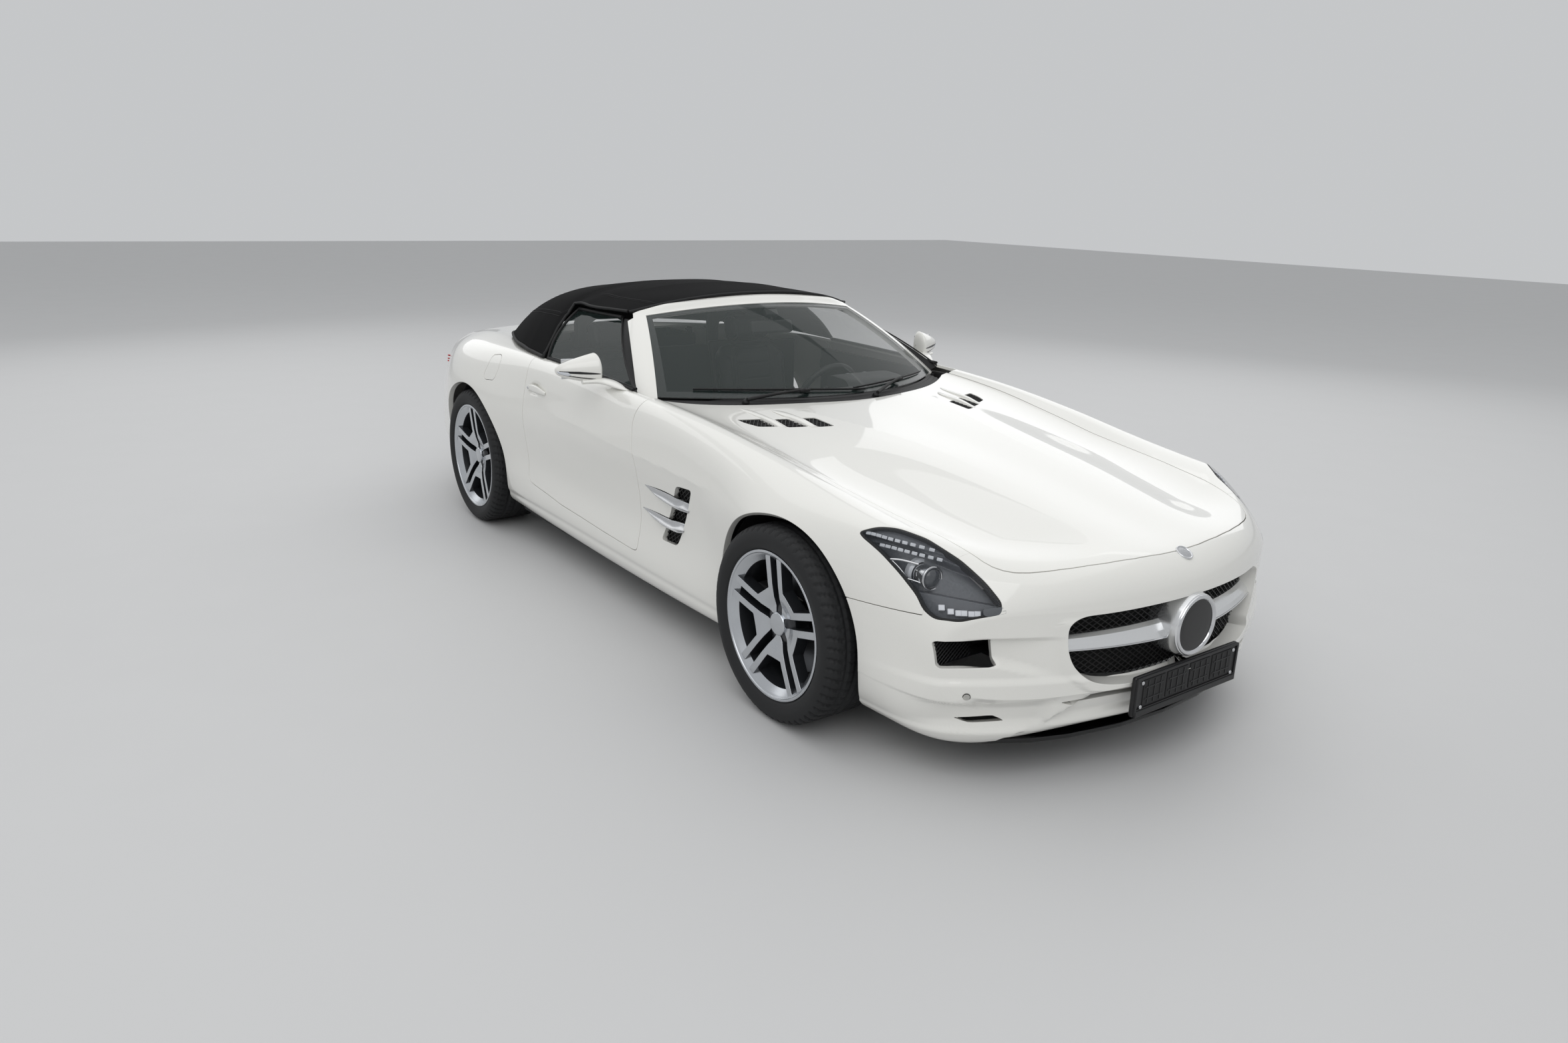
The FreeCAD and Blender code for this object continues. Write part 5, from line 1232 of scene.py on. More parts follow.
x = np.concatenate([np.linspace(40, 440, 40), np.linspace(446, 466, 6)])
tall = 27.0 - 9.0 * (x - 60) / 400
front = mouth_y(x, 10.0)
section = soft_corners([(0, -1.0), (3, -0.72), (9, -0.1), (22, 0.6), (36, 0.98), (54, 0.9), (54, -0.5),
                        (12, -0.93), (0, -1.0)], 0.6, 3)[:-1]
rings = np.stack([np.stack([np.full(len(section), px), py + section[:, 0], 452 + ph * section[:, 1]], axis=1)
                  for px, py, ph in zip(x, front, tall)])
edge_line = np.stack([x, front + 0.5, 452 - tall + 0.6], axis=1)
wing_parts = []
for side, body_side in SIDES:
    wing_parts += [swept(rings * [side, 1, 1]), pipe(edge_line * [side, 1, 1], 2.2, 1, 8)]
BADGE = ((0.0, -2262.0, 454.0), (0, -1, 0))
drum = soft_corners([(-30, 106), (20, 106), (52, 104), (70, 100), (73, 97)], 8)
rim = soft_corners([(70, 98), (76, 96), (79, 92), (77, 86), (71, 82)], 3)
wing_parts += [round_part(drum, *BADGE, 0, 96), round_part(rim, *BADGE, 1, 96, 1.5),
               round_part([(72, 83), (73, 60), (73.5, 30), (73.6, 0.1)], *BADGE, 2, 72)]
wing_silver = grain(material("wing_silver", "E4E5E6", 0.22, 0.85, {"Coat Weight": 0.6}), 500.0, 0.02,
                    rough=(0.16, 0.28))
put_parts("grille_wing_dressed", wing_parts, "body", [wing_silver, chrome, black_gloss],
          replaces=["grille_wing"])

# Nose badge: a plain ring and disc let into the paint above the grille
nose = np.linspace(-2315, -2150, 80)
badge_station = np.interp([667.0], surface(nose, np.zeros(80))[:, 2], nose)
badge = (surface(badge_station, [0.0])[0], square(badge_station, np.array([0.0]), 2.0, surface)[0])
ring = soft_corners([(-2, 28), (2.4, 28), (3.6, 26), (2.6, 23), (1, 22)], 1)
put_parts("nose_badge", [round_part(ring, *badge, 0, 60, 1.0),
                         round_part([(1, 22.5), (1.6, 12), (1.8, 0.1)], *badge, 1, 48)],
          "body", [chrome, silver])


# Side intakes: crossed black bars set back in the openings, with black sheets behind them as painted shade
# for the space behind
near_s, near_g = mesh_grid(span(-2319, -1990, 6), span(1080, 1420, 6))
near_points = surface(near_s.ravel(), near_g.ravel())
near_points = near_points[np.abs(near_points[:, 2] - 440) < 6]
near_points = near_points[np.argsort(near_points[:, 0])]


def intake_y(x, depth):
    """Place along the car of the bumper's face beside the intake, moved inwards."""
    return np.interp(x, near_points[:, 0], near_points[:, 1]) + depth


def intake_place(depth):
    return lambda x, z, lean=0: np.stack([x, intake_y(x, depth + 2 * lean), z], axis=1)


ahead = (0, -1, 0)
intake_parts = crossed_bars([INTAKE], -4, (386, 490, 24), 10, (734, 438), 17.0, 17.0 / 15.0,
                            intake_place(27), 1.7)
# Black sheets behind the intake, the lower slot and the centre slot: painted shade.
intake_parts += [patch(intake_place(40), ahead, span(640, 832, 9), span(382, 496, 9), 3.0, pick=1, hem=3.0,
                       trims=[lambda p: polygon_inside(p[:, [0, 2]], INTAKE) + 7]),
                 patch(mouth_place(66), ahead, span(585, 760, 10), span(196, 250, 9), pick=1, hem=3.0),
                 patch(mouth_place(52), ahead, span(-10, 500, 12), span(244, 302, 10), pick=1, hem=3.0)]
pair("intake_mesh_", intake_parts, "body", [mesh_black, painted_shade_black])

# Splitter: thin gloss black blade under the bumper's lip
SPLITTER = np.array([(0, -2266), (200, -2254), (400, -2214), (520, -2170), (640, -2100), (700, -2040),
                     (700, -1960), (520, -2010), (0, -2100)], float)
blade_plan = rounded(np.concatenate([SPLITTER, (SPLITTER * [-1, 1])[::-1][1:-1]]), 10)
middle = np.array([0.0, -2120.0])
arm = blade_plan - middle
blade_rows = []
for inset, z in ((4.0, 130.0), (0.8, 131.5), (0.0, 134.0), (0.0, 140.0), (0.8, 143.0), (4.0, 144.5)):
    shrunk = middle + arm * (1 - inset / np.linalg.norm(arm, axis=1, keepdims=True))
    blade_rows.append(np.concatenate([shrunk, np.full((len(shrunk), 1), z)], axis=1))
put_parts("splitter_blade", [swept(np.stack(blade_rows))], "body", [black_gloss],
          replaces=["front_splitter"])

# Parking sensors: small painted buttons in the shelf of the bumper
sensor_parts = []
for px, pz in ((725, 308), (390, 300)):
    found_s, found_g = mesh_grid(span(-2319, -2050, 4), span(1300, 1560, 4))
    body_points = surface(found_s.ravel(), found_g.ravel())
    pick = np.hypot(body_points[:, 0] - px, body_points[:, 2] - pz).argmin()
    s, g = found_s.ravel()[pick:pick + 1], found_g.ravel()[pick:pick + 1]
    seat = [rows[0] for rows in skin(s, g, bumper_relief)]
    sensor_parts += [round_part([(-2, 10.5), (1.0, 10.5), (1.6, 9.5), (1.9, 0.1)], *seat, 0, 32),
                     round_part([(-2, 12.2), (0.5, 12.2), (0.5, 10.4)], *seat, 1, 32)]
pair("sensors_", sensor_parts, "body", [paint, rubber_seal])


# Number plate holder: moulded black frame with recessed pockets, blank, held by small screws
holder = grain(material("holder_plastic", "141415", 0.42), 500.0, 0.15, colours=("111112", "18181A"),
               rough=(0.35, 0.5))
HOLDER_Y = -2331.0
plate_parts = [brick((0, HOLDER_Y + 9, 274), (262, 9, 65), 8),
               brick((0, HOLDER_Y - 1, 334), (259, 4, 4), 2.5),
               brick((0, HOLDER_Y - 2, 220), (257, 5, 10), 3),
               brick((-255, HOLDER_Y - 1, 276), (5, 4, 58), 2.5),
               brick((255, HOLDER_Y - 1, 276), (5, 4, 58), 2.5),
               brick((0, HOLDER_Y - 1.5, 233), (250, 3, 2.0), 1.2)]
for px in (-172, -58, 58, 172):
    plate_parts.append(brick((px, HOLDER_Y + 0.5, 283), (52, 3.2, 42), 2.5, pick=1))
    plate_parts += [brick((px + off, HOLDER_Y - 2.6, 283), (2.2, 2.0, 38), 1.0) for off in (-30, 0, 30)]
    plate_parts += [brick((px, HOLDER_Y - 3.0, pz), (44, 1.6, 2.0), 0.9) for pz in (300, 262)]
for px, pz in ((-232, 318), (232, 318), (-232, 240), (232, 240)):
    plate_parts.append(round_part([(-1, 6.5), (3, 6.5), (4.2, 5), (4.6, 0.1)], (px, HOLDER_Y - 1, pz),
                                  (0, -1, 0), 2, 24, 1.0))
put_parts("plate_holder", plate_parts, "body", [holder, black_matte, silver])


# Place on the body's side for a distance along and a height, with the shoulder crease
SIDE_RUN = np.arange(-1080, 1001, 20.0)
SIDE_HIGH = np.arange(160, 901, 5.0)
ladder = np.arange(860, 1700, 4.0)
SIDE_TABLE = []
for along_side in SIDE_RUN:
    stack = surface(np.full(len(ladder), along_side), ladder)
    SIDE_TABLE.append(np.interp(SIDE_HIGH, stack[::-1, 2], stack[::-1, 0]))
SIDE_TABLE = np.array(SIDE_TABLE)


def side_place(y, z, out=0.0):
    """Point on the left side of the body, moved outwards by a distance."""
    y, z = np.broadcast_arrays(np.asarray(y, float), np.asarray(z, float))
    row = np.clip((y - SIDE_RUN[0]) / 20.0, 0, len(SIDE_RUN) - 1.001)
    step = np.clip((z - 160.0) / 5.0, 0, len(SIDE_HIGH) - 1.001)
    i, k = row.astype(int), step.astype(int)
    a, b = row - i, step - k
    x = ((SIDE_TABLE[i, k] * (1 - a) + SIDE_TABLE[i + 1, k] * a) * (1 - b) +
         (SIDE_TABLE[i, k + 1] * (1 - a) + SIDE_TABLE[i + 1, k + 1] * a) * b)
    flat = np.stack([x, y, z], axis=-1)
    flat[..., 0] += shoulder(flat.reshape(-1, 3)).reshape(x.shape) + out
    return flat


# Side vents: crossed black bars behind the wing's opening, and two bright horn-shaped fins that
# start at its front edge and run out to a tip on the wing
vent_parts = crossed_bars([VENT_OUTLINE], -3, (385, 660, 34), 14, (-720, 520), 25.0, 25.0 / 27.0,
                          lambda y, z, lean: side_place(y, z, -17.0 - lean), 1.7, skew=-0.5)
# Black sheet behind the bars: painted shade for the space behind the vent.
vent_parts.append(patch(lambda y, z: side_place(y, z, -33.0), (1, 0, 0), span(-880, -560, 12),
                        span(380, 665, 12), 3.0, pick=1, hem=3.0,
                        trims=[lambda p: polygon_inside(p[:, 1:], VENT_OUTLINE) + 6]))


def fin(low, high, tip_share):
    """Fin between its bright lower edge and its upper root, hollowed along its broad top."""
    low = curve_through(low, 60)
    high = curve_through(high, 60)
    share = np.linspace(0, 1, 60)
    stand = 17.0 * ease((share + 0.12) / 0.35) * ease((1.04 - share) / 0.6)
    inner = -15.0 * ease((tip_share - share) / 0.16)
    outer_edge = side_place(low[:, 0], low[:, 1], stand)
    root = side_place(high[:, 0], high[:, 1], inner)
    under = side_place(low[:, 0], low[:, 1] - 1.5, np.minimum(inner, -2.0))
    thick = (5.0 * ease((1.02 - share) / 0.4) + 0.4)[:, None] * np.array([0, 0, 1.0])
    ring = [root]
    for t in (0.2, 0.4, 0.6, 0.8, 0.93):
        sag = (9.0 * 4 * t * (1 - t) * ease((1.0 - share) / 0.4))[:, None]
        ring.append(root + (outer_edge - root) * t - np.array([0.45, 0, 0.75]) * sag)
    ring += [outer_edge + 0.1 * thick, outer_edge - [1.0, 0, 0] - 0.6 * thick,
             outer_edge - [3.5, 0, 0] - thick, under - 0.6 * thick, under]
    return swept(np.stack(ring, axis=1), 2)


vent_parts.append(fin([(-812, 560), (-752, 560), (-693, 562), (-620, 566), (-549, 573), (-484, 588)],
                      [(-832, 594), (-765, 592), (-702, 596), (-640, 598), (-575, 596), (-486, 590)], 0.36))
vent_parts.append(fin([(-760, 470), (-728, 464), (-650, 462), (-573, 467), (-505, 475), (-444, 485)],
                      [(-780, 505), (-720, 498), (-648, 494), (-600, 493), (-540, 492), (-446, 488)], 0.36))
pair("side_vent_", vent_parts, "body", [mesh_black, painted_shade_black, silver], ["side_vents"])


# Bonnet vents: crossed bars below the slots and two white blades between them
plan_s, plan_g = mesh_grid(np.arange(-1040, -540, 6.0), np.arange(300, 690, 6.0))
plan_points = surface(plan_s.ravel(), plan_g.ravel())


def bonnet_height(x, y):
    """Height of the bonnet over places in plan, from a smooth fit of its vent area."""
    def terms(u, v):
        u, v = (u - 480) / 200, (v + 780) / 200
        return np.stack([u ** i * v ** k for i in range(4) for k in range(4 - i)], axis=-1)

    fit = np.linalg.lstsq(terms(plan_points[:, 0], plan_points[:, 1]), plan_points[:, 2], rcond=None)[0]
    return terms(x, y) @ fit


def below_bonnet(depth):
    return lambda x, y, lean=0: np.stack([x, y, bonnet_height(x, y) - depth - lean], axis=1)


bonnet_parts = crossed_bars(VENT_SLOTS, -5, (-980, -690, 44), 16, (480, -830), 19.0, 0.8,
                            below_bonnet(4.5), 1.5)
# Black sheets under the slots: painted shade for the space below the bonnet.
for outline in VENT_SLOTS:
    low, high = outline.min(axis=0) - 12, outline.max(axis=0) + 12
    bonnet_parts.append(patch(below_bonnet(9), (0, 0, 1), span(low[0], high[0], 9), span(low[1], high[1], 9),
                              pick=1, hem=2.0, trims=[lambda p, o=outline: polygon_inside(p[:, :2], o) + 8]))


def bonnet_blade(inner, outer):
    """Blade between two slots: flat and wide in front, rising to a tip behind."""
    inner, outer = curve_through(inner, 50), curve_through(outer, 50)
    share = np.linspace(0, 1, 50)
    up = 1.0 + 8.0 * ease(share / 0.3) * ease((1.05 - share) / 0.75)
    down = 9.0 * ease((0.55 - share) / 0.2)
    rows = []
    for t, lift, drop in ((0.0, 0.0, 1), (0.06, 0.55, 0), (0.25, 0.9, 0), (0.5, 1.0, 0), (0.75, 0.9, 0),
                          (0.94, 0.55, 0), (1.0, 0.0, 1), (0.8, -0.3, 1), (0.2, -0.3, 1)):
        line = inner + (outer - inner) * t
        z = bonnet_height(line[:, 0], line[:, 1]) + np.where(drop, -down - 1.0, 0) + up * max(lift, 0)
        rows.append(np.stack([line[:, 0], line[:, 1], z], axis=1))
    return swept(np.stack(rows, axis=1), 2)


bonnet_parts.append(bonnet_blade([(506, -880), (504, -800), (506, -720), (512, -640), (532, -604)],
                                 [(527, -860), (534, -790), (535, -720), (536, -650), (534, -603)]))
bonnet_parts.append(bonnet_blade([(408, -942), (406, -860), (408, -780), (418, -715), (443, -685)],
                                 [(431, -928), (441, -850), (446, -780), (448, -725), (445, -684)]))
pair("bonnet_vent_", bonnet_parts, "bonnet", [mesh_black, painted_shade_black, paint])


# Door handles: painted grips over the hollows, the right one shown with its lock
share = np.linspace(0, 1, 44)
stand = 13 * np.sin(math.pi * share) ** 0.6
tall = 5 + 10.5 * np.sin(math.pi * np.clip(share * 0.9 + 0.07, 0, 1)) ** 0.7
turn = np.linspace(0, 2 * math.pi, 20, endpoint=False)
middle = side_place(602 - 178 * share, 800 + 9 * np.sin(math.pi * share) - 4 * share, stand)
grip = np.stack(np.broadcast_arrays(5.5 * np.cos(turn), 0.0, tall[:, None] * np.sin(turn)), axis=2)
lock = side_place(np.array([588.0]), np.array([801.0]), 11.5)[0]
handle = [swept(middle[:, None] + grip),
          round_part([(-4, 6.5), (1.5, 6.5), (2.2, 5.2), (2.3, 0.1)], lock, (1, 0, 0), 1, 28, 1.0)]
pair("handle_", handle, "door_", [paint, silver])


# Windscreen: bonded laminated glass with a dark ceramic border, painted pillars and header
SCREEN_FOOT = (-652.0, 340.0, 746.0, 893.0, -8.0)
SCREEN_HEAD = (22.0, 92.0, 560.0, 1206.0, -44.0)
SCREEN_BULGE = 16.0
GLASS_LOOK = np.array([0.0, -0.55, 0.83])
pane = clear("tinted_glass", "3C4A47", 0.30, 1.9)
frit = grain(material("glass_border", "08090A", 0.15), 500.0, 0.0, rough=(0.08, 0.2))


def screen_at(share, across):
    """Points of the windscreen surface; share runs from foot to head."""
    share, across = np.asarray(share, float), np.asarray(across, float)
    ends = []
    for y, y_bow, x, z, z_bow in (SCREEN_FOOT, SCREEN_HEAD):
        ends.append(np.stack([x * across, y + y_bow * across ** 2, z + z_bow * across ** 2], axis=1))
    belly = SCREEN_BULGE * 4 * share * (1 - share)
    return ends[0] + (ends[1] - ends[0]) * share[:, None] + belly[:, None] * np.array([0, -0.42, 0.9])


def screen_strip(shares, acrosses, steps, lift=0.0, pick=0, hem=4.0, droop=None):
    """Part of the windscreen surface between shares and places across."""
    def at(u, v):
        points = screen_at(u / 1000.0, v / 1000.0) + lift * GLASS_LOOK
        return points if droop is None else points - droop(u / 1000.0, v / 1000.0)[:, None] * GLASS_LOOK
    return patch(at, (0, -1, 1), np.linspace(*shares, steps[0]) * 1000,
                 np.linspace(*acrosses, steps[1]) * 1000, 0.8, pick=pick, hem=hem, edge=0.6)


put_parts("windscreen_pane", [screen_strip((0.015, 0.992), (-0.9945, 0.9945), (60, 90))], "body",
          [pane], replaces=["windscreen_glass"])
border = [screen_strip(shares, acrosses, steps, -3.0, hem=1.5) for shares, acrosses, steps in (
    ((0.012, 0.075), (-0.994, 0.994), (6, 90)), ((0.955, 0.992), (-0.994, 0.994), (5, 90)),
    ((0.07, 0.96), (-0.994, -0.952), (60, 5)), ((0.07, 0.96), (0.952, 0.994), (60, 5)))]
put_parts("windscreen_border", border, "body", [frit])


def pillar_droop(share, across):
    """Rounding of the pillar's outer side, towards the door window."""
    return 20.0 * np.clip((np.abs(across) - 1.03) / 0.09, 0, 1) ** 2


def header_rise(share, across):
    """Header swells up to the fabric's front edge and turns down under it."""
    swell = 17.0 * ease((share - 1.0) / 0.07) * ease((1.1 - np.abs(across)) / 0.3)
    return pillar_droop(share, across) - swell + 9.0 * np.clip((share - 1.075) / 0.025, 0, 1) ** 2


frame_parts = [screen_strip((0.997, 1.1), (-1.083, 1.083), (18, 100), 1.0, hem=24.0, droop=header_rise)]
for sign in (1, -1):
    def pillar_at(u, v, sign=sign):
        wide = 0.9955 + (0.078 + 0.000045 * u) * v / 100.0
        return screen_at(u / 1000.0, sign * wide) + (1.0 - pillar_droop(u, wide))[:, None] * GLASS_LOOK
    frame_parts.append(patch(pillar_at, (0, -1, 1), np.linspace(-8, 1004, 70), np.linspace(0, 100, 14), 0.8,
                             hem=32.0))
put_parts("windscreen_surround", frame_parts, "body", [paint], replaces=["windscreen_frame"])

# Interior mirror and its foot behind the glass, below the header
leaning = [[1, 0, 0], [0, 0.96, -0.28], [0, 0.28, 0.96]]
mirror_inside = [brick((0, -42, 1105), (112, 13, 29), 12, leaning),
                 brick((0, -33, 1166), (34, 14, 20), 9, [[1, 0, 0], [0, 0.8, -0.6], [0, 0.6, 0.8]]),
                 pipe([(0, -36, 1160), (0, -40, 1140), (0, -42, 1120)], 8, 0, 12),
                 brick((0, -28, 1103), (104, 2, 24), 1.5, leaning, 1)]
put_parts("mirror_inside", mirror_inside, "body", [black_matte, chrome])


# Cowl: black plastic grille at the foot of the windscreen, with two wipers resting on the glass
def cowl_at(u, v):
    share, across = u / 1000.0, v / 1000.0
    x = 735 * across
    front = cowl_line(x) + 3
    back_edge = SCREEN_FOOT[0] + SCREEN_FOOT[1] * (x / SCREEN_FOOT[2]) ** 2 + 6
    y = front + (np.maximum(back_edge, front + 14) - front) * share
    slats = 1.3 * np.cos(share * 3 * 2 * math.pi)
    return np.stack([x, y, 874 - 8 * across ** 2 + slats + 12 * share], axis=1)


cowl = patch(cowl_at, (0, 0, 1), np.linspace(0, 1000, 26), np.linspace(-990, 990, 110), 1.0, hem=14.0)
put_parts("cowl_grille", [cowl], "body", [black_matte], replaces=["scuttle"])


def on_screen(share, across, lift):
    return screen_at(np.array(share, float), np.array(across, float)) + lift * GLASS_LOOK


wipers = []
for pivot, knee, tip, far in (((-0.62, -0.03), (-0.30, 0.045), (-0.84, 0.085), (0.10, 0.03)),
                              ((0.14, -0.03), (0.42, 0.05), (0.02, 0.05), (0.80, 0.06))):
    arm = on_screen([pivot[1], (pivot[1] + knee[1]) / 2 + 0.01, knee[1]],
                    [pivot[0], (pivot[0] + knee[0]) / 2, knee[0]], 20)
    blade = on_screen(np.linspace(tip[1], far[1], 30) + 0.012 * np.sin(np.linspace(0, math.pi, 30)),
                      np.linspace(tip[0], far[0], 30), 9)
    wipers += [pipe(curve_through(arm, 24), np.linspace(8, 5, 24), 0, 10),
               pipe(blade, 4.5 * np.sin(np.linspace(0.35, math.pi - 0.35, 30)) ** 0.5, 0, 8),
               pipe(blade - 5 * GLASS_LOOK, 1.6, 1, 6),
               brick(on_screen([knee[1]], [knee[0]], 15)[0], (26, 7, 6), 4),
               round_part([(0, 15), (14, 14), (20, 9), (21, 0.1)], on_screen([pivot[1]], [pivot[0]], -4)[0],
                          (0, -0.5, 0.85), 0, 32)]
put_parts("wipers", wipers, "body", [black_matte, rubber_seal])


# Door windows: curved panes standing in the door tops, with black belt and edge seals
foot_line = np.linspace(-300, 560, 60)
BELT_HIGH = surface(foot_line, np.full(60, 818.0))[:, 2]


def window_at(u, v, out=0.0):
    """Points of a door window: u along it from 0 to 1000, v up it from 0 to 1000."""
    along, up = u / 1000.0, v / 1000.0
    foot_y = -285 + 830 * along
    foot = np.stack([np.full(len(along), 824.0), foot_y, np.interp(foot_y, foot_line, BELT_HIGH) - 6], axis=1)
    head = np.stack([603 + 16 * along, 238 + 394 * along, 1142 - 2 * along], axis=1)
    belly = (4 * up * (1 - up))[:, None] * [26.0, 0, 9.0]
    return foot + (head - foot) * up[:, None] + belly + np.array([0.72, 0, 0.69]) * out


pair("window_", [patch(window_at, (1, 0, 0.5), np.linspace(0, 1000, 60), np.linspace(20, 1000, 34), 1.0,
                       hem=4.0, edge=0.5)], "door_", [pane], ["side_glass_"])
line = np.linspace(0, 1000, 50)
belt = window_at(line, np.full(50, 32.0), 7.0)
pair("belt_seal_", [pipe(belt, 6.0, 0, 8), pipe(belt - [14, 0, -2], 6.0, 0, 8)], "door_",
     [rubber_seal])
up_line = np.linspace(10, 1000, 40)
post_share = np.linspace(0.03, 1.02, 60)
post = screen_at(post_share, 1.06 + 0.045 * post_share) - 17.0 * GLASS_LOOK
glass_edge = window_at(np.full(60, 12.0), np.linspace(0, 1000, 60), -7.0)


def filler_at(u, v):
    """Strip between the pillar and the window's front edge."""
    rungs = np.linspace(0, 1, 60)
    near, far = (np.stack([np.interp(u / 1000.0, rungs, line[:, k]) for k in range(3)], axis=1)
                 for line in (post, glass_edge))
    return near + (far - near) * (v / 100.0)[:, None]


filler = patch(filler_at, (1, -0.3, 0.3), np.linspace(0, 1000, 50), np.linspace(0, 100, 8), 1.0,
               hem=4.0, edge=0.8)
pair("window_seal_", [pipe(window_at(line, np.full(50, 996.0), 4.0), 7.5, 0, 10),
                      pipe(window_at(np.full(40, 4.0), up_line, -2.0), 3.5, 0, 10),
                      pipe(window_at(np.full(40, 1004.0), up_line, 3.0), 6.5, 0, 10), filler],
     "body", [rubber_seal])


# Door mirrors: painted half domes on curved feet, with two dark slats round a silver indicator
def mirror_skin(u, v, grow=0.0):
    """Housing: u goes from the inner end to the outer tip, v turns round it."""
    along, turn = u / 1000.0, v / 1000.0 * 2 * math.pi
    blunt = np.clip(along / 0.13, 0, 1)
    taper = np.clip((1 - along) / 0.9, 0, 1)
    body = (1 - (1 - blunt) ** 2.4) ** 0.42 * taper ** 0.36
    top = 70 * body * (1 - 0.30 * along ** 1.5)
    bottom = 56 * body * (1 - 0.10 * along)
    deep = 64 * body * (1 - 0.18 * along)
    high, ahead = np.sin(turn), np.cos(turn)
    z = 974 + np.where(high > 0, top * np.abs(high) ** 0.92, -bottom * np.abs(high) ** 0.62)
    y = -58 + 46 * along ** 1.4 - (deep + grow) * ahead * np.where(ahead < 0, 0.42, 1.0)
    return np.stack([872 + 170 * along, y, z + grow * high], axis=1)


def mirror_band(along, low, width, steps, out, deep, pick):
    """Slat let into the housing's front, from its lower to its upper edge and back behind it."""
    ring = []
    for grow, sign in ((out, 1), (-deep, -1)):
        for k in sign * np.linspace(-1, 1, steps):
            turn = np.arcsin(np.clip(low + k * width, -0.99, 0.99)) / (2 * math.pi)
            ring.append(mirror_skin(along * 1000, turn * 1000, grow))
    return swept(np.stack(ring, axis=1), pick)


u, v = mesh_grid(500 - 500 * np.cos(np.linspace(0.02, math.pi - 0.02, 60)), np.linspace(0, 1000, 73)[:-1])
mirror_parts = [swept(mirror_skin(u.ravel(), v.ravel()).reshape(60, 72, 3))]
width = 0.055 * np.sin(np.linspace(0.0, math.pi * 0.62, 60)) ** 0.5
mirror_parts += [mirror_band(np.linspace(0.10, 0.95, 60), -0.05, width, 5, 0.7, 1.5, 1),
                 mirror_band(np.linspace(0.02, 0.97, 60), -0.42, width, 5, 0.7, 1.5, 1)]
tip = np.linspace(0.72, 0.985, 24)
mirror_parts.append(mirror_band(tip, -0.235, 0.20 * ease((tip - 0.70) / 0.1), 7, 1.0, 1.0, 2))
path = curve_through([(824, -236, 912), (836, -206, 916), (852, -166, 926), (874, -120, 934), (908, -84, 934),
                      (950, -66, 932)], 40)
share = np.linspace(0, 1, 40)
across = unit(np.cross(unit(np.gradient(path, axis=0)), [0, 0, 1.0]))
turn = np.linspace(0, 2 * math.pi, 20, endpoint=False)[None, :, None]
wide = (14 + 20 * ease(share / 0.6))[:, None, None]
tall = (3.5 + 8.5 * ease(share / 0.5))[:, None, None]
foot = path[:, None] + wide * np.cos(turn) * across[:, None] + tall * np.sin(turn) * [0, 0, 1.0]
glass_axes = [[0.985, 0.17, 0], [-0.17, 0.985, 0], [0, 0, 1]]
mirror_parts += [swept(foot), brick((952, -18, 977), (62, 3, 41), 2.5, glass_axes, 3)]
pair("mirror_dressed_", mirror_parts, "door_", [paint, black_gloss, lamp_strip, chrome], ["mirror_"])


# Soft top: woven fabric stretched over hidden bows, with sewn seams, a bound edge over the door
# windows and a rubber weatherstrip along its foot
TOP_ROWS = [
    ((62, 1252), (604, 184, 1172), 2.4), ((250, 1261), (624, 330, 1170), 2.4),
    ((480, 1262), (632, 520, 1168), 2.4), ((650, 1260), (636, 655, 1164), 2.5),
    ((820, 1249), (740, 617, 1060), 3.0), ((960, 1234), (836, 572, 937), 3.8),
    ((1100, 1213), (820, 780, 944), 4.0), ((1250, 1185), (781, 1000, 949), 4.0),
    ((1400, 1148), (720, 1200, 953), 3.8), ((1520, 1106), (678, 1310, 954), 3.4),
    ((1620, 1056), (655, 1345, 954), 3.0), ((1685, 1005), (645, 1357, 954), 2.8),
    ((1722, 958), (640, 1362, 955), 2.6)]
fabric = grain(material("top_fabric", "0D0D0E", 0.95, sockets={"Specular IOR Level": 0.12}), 1400.0, 0.45,
               0.0005, colours=("0A0A0B", "131314"), rough=(0.9, 1.0))
grain(fabric, 14.0, 0.12, 0.002)
row_values = np.array([[a, h, w, ea, eh, q] for (a, h), (w, ea, eh), q in TOP_ROWS], float)
fine_rows = np.linspace(0, 12, 241)
smooth_rows = spline_matrix(np.arange(13), fine_rows) @ row_values
broken_rows = np.stack([np.interp(fine_rows, np.arange(13), row_values[:, k]) for k in range(6)], axis=1)
row_mix = np.where((fine_rows > 2.6) & (fine_rows < 6.2), 0.0, 1.0)
row_mix = np.convolve(np.pad(row_mix, 8, mode="edge"), np.ones(17) / 17, mode="valid")[:, None]
smooth_rows[:, 2:5] = smooth_rows[:, 2:5] * row_mix + broken_rows[:, 2:5] * (1 - row_mix)
BOWS = (120.0, 480.0, 820.0, 1130.0, 1400.0)
WINDOW = rounded([(300, 1215), (345, 1270), (340, 1500), (300, 1570), (-300, 1570), (-340, 1500),
                  (-345, 1270), (-300, 1215)], 30)


def top_at(u, v):
    """Points of the fabric: u runs along its rows from 0 to 1200, v across from -1000 to 1000."""
    along, high, wide, edge_along, edge_high, shoulder_power = lookup(smooth_rows, np.clip(u / 5.0, 0, 240)).T
    t = v / 1000.0
    reach = np.abs(t)
    return np.stack([wide * t, along + (edge_along - along) * reach ** 2.6,
                     high + (edge_high - high) * reach ** shoulder_power], axis=1)


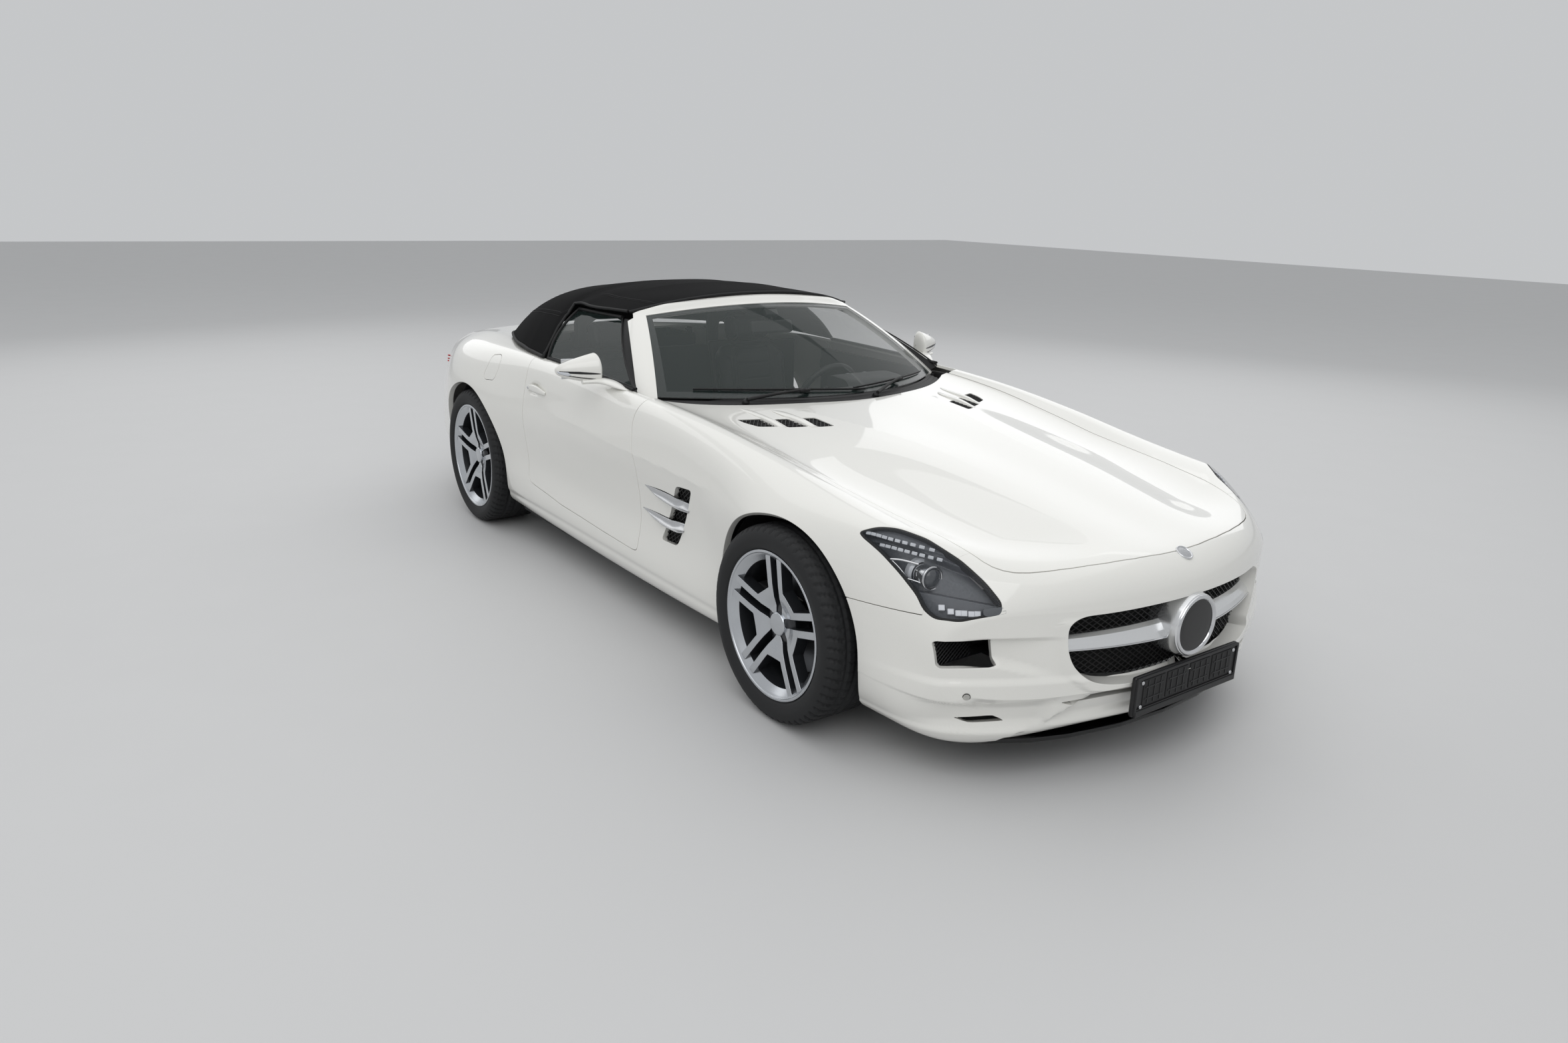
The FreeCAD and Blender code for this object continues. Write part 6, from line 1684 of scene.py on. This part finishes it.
def top_relief(points, t):
    """Fabric drawn down a little between its bows, with raised seams over the windows."""
    y = points[:, 1]
    sag = np.zeros(len(y))
    for start, end in zip(BOWS[:-1], BOWS[1:]):
        share = (y - start) / (end - start)
        sag = np.where((share > 0) & (share < 1), 4 * share * (1 - share), sag)
    reach = np.abs(t)
    crown = ease((0.78 - reach) / 0.35)
    seam = (1.6 * np.exp(-((reach - 0.80) * 700 / 5.0) ** 4) +
            1.4 * np.exp(-((y - 1180) / 5.0) ** 4) * (reach < 0.8))
    hem_roll = 2.2 * np.exp(-((1.0 - reach) * 700 / 14.0) ** 2)
    return -4.5 * sag * crown + seam + hem_roll


def top_shape(u, v, slopes=True):
    def raised(a, b):
        flat = top_at(a, b)
        normal = unit(np.cross(top_at(a + 1, b) - top_at(a - 1, b), top_at(a, b + 1) - top_at(a, b - 1)))
        normal = np.where(normal[:, 2:] > 0, normal, -normal)
        return flat + normal * top_relief(flat, np.asarray(b) / 1000.0)[:, None]
    points = raised(u, v)
    if not slopes:
        return points
    normal = unit(np.cross(raised(u + 1.5, v) - raised(u - 1.5, v), raised(u, v + 1.5) - raised(u, v - 1.5)))
    middle = np.array([0.0, 700.0, 700.0])
    return points, np.where(((points - middle) * normal).sum(axis=1, keepdims=True) > 0, normal, -normal)


top_u, top_v = mesh_grid(np.linspace(2, 1198, 190), 999 * np.sin(np.linspace(-1, 1, 151) * math.pi / 2))
sheet_part = shell_part(top_shape, top_u, top_v, hem=9.0, edge=1.0,
                        trims=[lambda p: np.where(p[:, 2] > 1000, -polygon_inside(p[:, :2], WINDOW), FAR)])
top_cloth = put_parts("soft_top_fabric", [sheet_part], "body", [fabric], replaces=["soft_top"])


def top_line(u, v, down, out, radius, segments=10):
    """Bar along a line of places on the fabric, moved down and out of it."""
    points, normals = top_shape(*(np.broadcast_to(np.asarray(place, float), max(np.size(u), np.size(v)))
                                  for place in (u, v)))
    return pipe(points - [0, 0, down] + normals * out, radius, 0, segments)


foot_u, side_u, front_v = np.linspace(486, 1198, 120), np.linspace(4, 500, 90), np.linspace(-990, 990, 90)
strips = [top_line(foot_u, sign * 998, 1, 1, 7.5) for sign in (1, -1)]
strips += [top_line(3, front_v, 0, -4, 6.5), top_line(1197, front_v, 0, 0, 7.5)]
strips += [top_line(side_u, sign * 998, 0, -1, 6.5) for sign in (1, -1)]
put_parts("top_seals", strips, "body", [rubber_seal])
put_parts("top_stitches", [top_line(np.linspace(30, 1100, 260), sign * lane, 0, 0.7, 0.7, 5)
                           for sign in (1, -1) for lane in (788, 812)], "body", [black_matte])

# Rear window: heated glass with a dark border, bonded into the fabric
window_u, window_v = mesh_grid(np.linspace(600, 1100, 70), np.linspace(-560, 560, 90))


def rear_glass(u, v, slopes=True):
    points, normals = top_shape(u, v)
    points = points - normals * 4.0
    return (points, normals) if slopes else points


def in_window(points):
    return polygon_inside(points[:, :2], WINDOW)


glass = shell_part(rear_glass, window_u, window_v, hem=3.0, trims=[in_window])
border = shell_part(rear_glass, window_u, window_v, hem=6.0, trims=[in_window, lambda p: 22 - in_window(p)])
put_parts("rear_window_pane", [glass], "body", [pane], replaces=["rear_window"])
put_parts("rear_window_border", [border], "body", [frit])


# Cabin: leather trim with stitched panels on the dashboard, doors and console
leather = grain(material("cabin_leather", "19191A", 0.5), 900.0, 0.1, 0.0002, colours=("151516", "1F1F20"),
                rough=(0.42, 0.6))
trim_silver = grain(material("trim_silver", "9A9C9F", 0.3, 1.0), 300.0, 0.05, rough=(0.24, 0.36))


def lofted(outline, x0, x1, count):
    """Part with a side outline drawn across the car, rounded at both ends."""
    outline = rounded(outline, 22, 5)
    middle = outline.mean(axis=0)
    share = np.linspace(0, 1, count)
    scale = 1 - 0.10 * np.exp(-share * 26) - 0.10 * np.exp(-(1 - share) * 26)
    flat = middle + (outline - middle) * scale[:, None, None]
    across = np.broadcast_to((x0 + (x1 - x0) * share)[:, None, None], flat[..., :1].shape)
    return swept(np.concatenate([across, flat], axis=2))


dash_parts = [lofted([(-512, 610), (-512, 790), (-430, 836), (-320, 852), (-225, 836), (-190, 790),
                      (-210, 705), (-255, 645), (-330, 605)], -742, 742, 60),
              lofted([(-380, 840), (-200, 800), (-178, 878), (-215, 898), (-335, 892)], 215, 545, 30),
              brick((0, -196, 735), (100, 16, 66), 8), brick((0, -180, 764), (84, 3, 30), 2, pick=2)]
for px in (-640, -92, 92, 640):
    nozzle = ((px, -204, 792), (0, 0.96, 0.28))
    dash_parts += [round_part([(-20, 44), (8, 44), (12, 40), (8, 34), (4, 32)], *nozzle, 1, 48),
                   round_part([(4, 32), (6, 18), (6, 0.1)], *nozzle, 2, 40)]
for px in (330, 430):
    dial = ((px, -190, 848), (0, 0.95, 0.3))
    dash_parts += [round_part([(-6, 46), (6, 46), (8, 43), (2, 41)], *dial, 1, 48, 1.5),
                   round_part([(2, 41), (2.4, 20), (2.5, 0.1)], *dial, 2, 40)]
dash_parts += [pipe([(380, -60, 716), (380, -200, 662), (380, -290, 626)], 27, 0, 20),
               brick((-400, -196, 716), (230, 10, 5), 3, pick=1)]
put_parts("dashboard_dressed", dash_parts, "body", [leather, trim_silver, black_gloss],
          replaces=["dashboard"])

console_parts = [lofted([(-258, 436), (-205, 690), (-130, 650), (20, 508), (430, 506), (800, 524),
                         (818, 436)], -112, 112, 24),
                 brick((0, 120, 512), (62, 90, 5), 4, pick=1), brick((0, 560, 548), (88, 190, 26), 14),
                 round_part([(0, 20), (40, 13), (58, 22), (84, 24), (92, 14), (93, 0.1)], (0, 120, 512),
                            (0, 0.1, 1), 0, 36),
                 brick((42, 255, 515), (26, 46, 4), 3, pick=2)]
put_parts("console_dressed", console_parts, "body", [leather, trim_silver, black_gloss],
          replaces=["centre_console"])

# Steering wheel: leather rim with a flat foot, three spokes and a padded hub
WHEEL_CENTRE = np.array([380.0, 15.0, 745.0])
COLUMN_AXIS = unit(np.array([0, 0.93, 0.367]))
wheel_up = np.array([0, -COLUMN_AXIS[2], COLUMN_AXIS[1]])


def in_wheel(across, up, out):
    """Point in the steering wheel's own plane."""
    across, up, out = np.broadcast_arrays(across, up, out)
    return (WHEEL_CENTRE + np.asarray(across)[..., None] * np.array([1.0, 0, 0]) +
            np.asarray(up)[..., None] * wheel_up + np.asarray(out)[..., None] * COLUMN_AXIS)


turn = np.linspace(0, 2 * math.pi, 97)[:, None]
tube = np.linspace(0, 2 * math.pi, 17)[:-1]
reach = 167.0 - 14.0 * np.exp(-((turn % (2 * math.pi) - 1.5 * math.pi) / 0.45) ** 2)
thick = 14.5 + 1.6 * np.cos(2 * turn) ** 2
out = reach + thick * np.cos(tube)
wheel_axes = np.stack([[1.0, 0, 0], wheel_up, COLUMN_AXIS])
steer_parts = [swept(in_wheel(out * np.cos(turn), out * np.sin(turn), thick * np.sin(tube)), caps=False),
               round_part([(-38, 40), (-22, 58), (-6, 66), (6, 60), (12, 44), (14, 20), (14.4, 0.1)],
                          WHEEL_CENTRE, COLUMN_AXIS, 0, 56)]
for across, up, out, half, radius, pick in (
        (102, 4, -8, (56, 17, 6), 5, 1), (16, -96, -10, (8, 56, 5), 4, 1),
        (84, -6, 0, (12, 5, 3), 2.4, 2), (84, 8, 0, (12, 5, 3), 2.4, 2)):
    for side, body_side in SIDES:
        steer_parts.append(brick(in_wheel(side * across, up, out), half, radius, wheel_axes, pick))
put_parts("steering_wheel_dressed", steer_parts, "steering_wheel",
          [leather, trim_silver, black_gloss], replaces=["steering_wheel"])

# Door cards: padded leather panels with an armrest, a pull and a speaker on each door's inside
def card_at(y, z):
    """Inner face of the door, drawn in a little at its waist."""
    return np.stack([786.0 - 8 * np.exp(-((z - 800) / 60) ** 2), y, z], axis=1)


card_parts = [patch(card_at, (-1, 0, 0), span(-360, 590, 16), span(365, 885, 14), hem=14.0),
              brick((772, 150, 655), (16, 210, 26), 13), brick((768, 60, 735), (8, 120, 12), 7, pick=1),
              round_part([(0, 84), (6, 82), (7, 76), (3, 70), (4, 40), (5, 0.1)], (784, -200, 500),
                         (-1, 0, 0), 1, 48)]
pair("door_card_", card_parts, "door_", [leather, trim_silver])


# Seats: padded buckets with bolsters and sewn channels, the foam blown up under its cover by
# cloth simulation and then given its seams
def pad_form(half_wide, deep, curve, base, rows=44, columns=56):
    """Closed cushion: a rounded box that follows a side curve, with raised bolsters at its sides."""
    share = np.linspace(0, 1, rows)
    y, z = curve_through(curve, rows).T
    along = unit(np.gradient(np.stack([y, z], axis=1), axis=0))
    face = np.stack([-along[:, 1], along[:, 0]], axis=1)
    turn = np.linspace(0, 2 * math.pi, columns, endpoint=False)
    cosine, sine = np.cos(turn), np.sin(turn)
    across = np.sign(cosine) * np.abs(cosine) ** 0.55
    out = np.sign(sine) * np.abs(sine) ** 0.7
    wide = half_wide * np.interp(share, [0, 0.04, 0.12, 0.5, 0.86, 0.95, 1],
                                 [0.62, 0.86, 0.97, 1.0, 0.97, 0.84, 0.5])
    full = deep * np.interp(share, [0, 0.05, 0.14, 0.85, 0.95, 1], [0.3, 0.7, 1.0, 1.0, 0.72, 0.25])
    bolster = 34.0 * ease((np.abs(across) - 0.60) / 0.22) * (out > -0.2)
    bolster = np.interp(share, [0, 0.1, 0.8, 0.97], [0.3, 1, 1, 0.1])[:, None] * bolster
    push = full[:, None] * out * 0.5 + bolster
    return np.stack([base + wide[:, None] * across, y[:, None] + face[:, :1] * push,
                     z[:, None] + face[:, 1:] * push], axis=2)


def read(mesh, name):
    """Places or outward directions of a mesh's vertices."""
    values = np.empty(len(mesh.vertices) * 3, np.float32)
    mesh.vertices.foreach_get(name, values)
    return values.reshape(-1, 3)


def padded_piece(name, rings, swell, channels):
    """Blow the form up as cloth, cap its movement, then press its sewn channels in."""
    points, normals, groups = swept(rings)
    piece = put(name, points, [group for group, _ in groups], "body", [leather])
    mesh = piece.data
    work = bmesh.new()
    work.from_mesh(mesh)
    bmesh.ops.remove_doubles(work, verts=work.verts, dist=0.0005)
    bmesh.ops.recalc_face_normals(work, faces=work.faces)
    work.to_mesh(mesh)
    work.free()
    remesh = piece.modifiers.new("remesh", "REMESH")
    remesh.mode = "VOXEL"
    remesh.voxel_size = 0.010
    bpy.context.view_layer.objects.active = piece
    piece.select_set(True)
    bpy.ops.object.modifier_apply(modifier="remesh")
    start = read(mesh, "co")
    cloth = piece.modifiers.new("cloth", "CLOTH")
    cloth.settings.use_pressure = True
    cloth.settings.uniform_pressure_force = 4.0
    cloth.settings.effector_weights.gravity = 0.0
    cloth.point_cache.frame_end = 14
    for step in range(1, 13):
        scene.frame_set(step)
    blown = read(piece.evaluated_get(bpy.context.evaluated_depsgraph_get()).data, "co")
    piece.modifiers.remove(cloth)
    scene.frame_set(1)
    move = blown - start
    length = np.linalg.norm(move, axis=1, keepdims=True)
    move = move * np.minimum(1.0, swell * 0.001 / np.maximum(length, 1e-9))
    mesh.vertices.foreach_set("co", (start + move).ravel())
    mesh.update()
    smooth = piece.modifiers.new("finer", "SUBSURF")
    smooth.levels = smooth.render_levels = 1
    bpy.ops.object.modifier_apply(modifier="finer")
    piece.select_set(False)
    place, facing = read(mesh, "co") * 1000.0, read(mesh, "normal")
    sunk_in = channels(place)[:, None]
    mesh.vertices.foreach_set("co", ((place - facing * sunk_in) * 0.001).ravel().astype(np.float32))
    mesh.polygons.foreach_set("use_smooth", np.ones(len(mesh.polygons), dtype=bool))
    mesh.update()


def pad_channels(base, lengthwise, cross, axis):
    """Depth of the sewn seams: along the seat at one width, across it at some places."""
    def depth(points):
        off = np.abs(points[:, 0] - base)
        seams = np.exp(-((off - lengthwise) / 4.0) ** 2)
        for line in cross:
            seams = np.maximum(seams, np.exp(-((points[:, axis] - line) / 4.0) ** 2) * (off < lengthwise))
        return 4.5 * seams
    return depth


for side, body_side in SIDES:
    base = side * 395.0
    seat = pad_form(212, 96, [(70, 268), (200, 282), (400, 262), (540, 250)], base)
    padded_piece("seat_cushion_" + body_side, seat, 9.0,
                 pad_channels(base, 108, (150, 230, 310, 390, 470), 1))
    back = pad_form(208, 92, [(585, 300), (655, 500), (712, 760), (748, 930)], base)
    padded_piece("seat_back_" + body_side, back, 9.0,
                 pad_channels(base, 104, (420, 500, 580, 660, 740, 820, 900), 2))
    head = pad_form(118, 78, [(752, 930), (770, 990), (790, 1062)], base, 24, 40)
    padded_piece("seat_head_" + body_side, head, 6.0, pad_channels(base, 70, (), 2))
shells = []
for sign in (1, -1):
    shells += [brick((sign * 395, 320, 205), (190, 210, 32), 24),
               brick((sign * 395, 742, 640), (196, 16, 300), 14,
                     [[1, 0, 0], [0, 0.96, -0.26], [0, 0.26, 0.96]]),
               brick((sign * 395 + 150, 320, 184), (18, 230, 12), 5, pick=1),
               brick((sign * 395 - 150, 320, 184), (18, 230, 12), 5, pick=1)]
put_parts("seat_shells", shells, "body", [leather, trim_silver], replaces=["seats"])


# Tail lamps: a red cover over a dark tray with light bars, one on each side of the tail
tail_red = material("tail_red", "8E0A0E", 0.06, sockets={"Coat Weight": 1.0, "Alpha": 0.62, "IOR": 1.6})
grain(tail_red, 200.0, 0.0, rough=(0.04, 0.1))
tail_tray = grain(material("tail_tray", "3A0D0F", 0.35, 0.3), 240.0, 0.1, colours=("2C0A0B", "4A1012"))
tail_bar = grain(material("tail_bar", "C8262A", 0.25), 300.0, 0.1, rough=(0.2, 0.35))


def in_tail_lamp(points):
    return np.where(points[:, 1] > 1975, polygon_inside(seen(points, 2), LAMP_REAR), -50.0)


tail_s = np.concatenate([span(1985, 2250, 6), closing(2250, 34)[1:-1]])
tail_s, tail_g = mesh_grid(tail_s, span(380, 1080, 6))
tail_parts = [shell_part(body_skin(sunk(34.0)), tail_s, tail_g, hem=2.0,
                         trims=[lambda p: in_tail_lamp(p) + 6])]
tail_points = surface(tail_s.ravel(), tail_g.ravel())
tail_points = tail_points[tail_points[:, 1] > 2080]
plan_x = np.linspace(440, 770, 60)
for line_z in ((720, 712, 724, 748), (700, 690, 703, 730), (681, 672, 690, 716)):
    goal = np.interp(plan_x, [430, 560, 680, 780], line_z)
    gap = (tail_points[None, :, 0] - plan_x[:, None]) ** 2 + (tail_points[None, :, 2] - goal[:, None]) ** 2
    found = tail_points[gap.argmin(axis=1), 1]
    even = np.convolve(np.pad(found, 4, mode="edge"), np.ones(9) / 9, mode="valid")
    tail_parts.append(pipe(np.stack([plan_x, even - 14, goal], axis=1), 4.2, 1, 8))
tail_cover = shell_part(body_skin(), tail_s, tail_g, hem=3.0, edge=0.6,
                        trims=[lambda p: in_tail_lamp(p) - 1.8])
pair("tail_lamp_", tail_parts, "body", [tail_tray, tail_bar], ["tail_lamps"])
pair("tail_cover_", [tail_cover], "body", [tail_red])

# Diffuser: gloss black tray with upright fins, and an oval chrome exhaust tip on each side
def tray_at(u, x):
    """Tray rising to the rear: u from front to rear edge, x across."""
    share = u / 1000.0
    return np.stack([x, 2000 + 265 * share - 18 * (np.abs(x) / 540) ** 2 * share,
                     196 + 192 * share - 18 * np.sin(math.pi * share)], axis=1)


diffuser_parts = [patch(tray_at, (0, 0.6, -0.8), np.linspace(0, 1000, 30), span(-548, 548, 14), 1.0,
                        hem=14.0)]
share = np.linspace(0.08, 0.97, 24)
drop = np.stack([np.zeros(24), -6 * share, 46 * np.sin(math.pi * share) ** 0.5 + 3], axis=1)
for px in (-300, -150, 0, 150, 300):
    top_edge = tray_at(share * 1000, np.full(24, float(px)))
    ring = [top_edge + [4.5, 0, 6], top_edge + [4.5, 0, 0], top_edge - drop + [2.5, 0, 0],
            top_edge - drop + [0, 0, -1.5], top_edge - drop - [2.5, 0, 0], top_edge - [4.5, 0, 0],
            top_edge + [-4.5, 0, 6]]
    diffuser_parts.append(swept(np.stack(ring, axis=1)))
put_parts("diffuser_dressed", diffuser_parts, "body", [black_gloss], replaces=["rear_diffuser"])
turn = np.linspace(0, 2 * math.pi, 49)[:-1]
squash_x = np.sign(np.cos(turn)) * np.abs(np.cos(turn)) ** 0.72
squash_z = np.sign(np.sin(turn)) * np.abs(np.sin(turn)) ** 0.8
tips = []
for px in (-462, 462):
    rings = []
    for y, wide, high in ((2092, 66, 35), (2180, 70, 37), (2262, 74, 39), (2274, 75, 40), (2279, 73.5, 38.5),
                          (2276, 71, 36), (2262, 69, 34.5), (2140, 66, 33)):
        rings.append(np.stack([px + wide * squash_x, np.full(48, float(y)), 300 + high * squash_z], axis=1))
    outer = swept(np.array(rings[:6]), caps=False)
    # Inner sleeve and closing disc in the near-black sheet material: painted shade for the depth of the pipe.
    points, normals, groups = swept(np.array(rings[5:]), 1, caps=False)
    tips += [outer, (points, -normals, groups)]
    back_wall = np.concatenate([rings[-1], rings[-1].mean(axis=0)[None]])
    k = np.arange(48)
    fan = np.stack([k, (k + 1) % 48, np.full(48, 48)], axis=1)
    tips.append((back_wall, np.tile([0.0, 1.0, 0.0], (49, 1)), [(fan, 1)]))
put_parts("exhaust_tips", tips, "body", [chrome, painted_shade_black])

# Plate recess behind: black back wall with two lamps over it, left blank
recess = patch(lambda x, z: np.stack([x, 2296 - 6 * (np.abs(x) / 280) ** 2, z], axis=1), (0, 1, 0),
               span(-288, 288, 12), span(486, 654, 12), hem=4.0)
recess_parts = [recess] + [brick((px, 2290, 640), (24, 9, 5), 3, pick=1) for px in (-90, 90)]
put_parts("plate_recess", recess_parts, "body", [black_matte, lamp_strip])


# Frame pieces that keep their own shape
liner_felt = grain(material("liner_felt", "0D0D0E", 0.9), 300.0, 0.4, colours=("0A0A0B", "141415"))
under_coat = grain(material("under_coat", "151617", 0.7), 200.0, 0.3, colours=("111213", "1B1C1D"))
liner_parts = []
for arch, radius, x0, x1 in ((FRONT_ARCH, 395.0, 548.5, 858.0), (REAR_ARCH, 391.0, 600.5, 882.0)):
    axle, height = arch[:2]
    below = math.asin(90 / radius)
    section = soft_corners([(radius - 4.5, x0), (radius - 4.5, x1), (radius, x1), (radius, x0),
                            (radius - 4.5, x0)], 1.2, 3)[:-1]
    turn = np.linspace(-below, math.pi + below, 72)[:, None]
    liner_parts.append(swept(np.stack(np.broadcast_arrays(
        section[:, 1], axle + section[:, 0] * np.cos(turn), height + section[:, 0] * np.sin(turn)), axis=2)))
pair("liners_", liner_parts, "body", [liner_felt], ["wheel_liners"])
for node in ("tub", "front_rails", "firewall", "rear_bulkhead", "rear_frame"):
    dress(node, under_coat)
for node in ("front_axle", "rear_axle", "knuckle_left", "knuckle_right", "engine_block"):
    dress(node, caliper_grey)


# Floor, light and camera
floor_mesh = bpy.data.meshes.new("floor")
reach = 30.0
floor_mesh.from_pydata([(-reach, -reach, 0), (reach, -reach, 0), (reach, reach, 0), (-reach, reach, 0)], [],
                       [(0, 1, 2, 3)])
floor = bpy.data.objects.new("floor", floor_mesh)
scene.collection.objects.link(floor)
pale = grain(material("pale_floor", "C9C9C9", 0.6), 3.0, 0.02, rough=(0.5, 0.65))
floor_mesh.materials.append(pale)

world = bpy.data.worlds.new("studio")
scene.world = world
world.use_nodes = True
world.node_tree.nodes["Background"].inputs["Color"].default_value = srgb("F4F6F8")
world.node_tree.nodes["Background"].inputs["Strength"].default_value = 0.62


def soft_light(name, place, target, size, power):
    """Large area lamp aimed at a point."""
    lamp = bpy.data.lights.new(name, "AREA")
    lamp.shape = "RECTANGLE"
    lamp.size, lamp.size_y = size
    lamp.energy = power
    holder = bpy.data.objects.new(name, lamp)
    scene.collection.objects.link(holder)
    holder.location = place
    arm = np.array(target, float) - np.array(place, float)
    flat = math.hypot(arm[0], arm[1])
    holder.rotation_euler = (math.atan2(flat, -arm[2]), 0, math.atan2(arm[1], arm[0]) - math.pi / 2)


soft_light("key", (-5.5, -6.0, 7.5), (0, -0.6, 0.5), (9.0, 7.0), 260)
soft_light("top", (0.5, 0.5, 8.5), (0, 0, 0.5), (13.0, 13.0), 260)
soft_light("rim", (7.0, 2.5, 4.5), (0, 0, 0.6), (7.0, 5.0), 80)
soft_light("tail", (-2.0, 8.0, 4.5), (0, 0.5, 0.6), (7.0, 5.0), 80)

azimuth, elevation, roll = (math.radians(a) for a in (-36.134, 16.872, 1.621))
back = np.array([math.sin(azimuth) * math.cos(elevation), -math.cos(azimuth) * math.cos(elevation),
                 math.sin(elevation)])
right = unit(np.cross([0, 0, 1], back))
upward = np.cross(back, right)
turned_right = math.cos(roll) * right + math.sin(roll) * upward
turned_up = -math.sin(roll) * right + math.cos(roll) * upward
camera_data = bpy.data.cameras.new("camera")
camera_data.sensor_width = 36.0
camera_data.lens = 36.0 * 1625.41 / 2358.0
camera_data.clip_end = 100.0
camera = bpy.data.objects.new("camera", camera_data)
scene.collection.objects.link(camera)
scene.camera = camera
world_matrix = np.eye(4)
world_matrix[:3, 0] = turned_right
world_matrix[:3, 1] = turned_up
world_matrix[:3, 2] = back
world_matrix[:3, 3] = np.array([-2842.9, -4075.3, 1682.8]) * 0.001
camera.matrix_world = Matrix(world_matrix.tolist())
scene.view_settings.view_transform = "Standard"
scene.view_settings.look = "None"
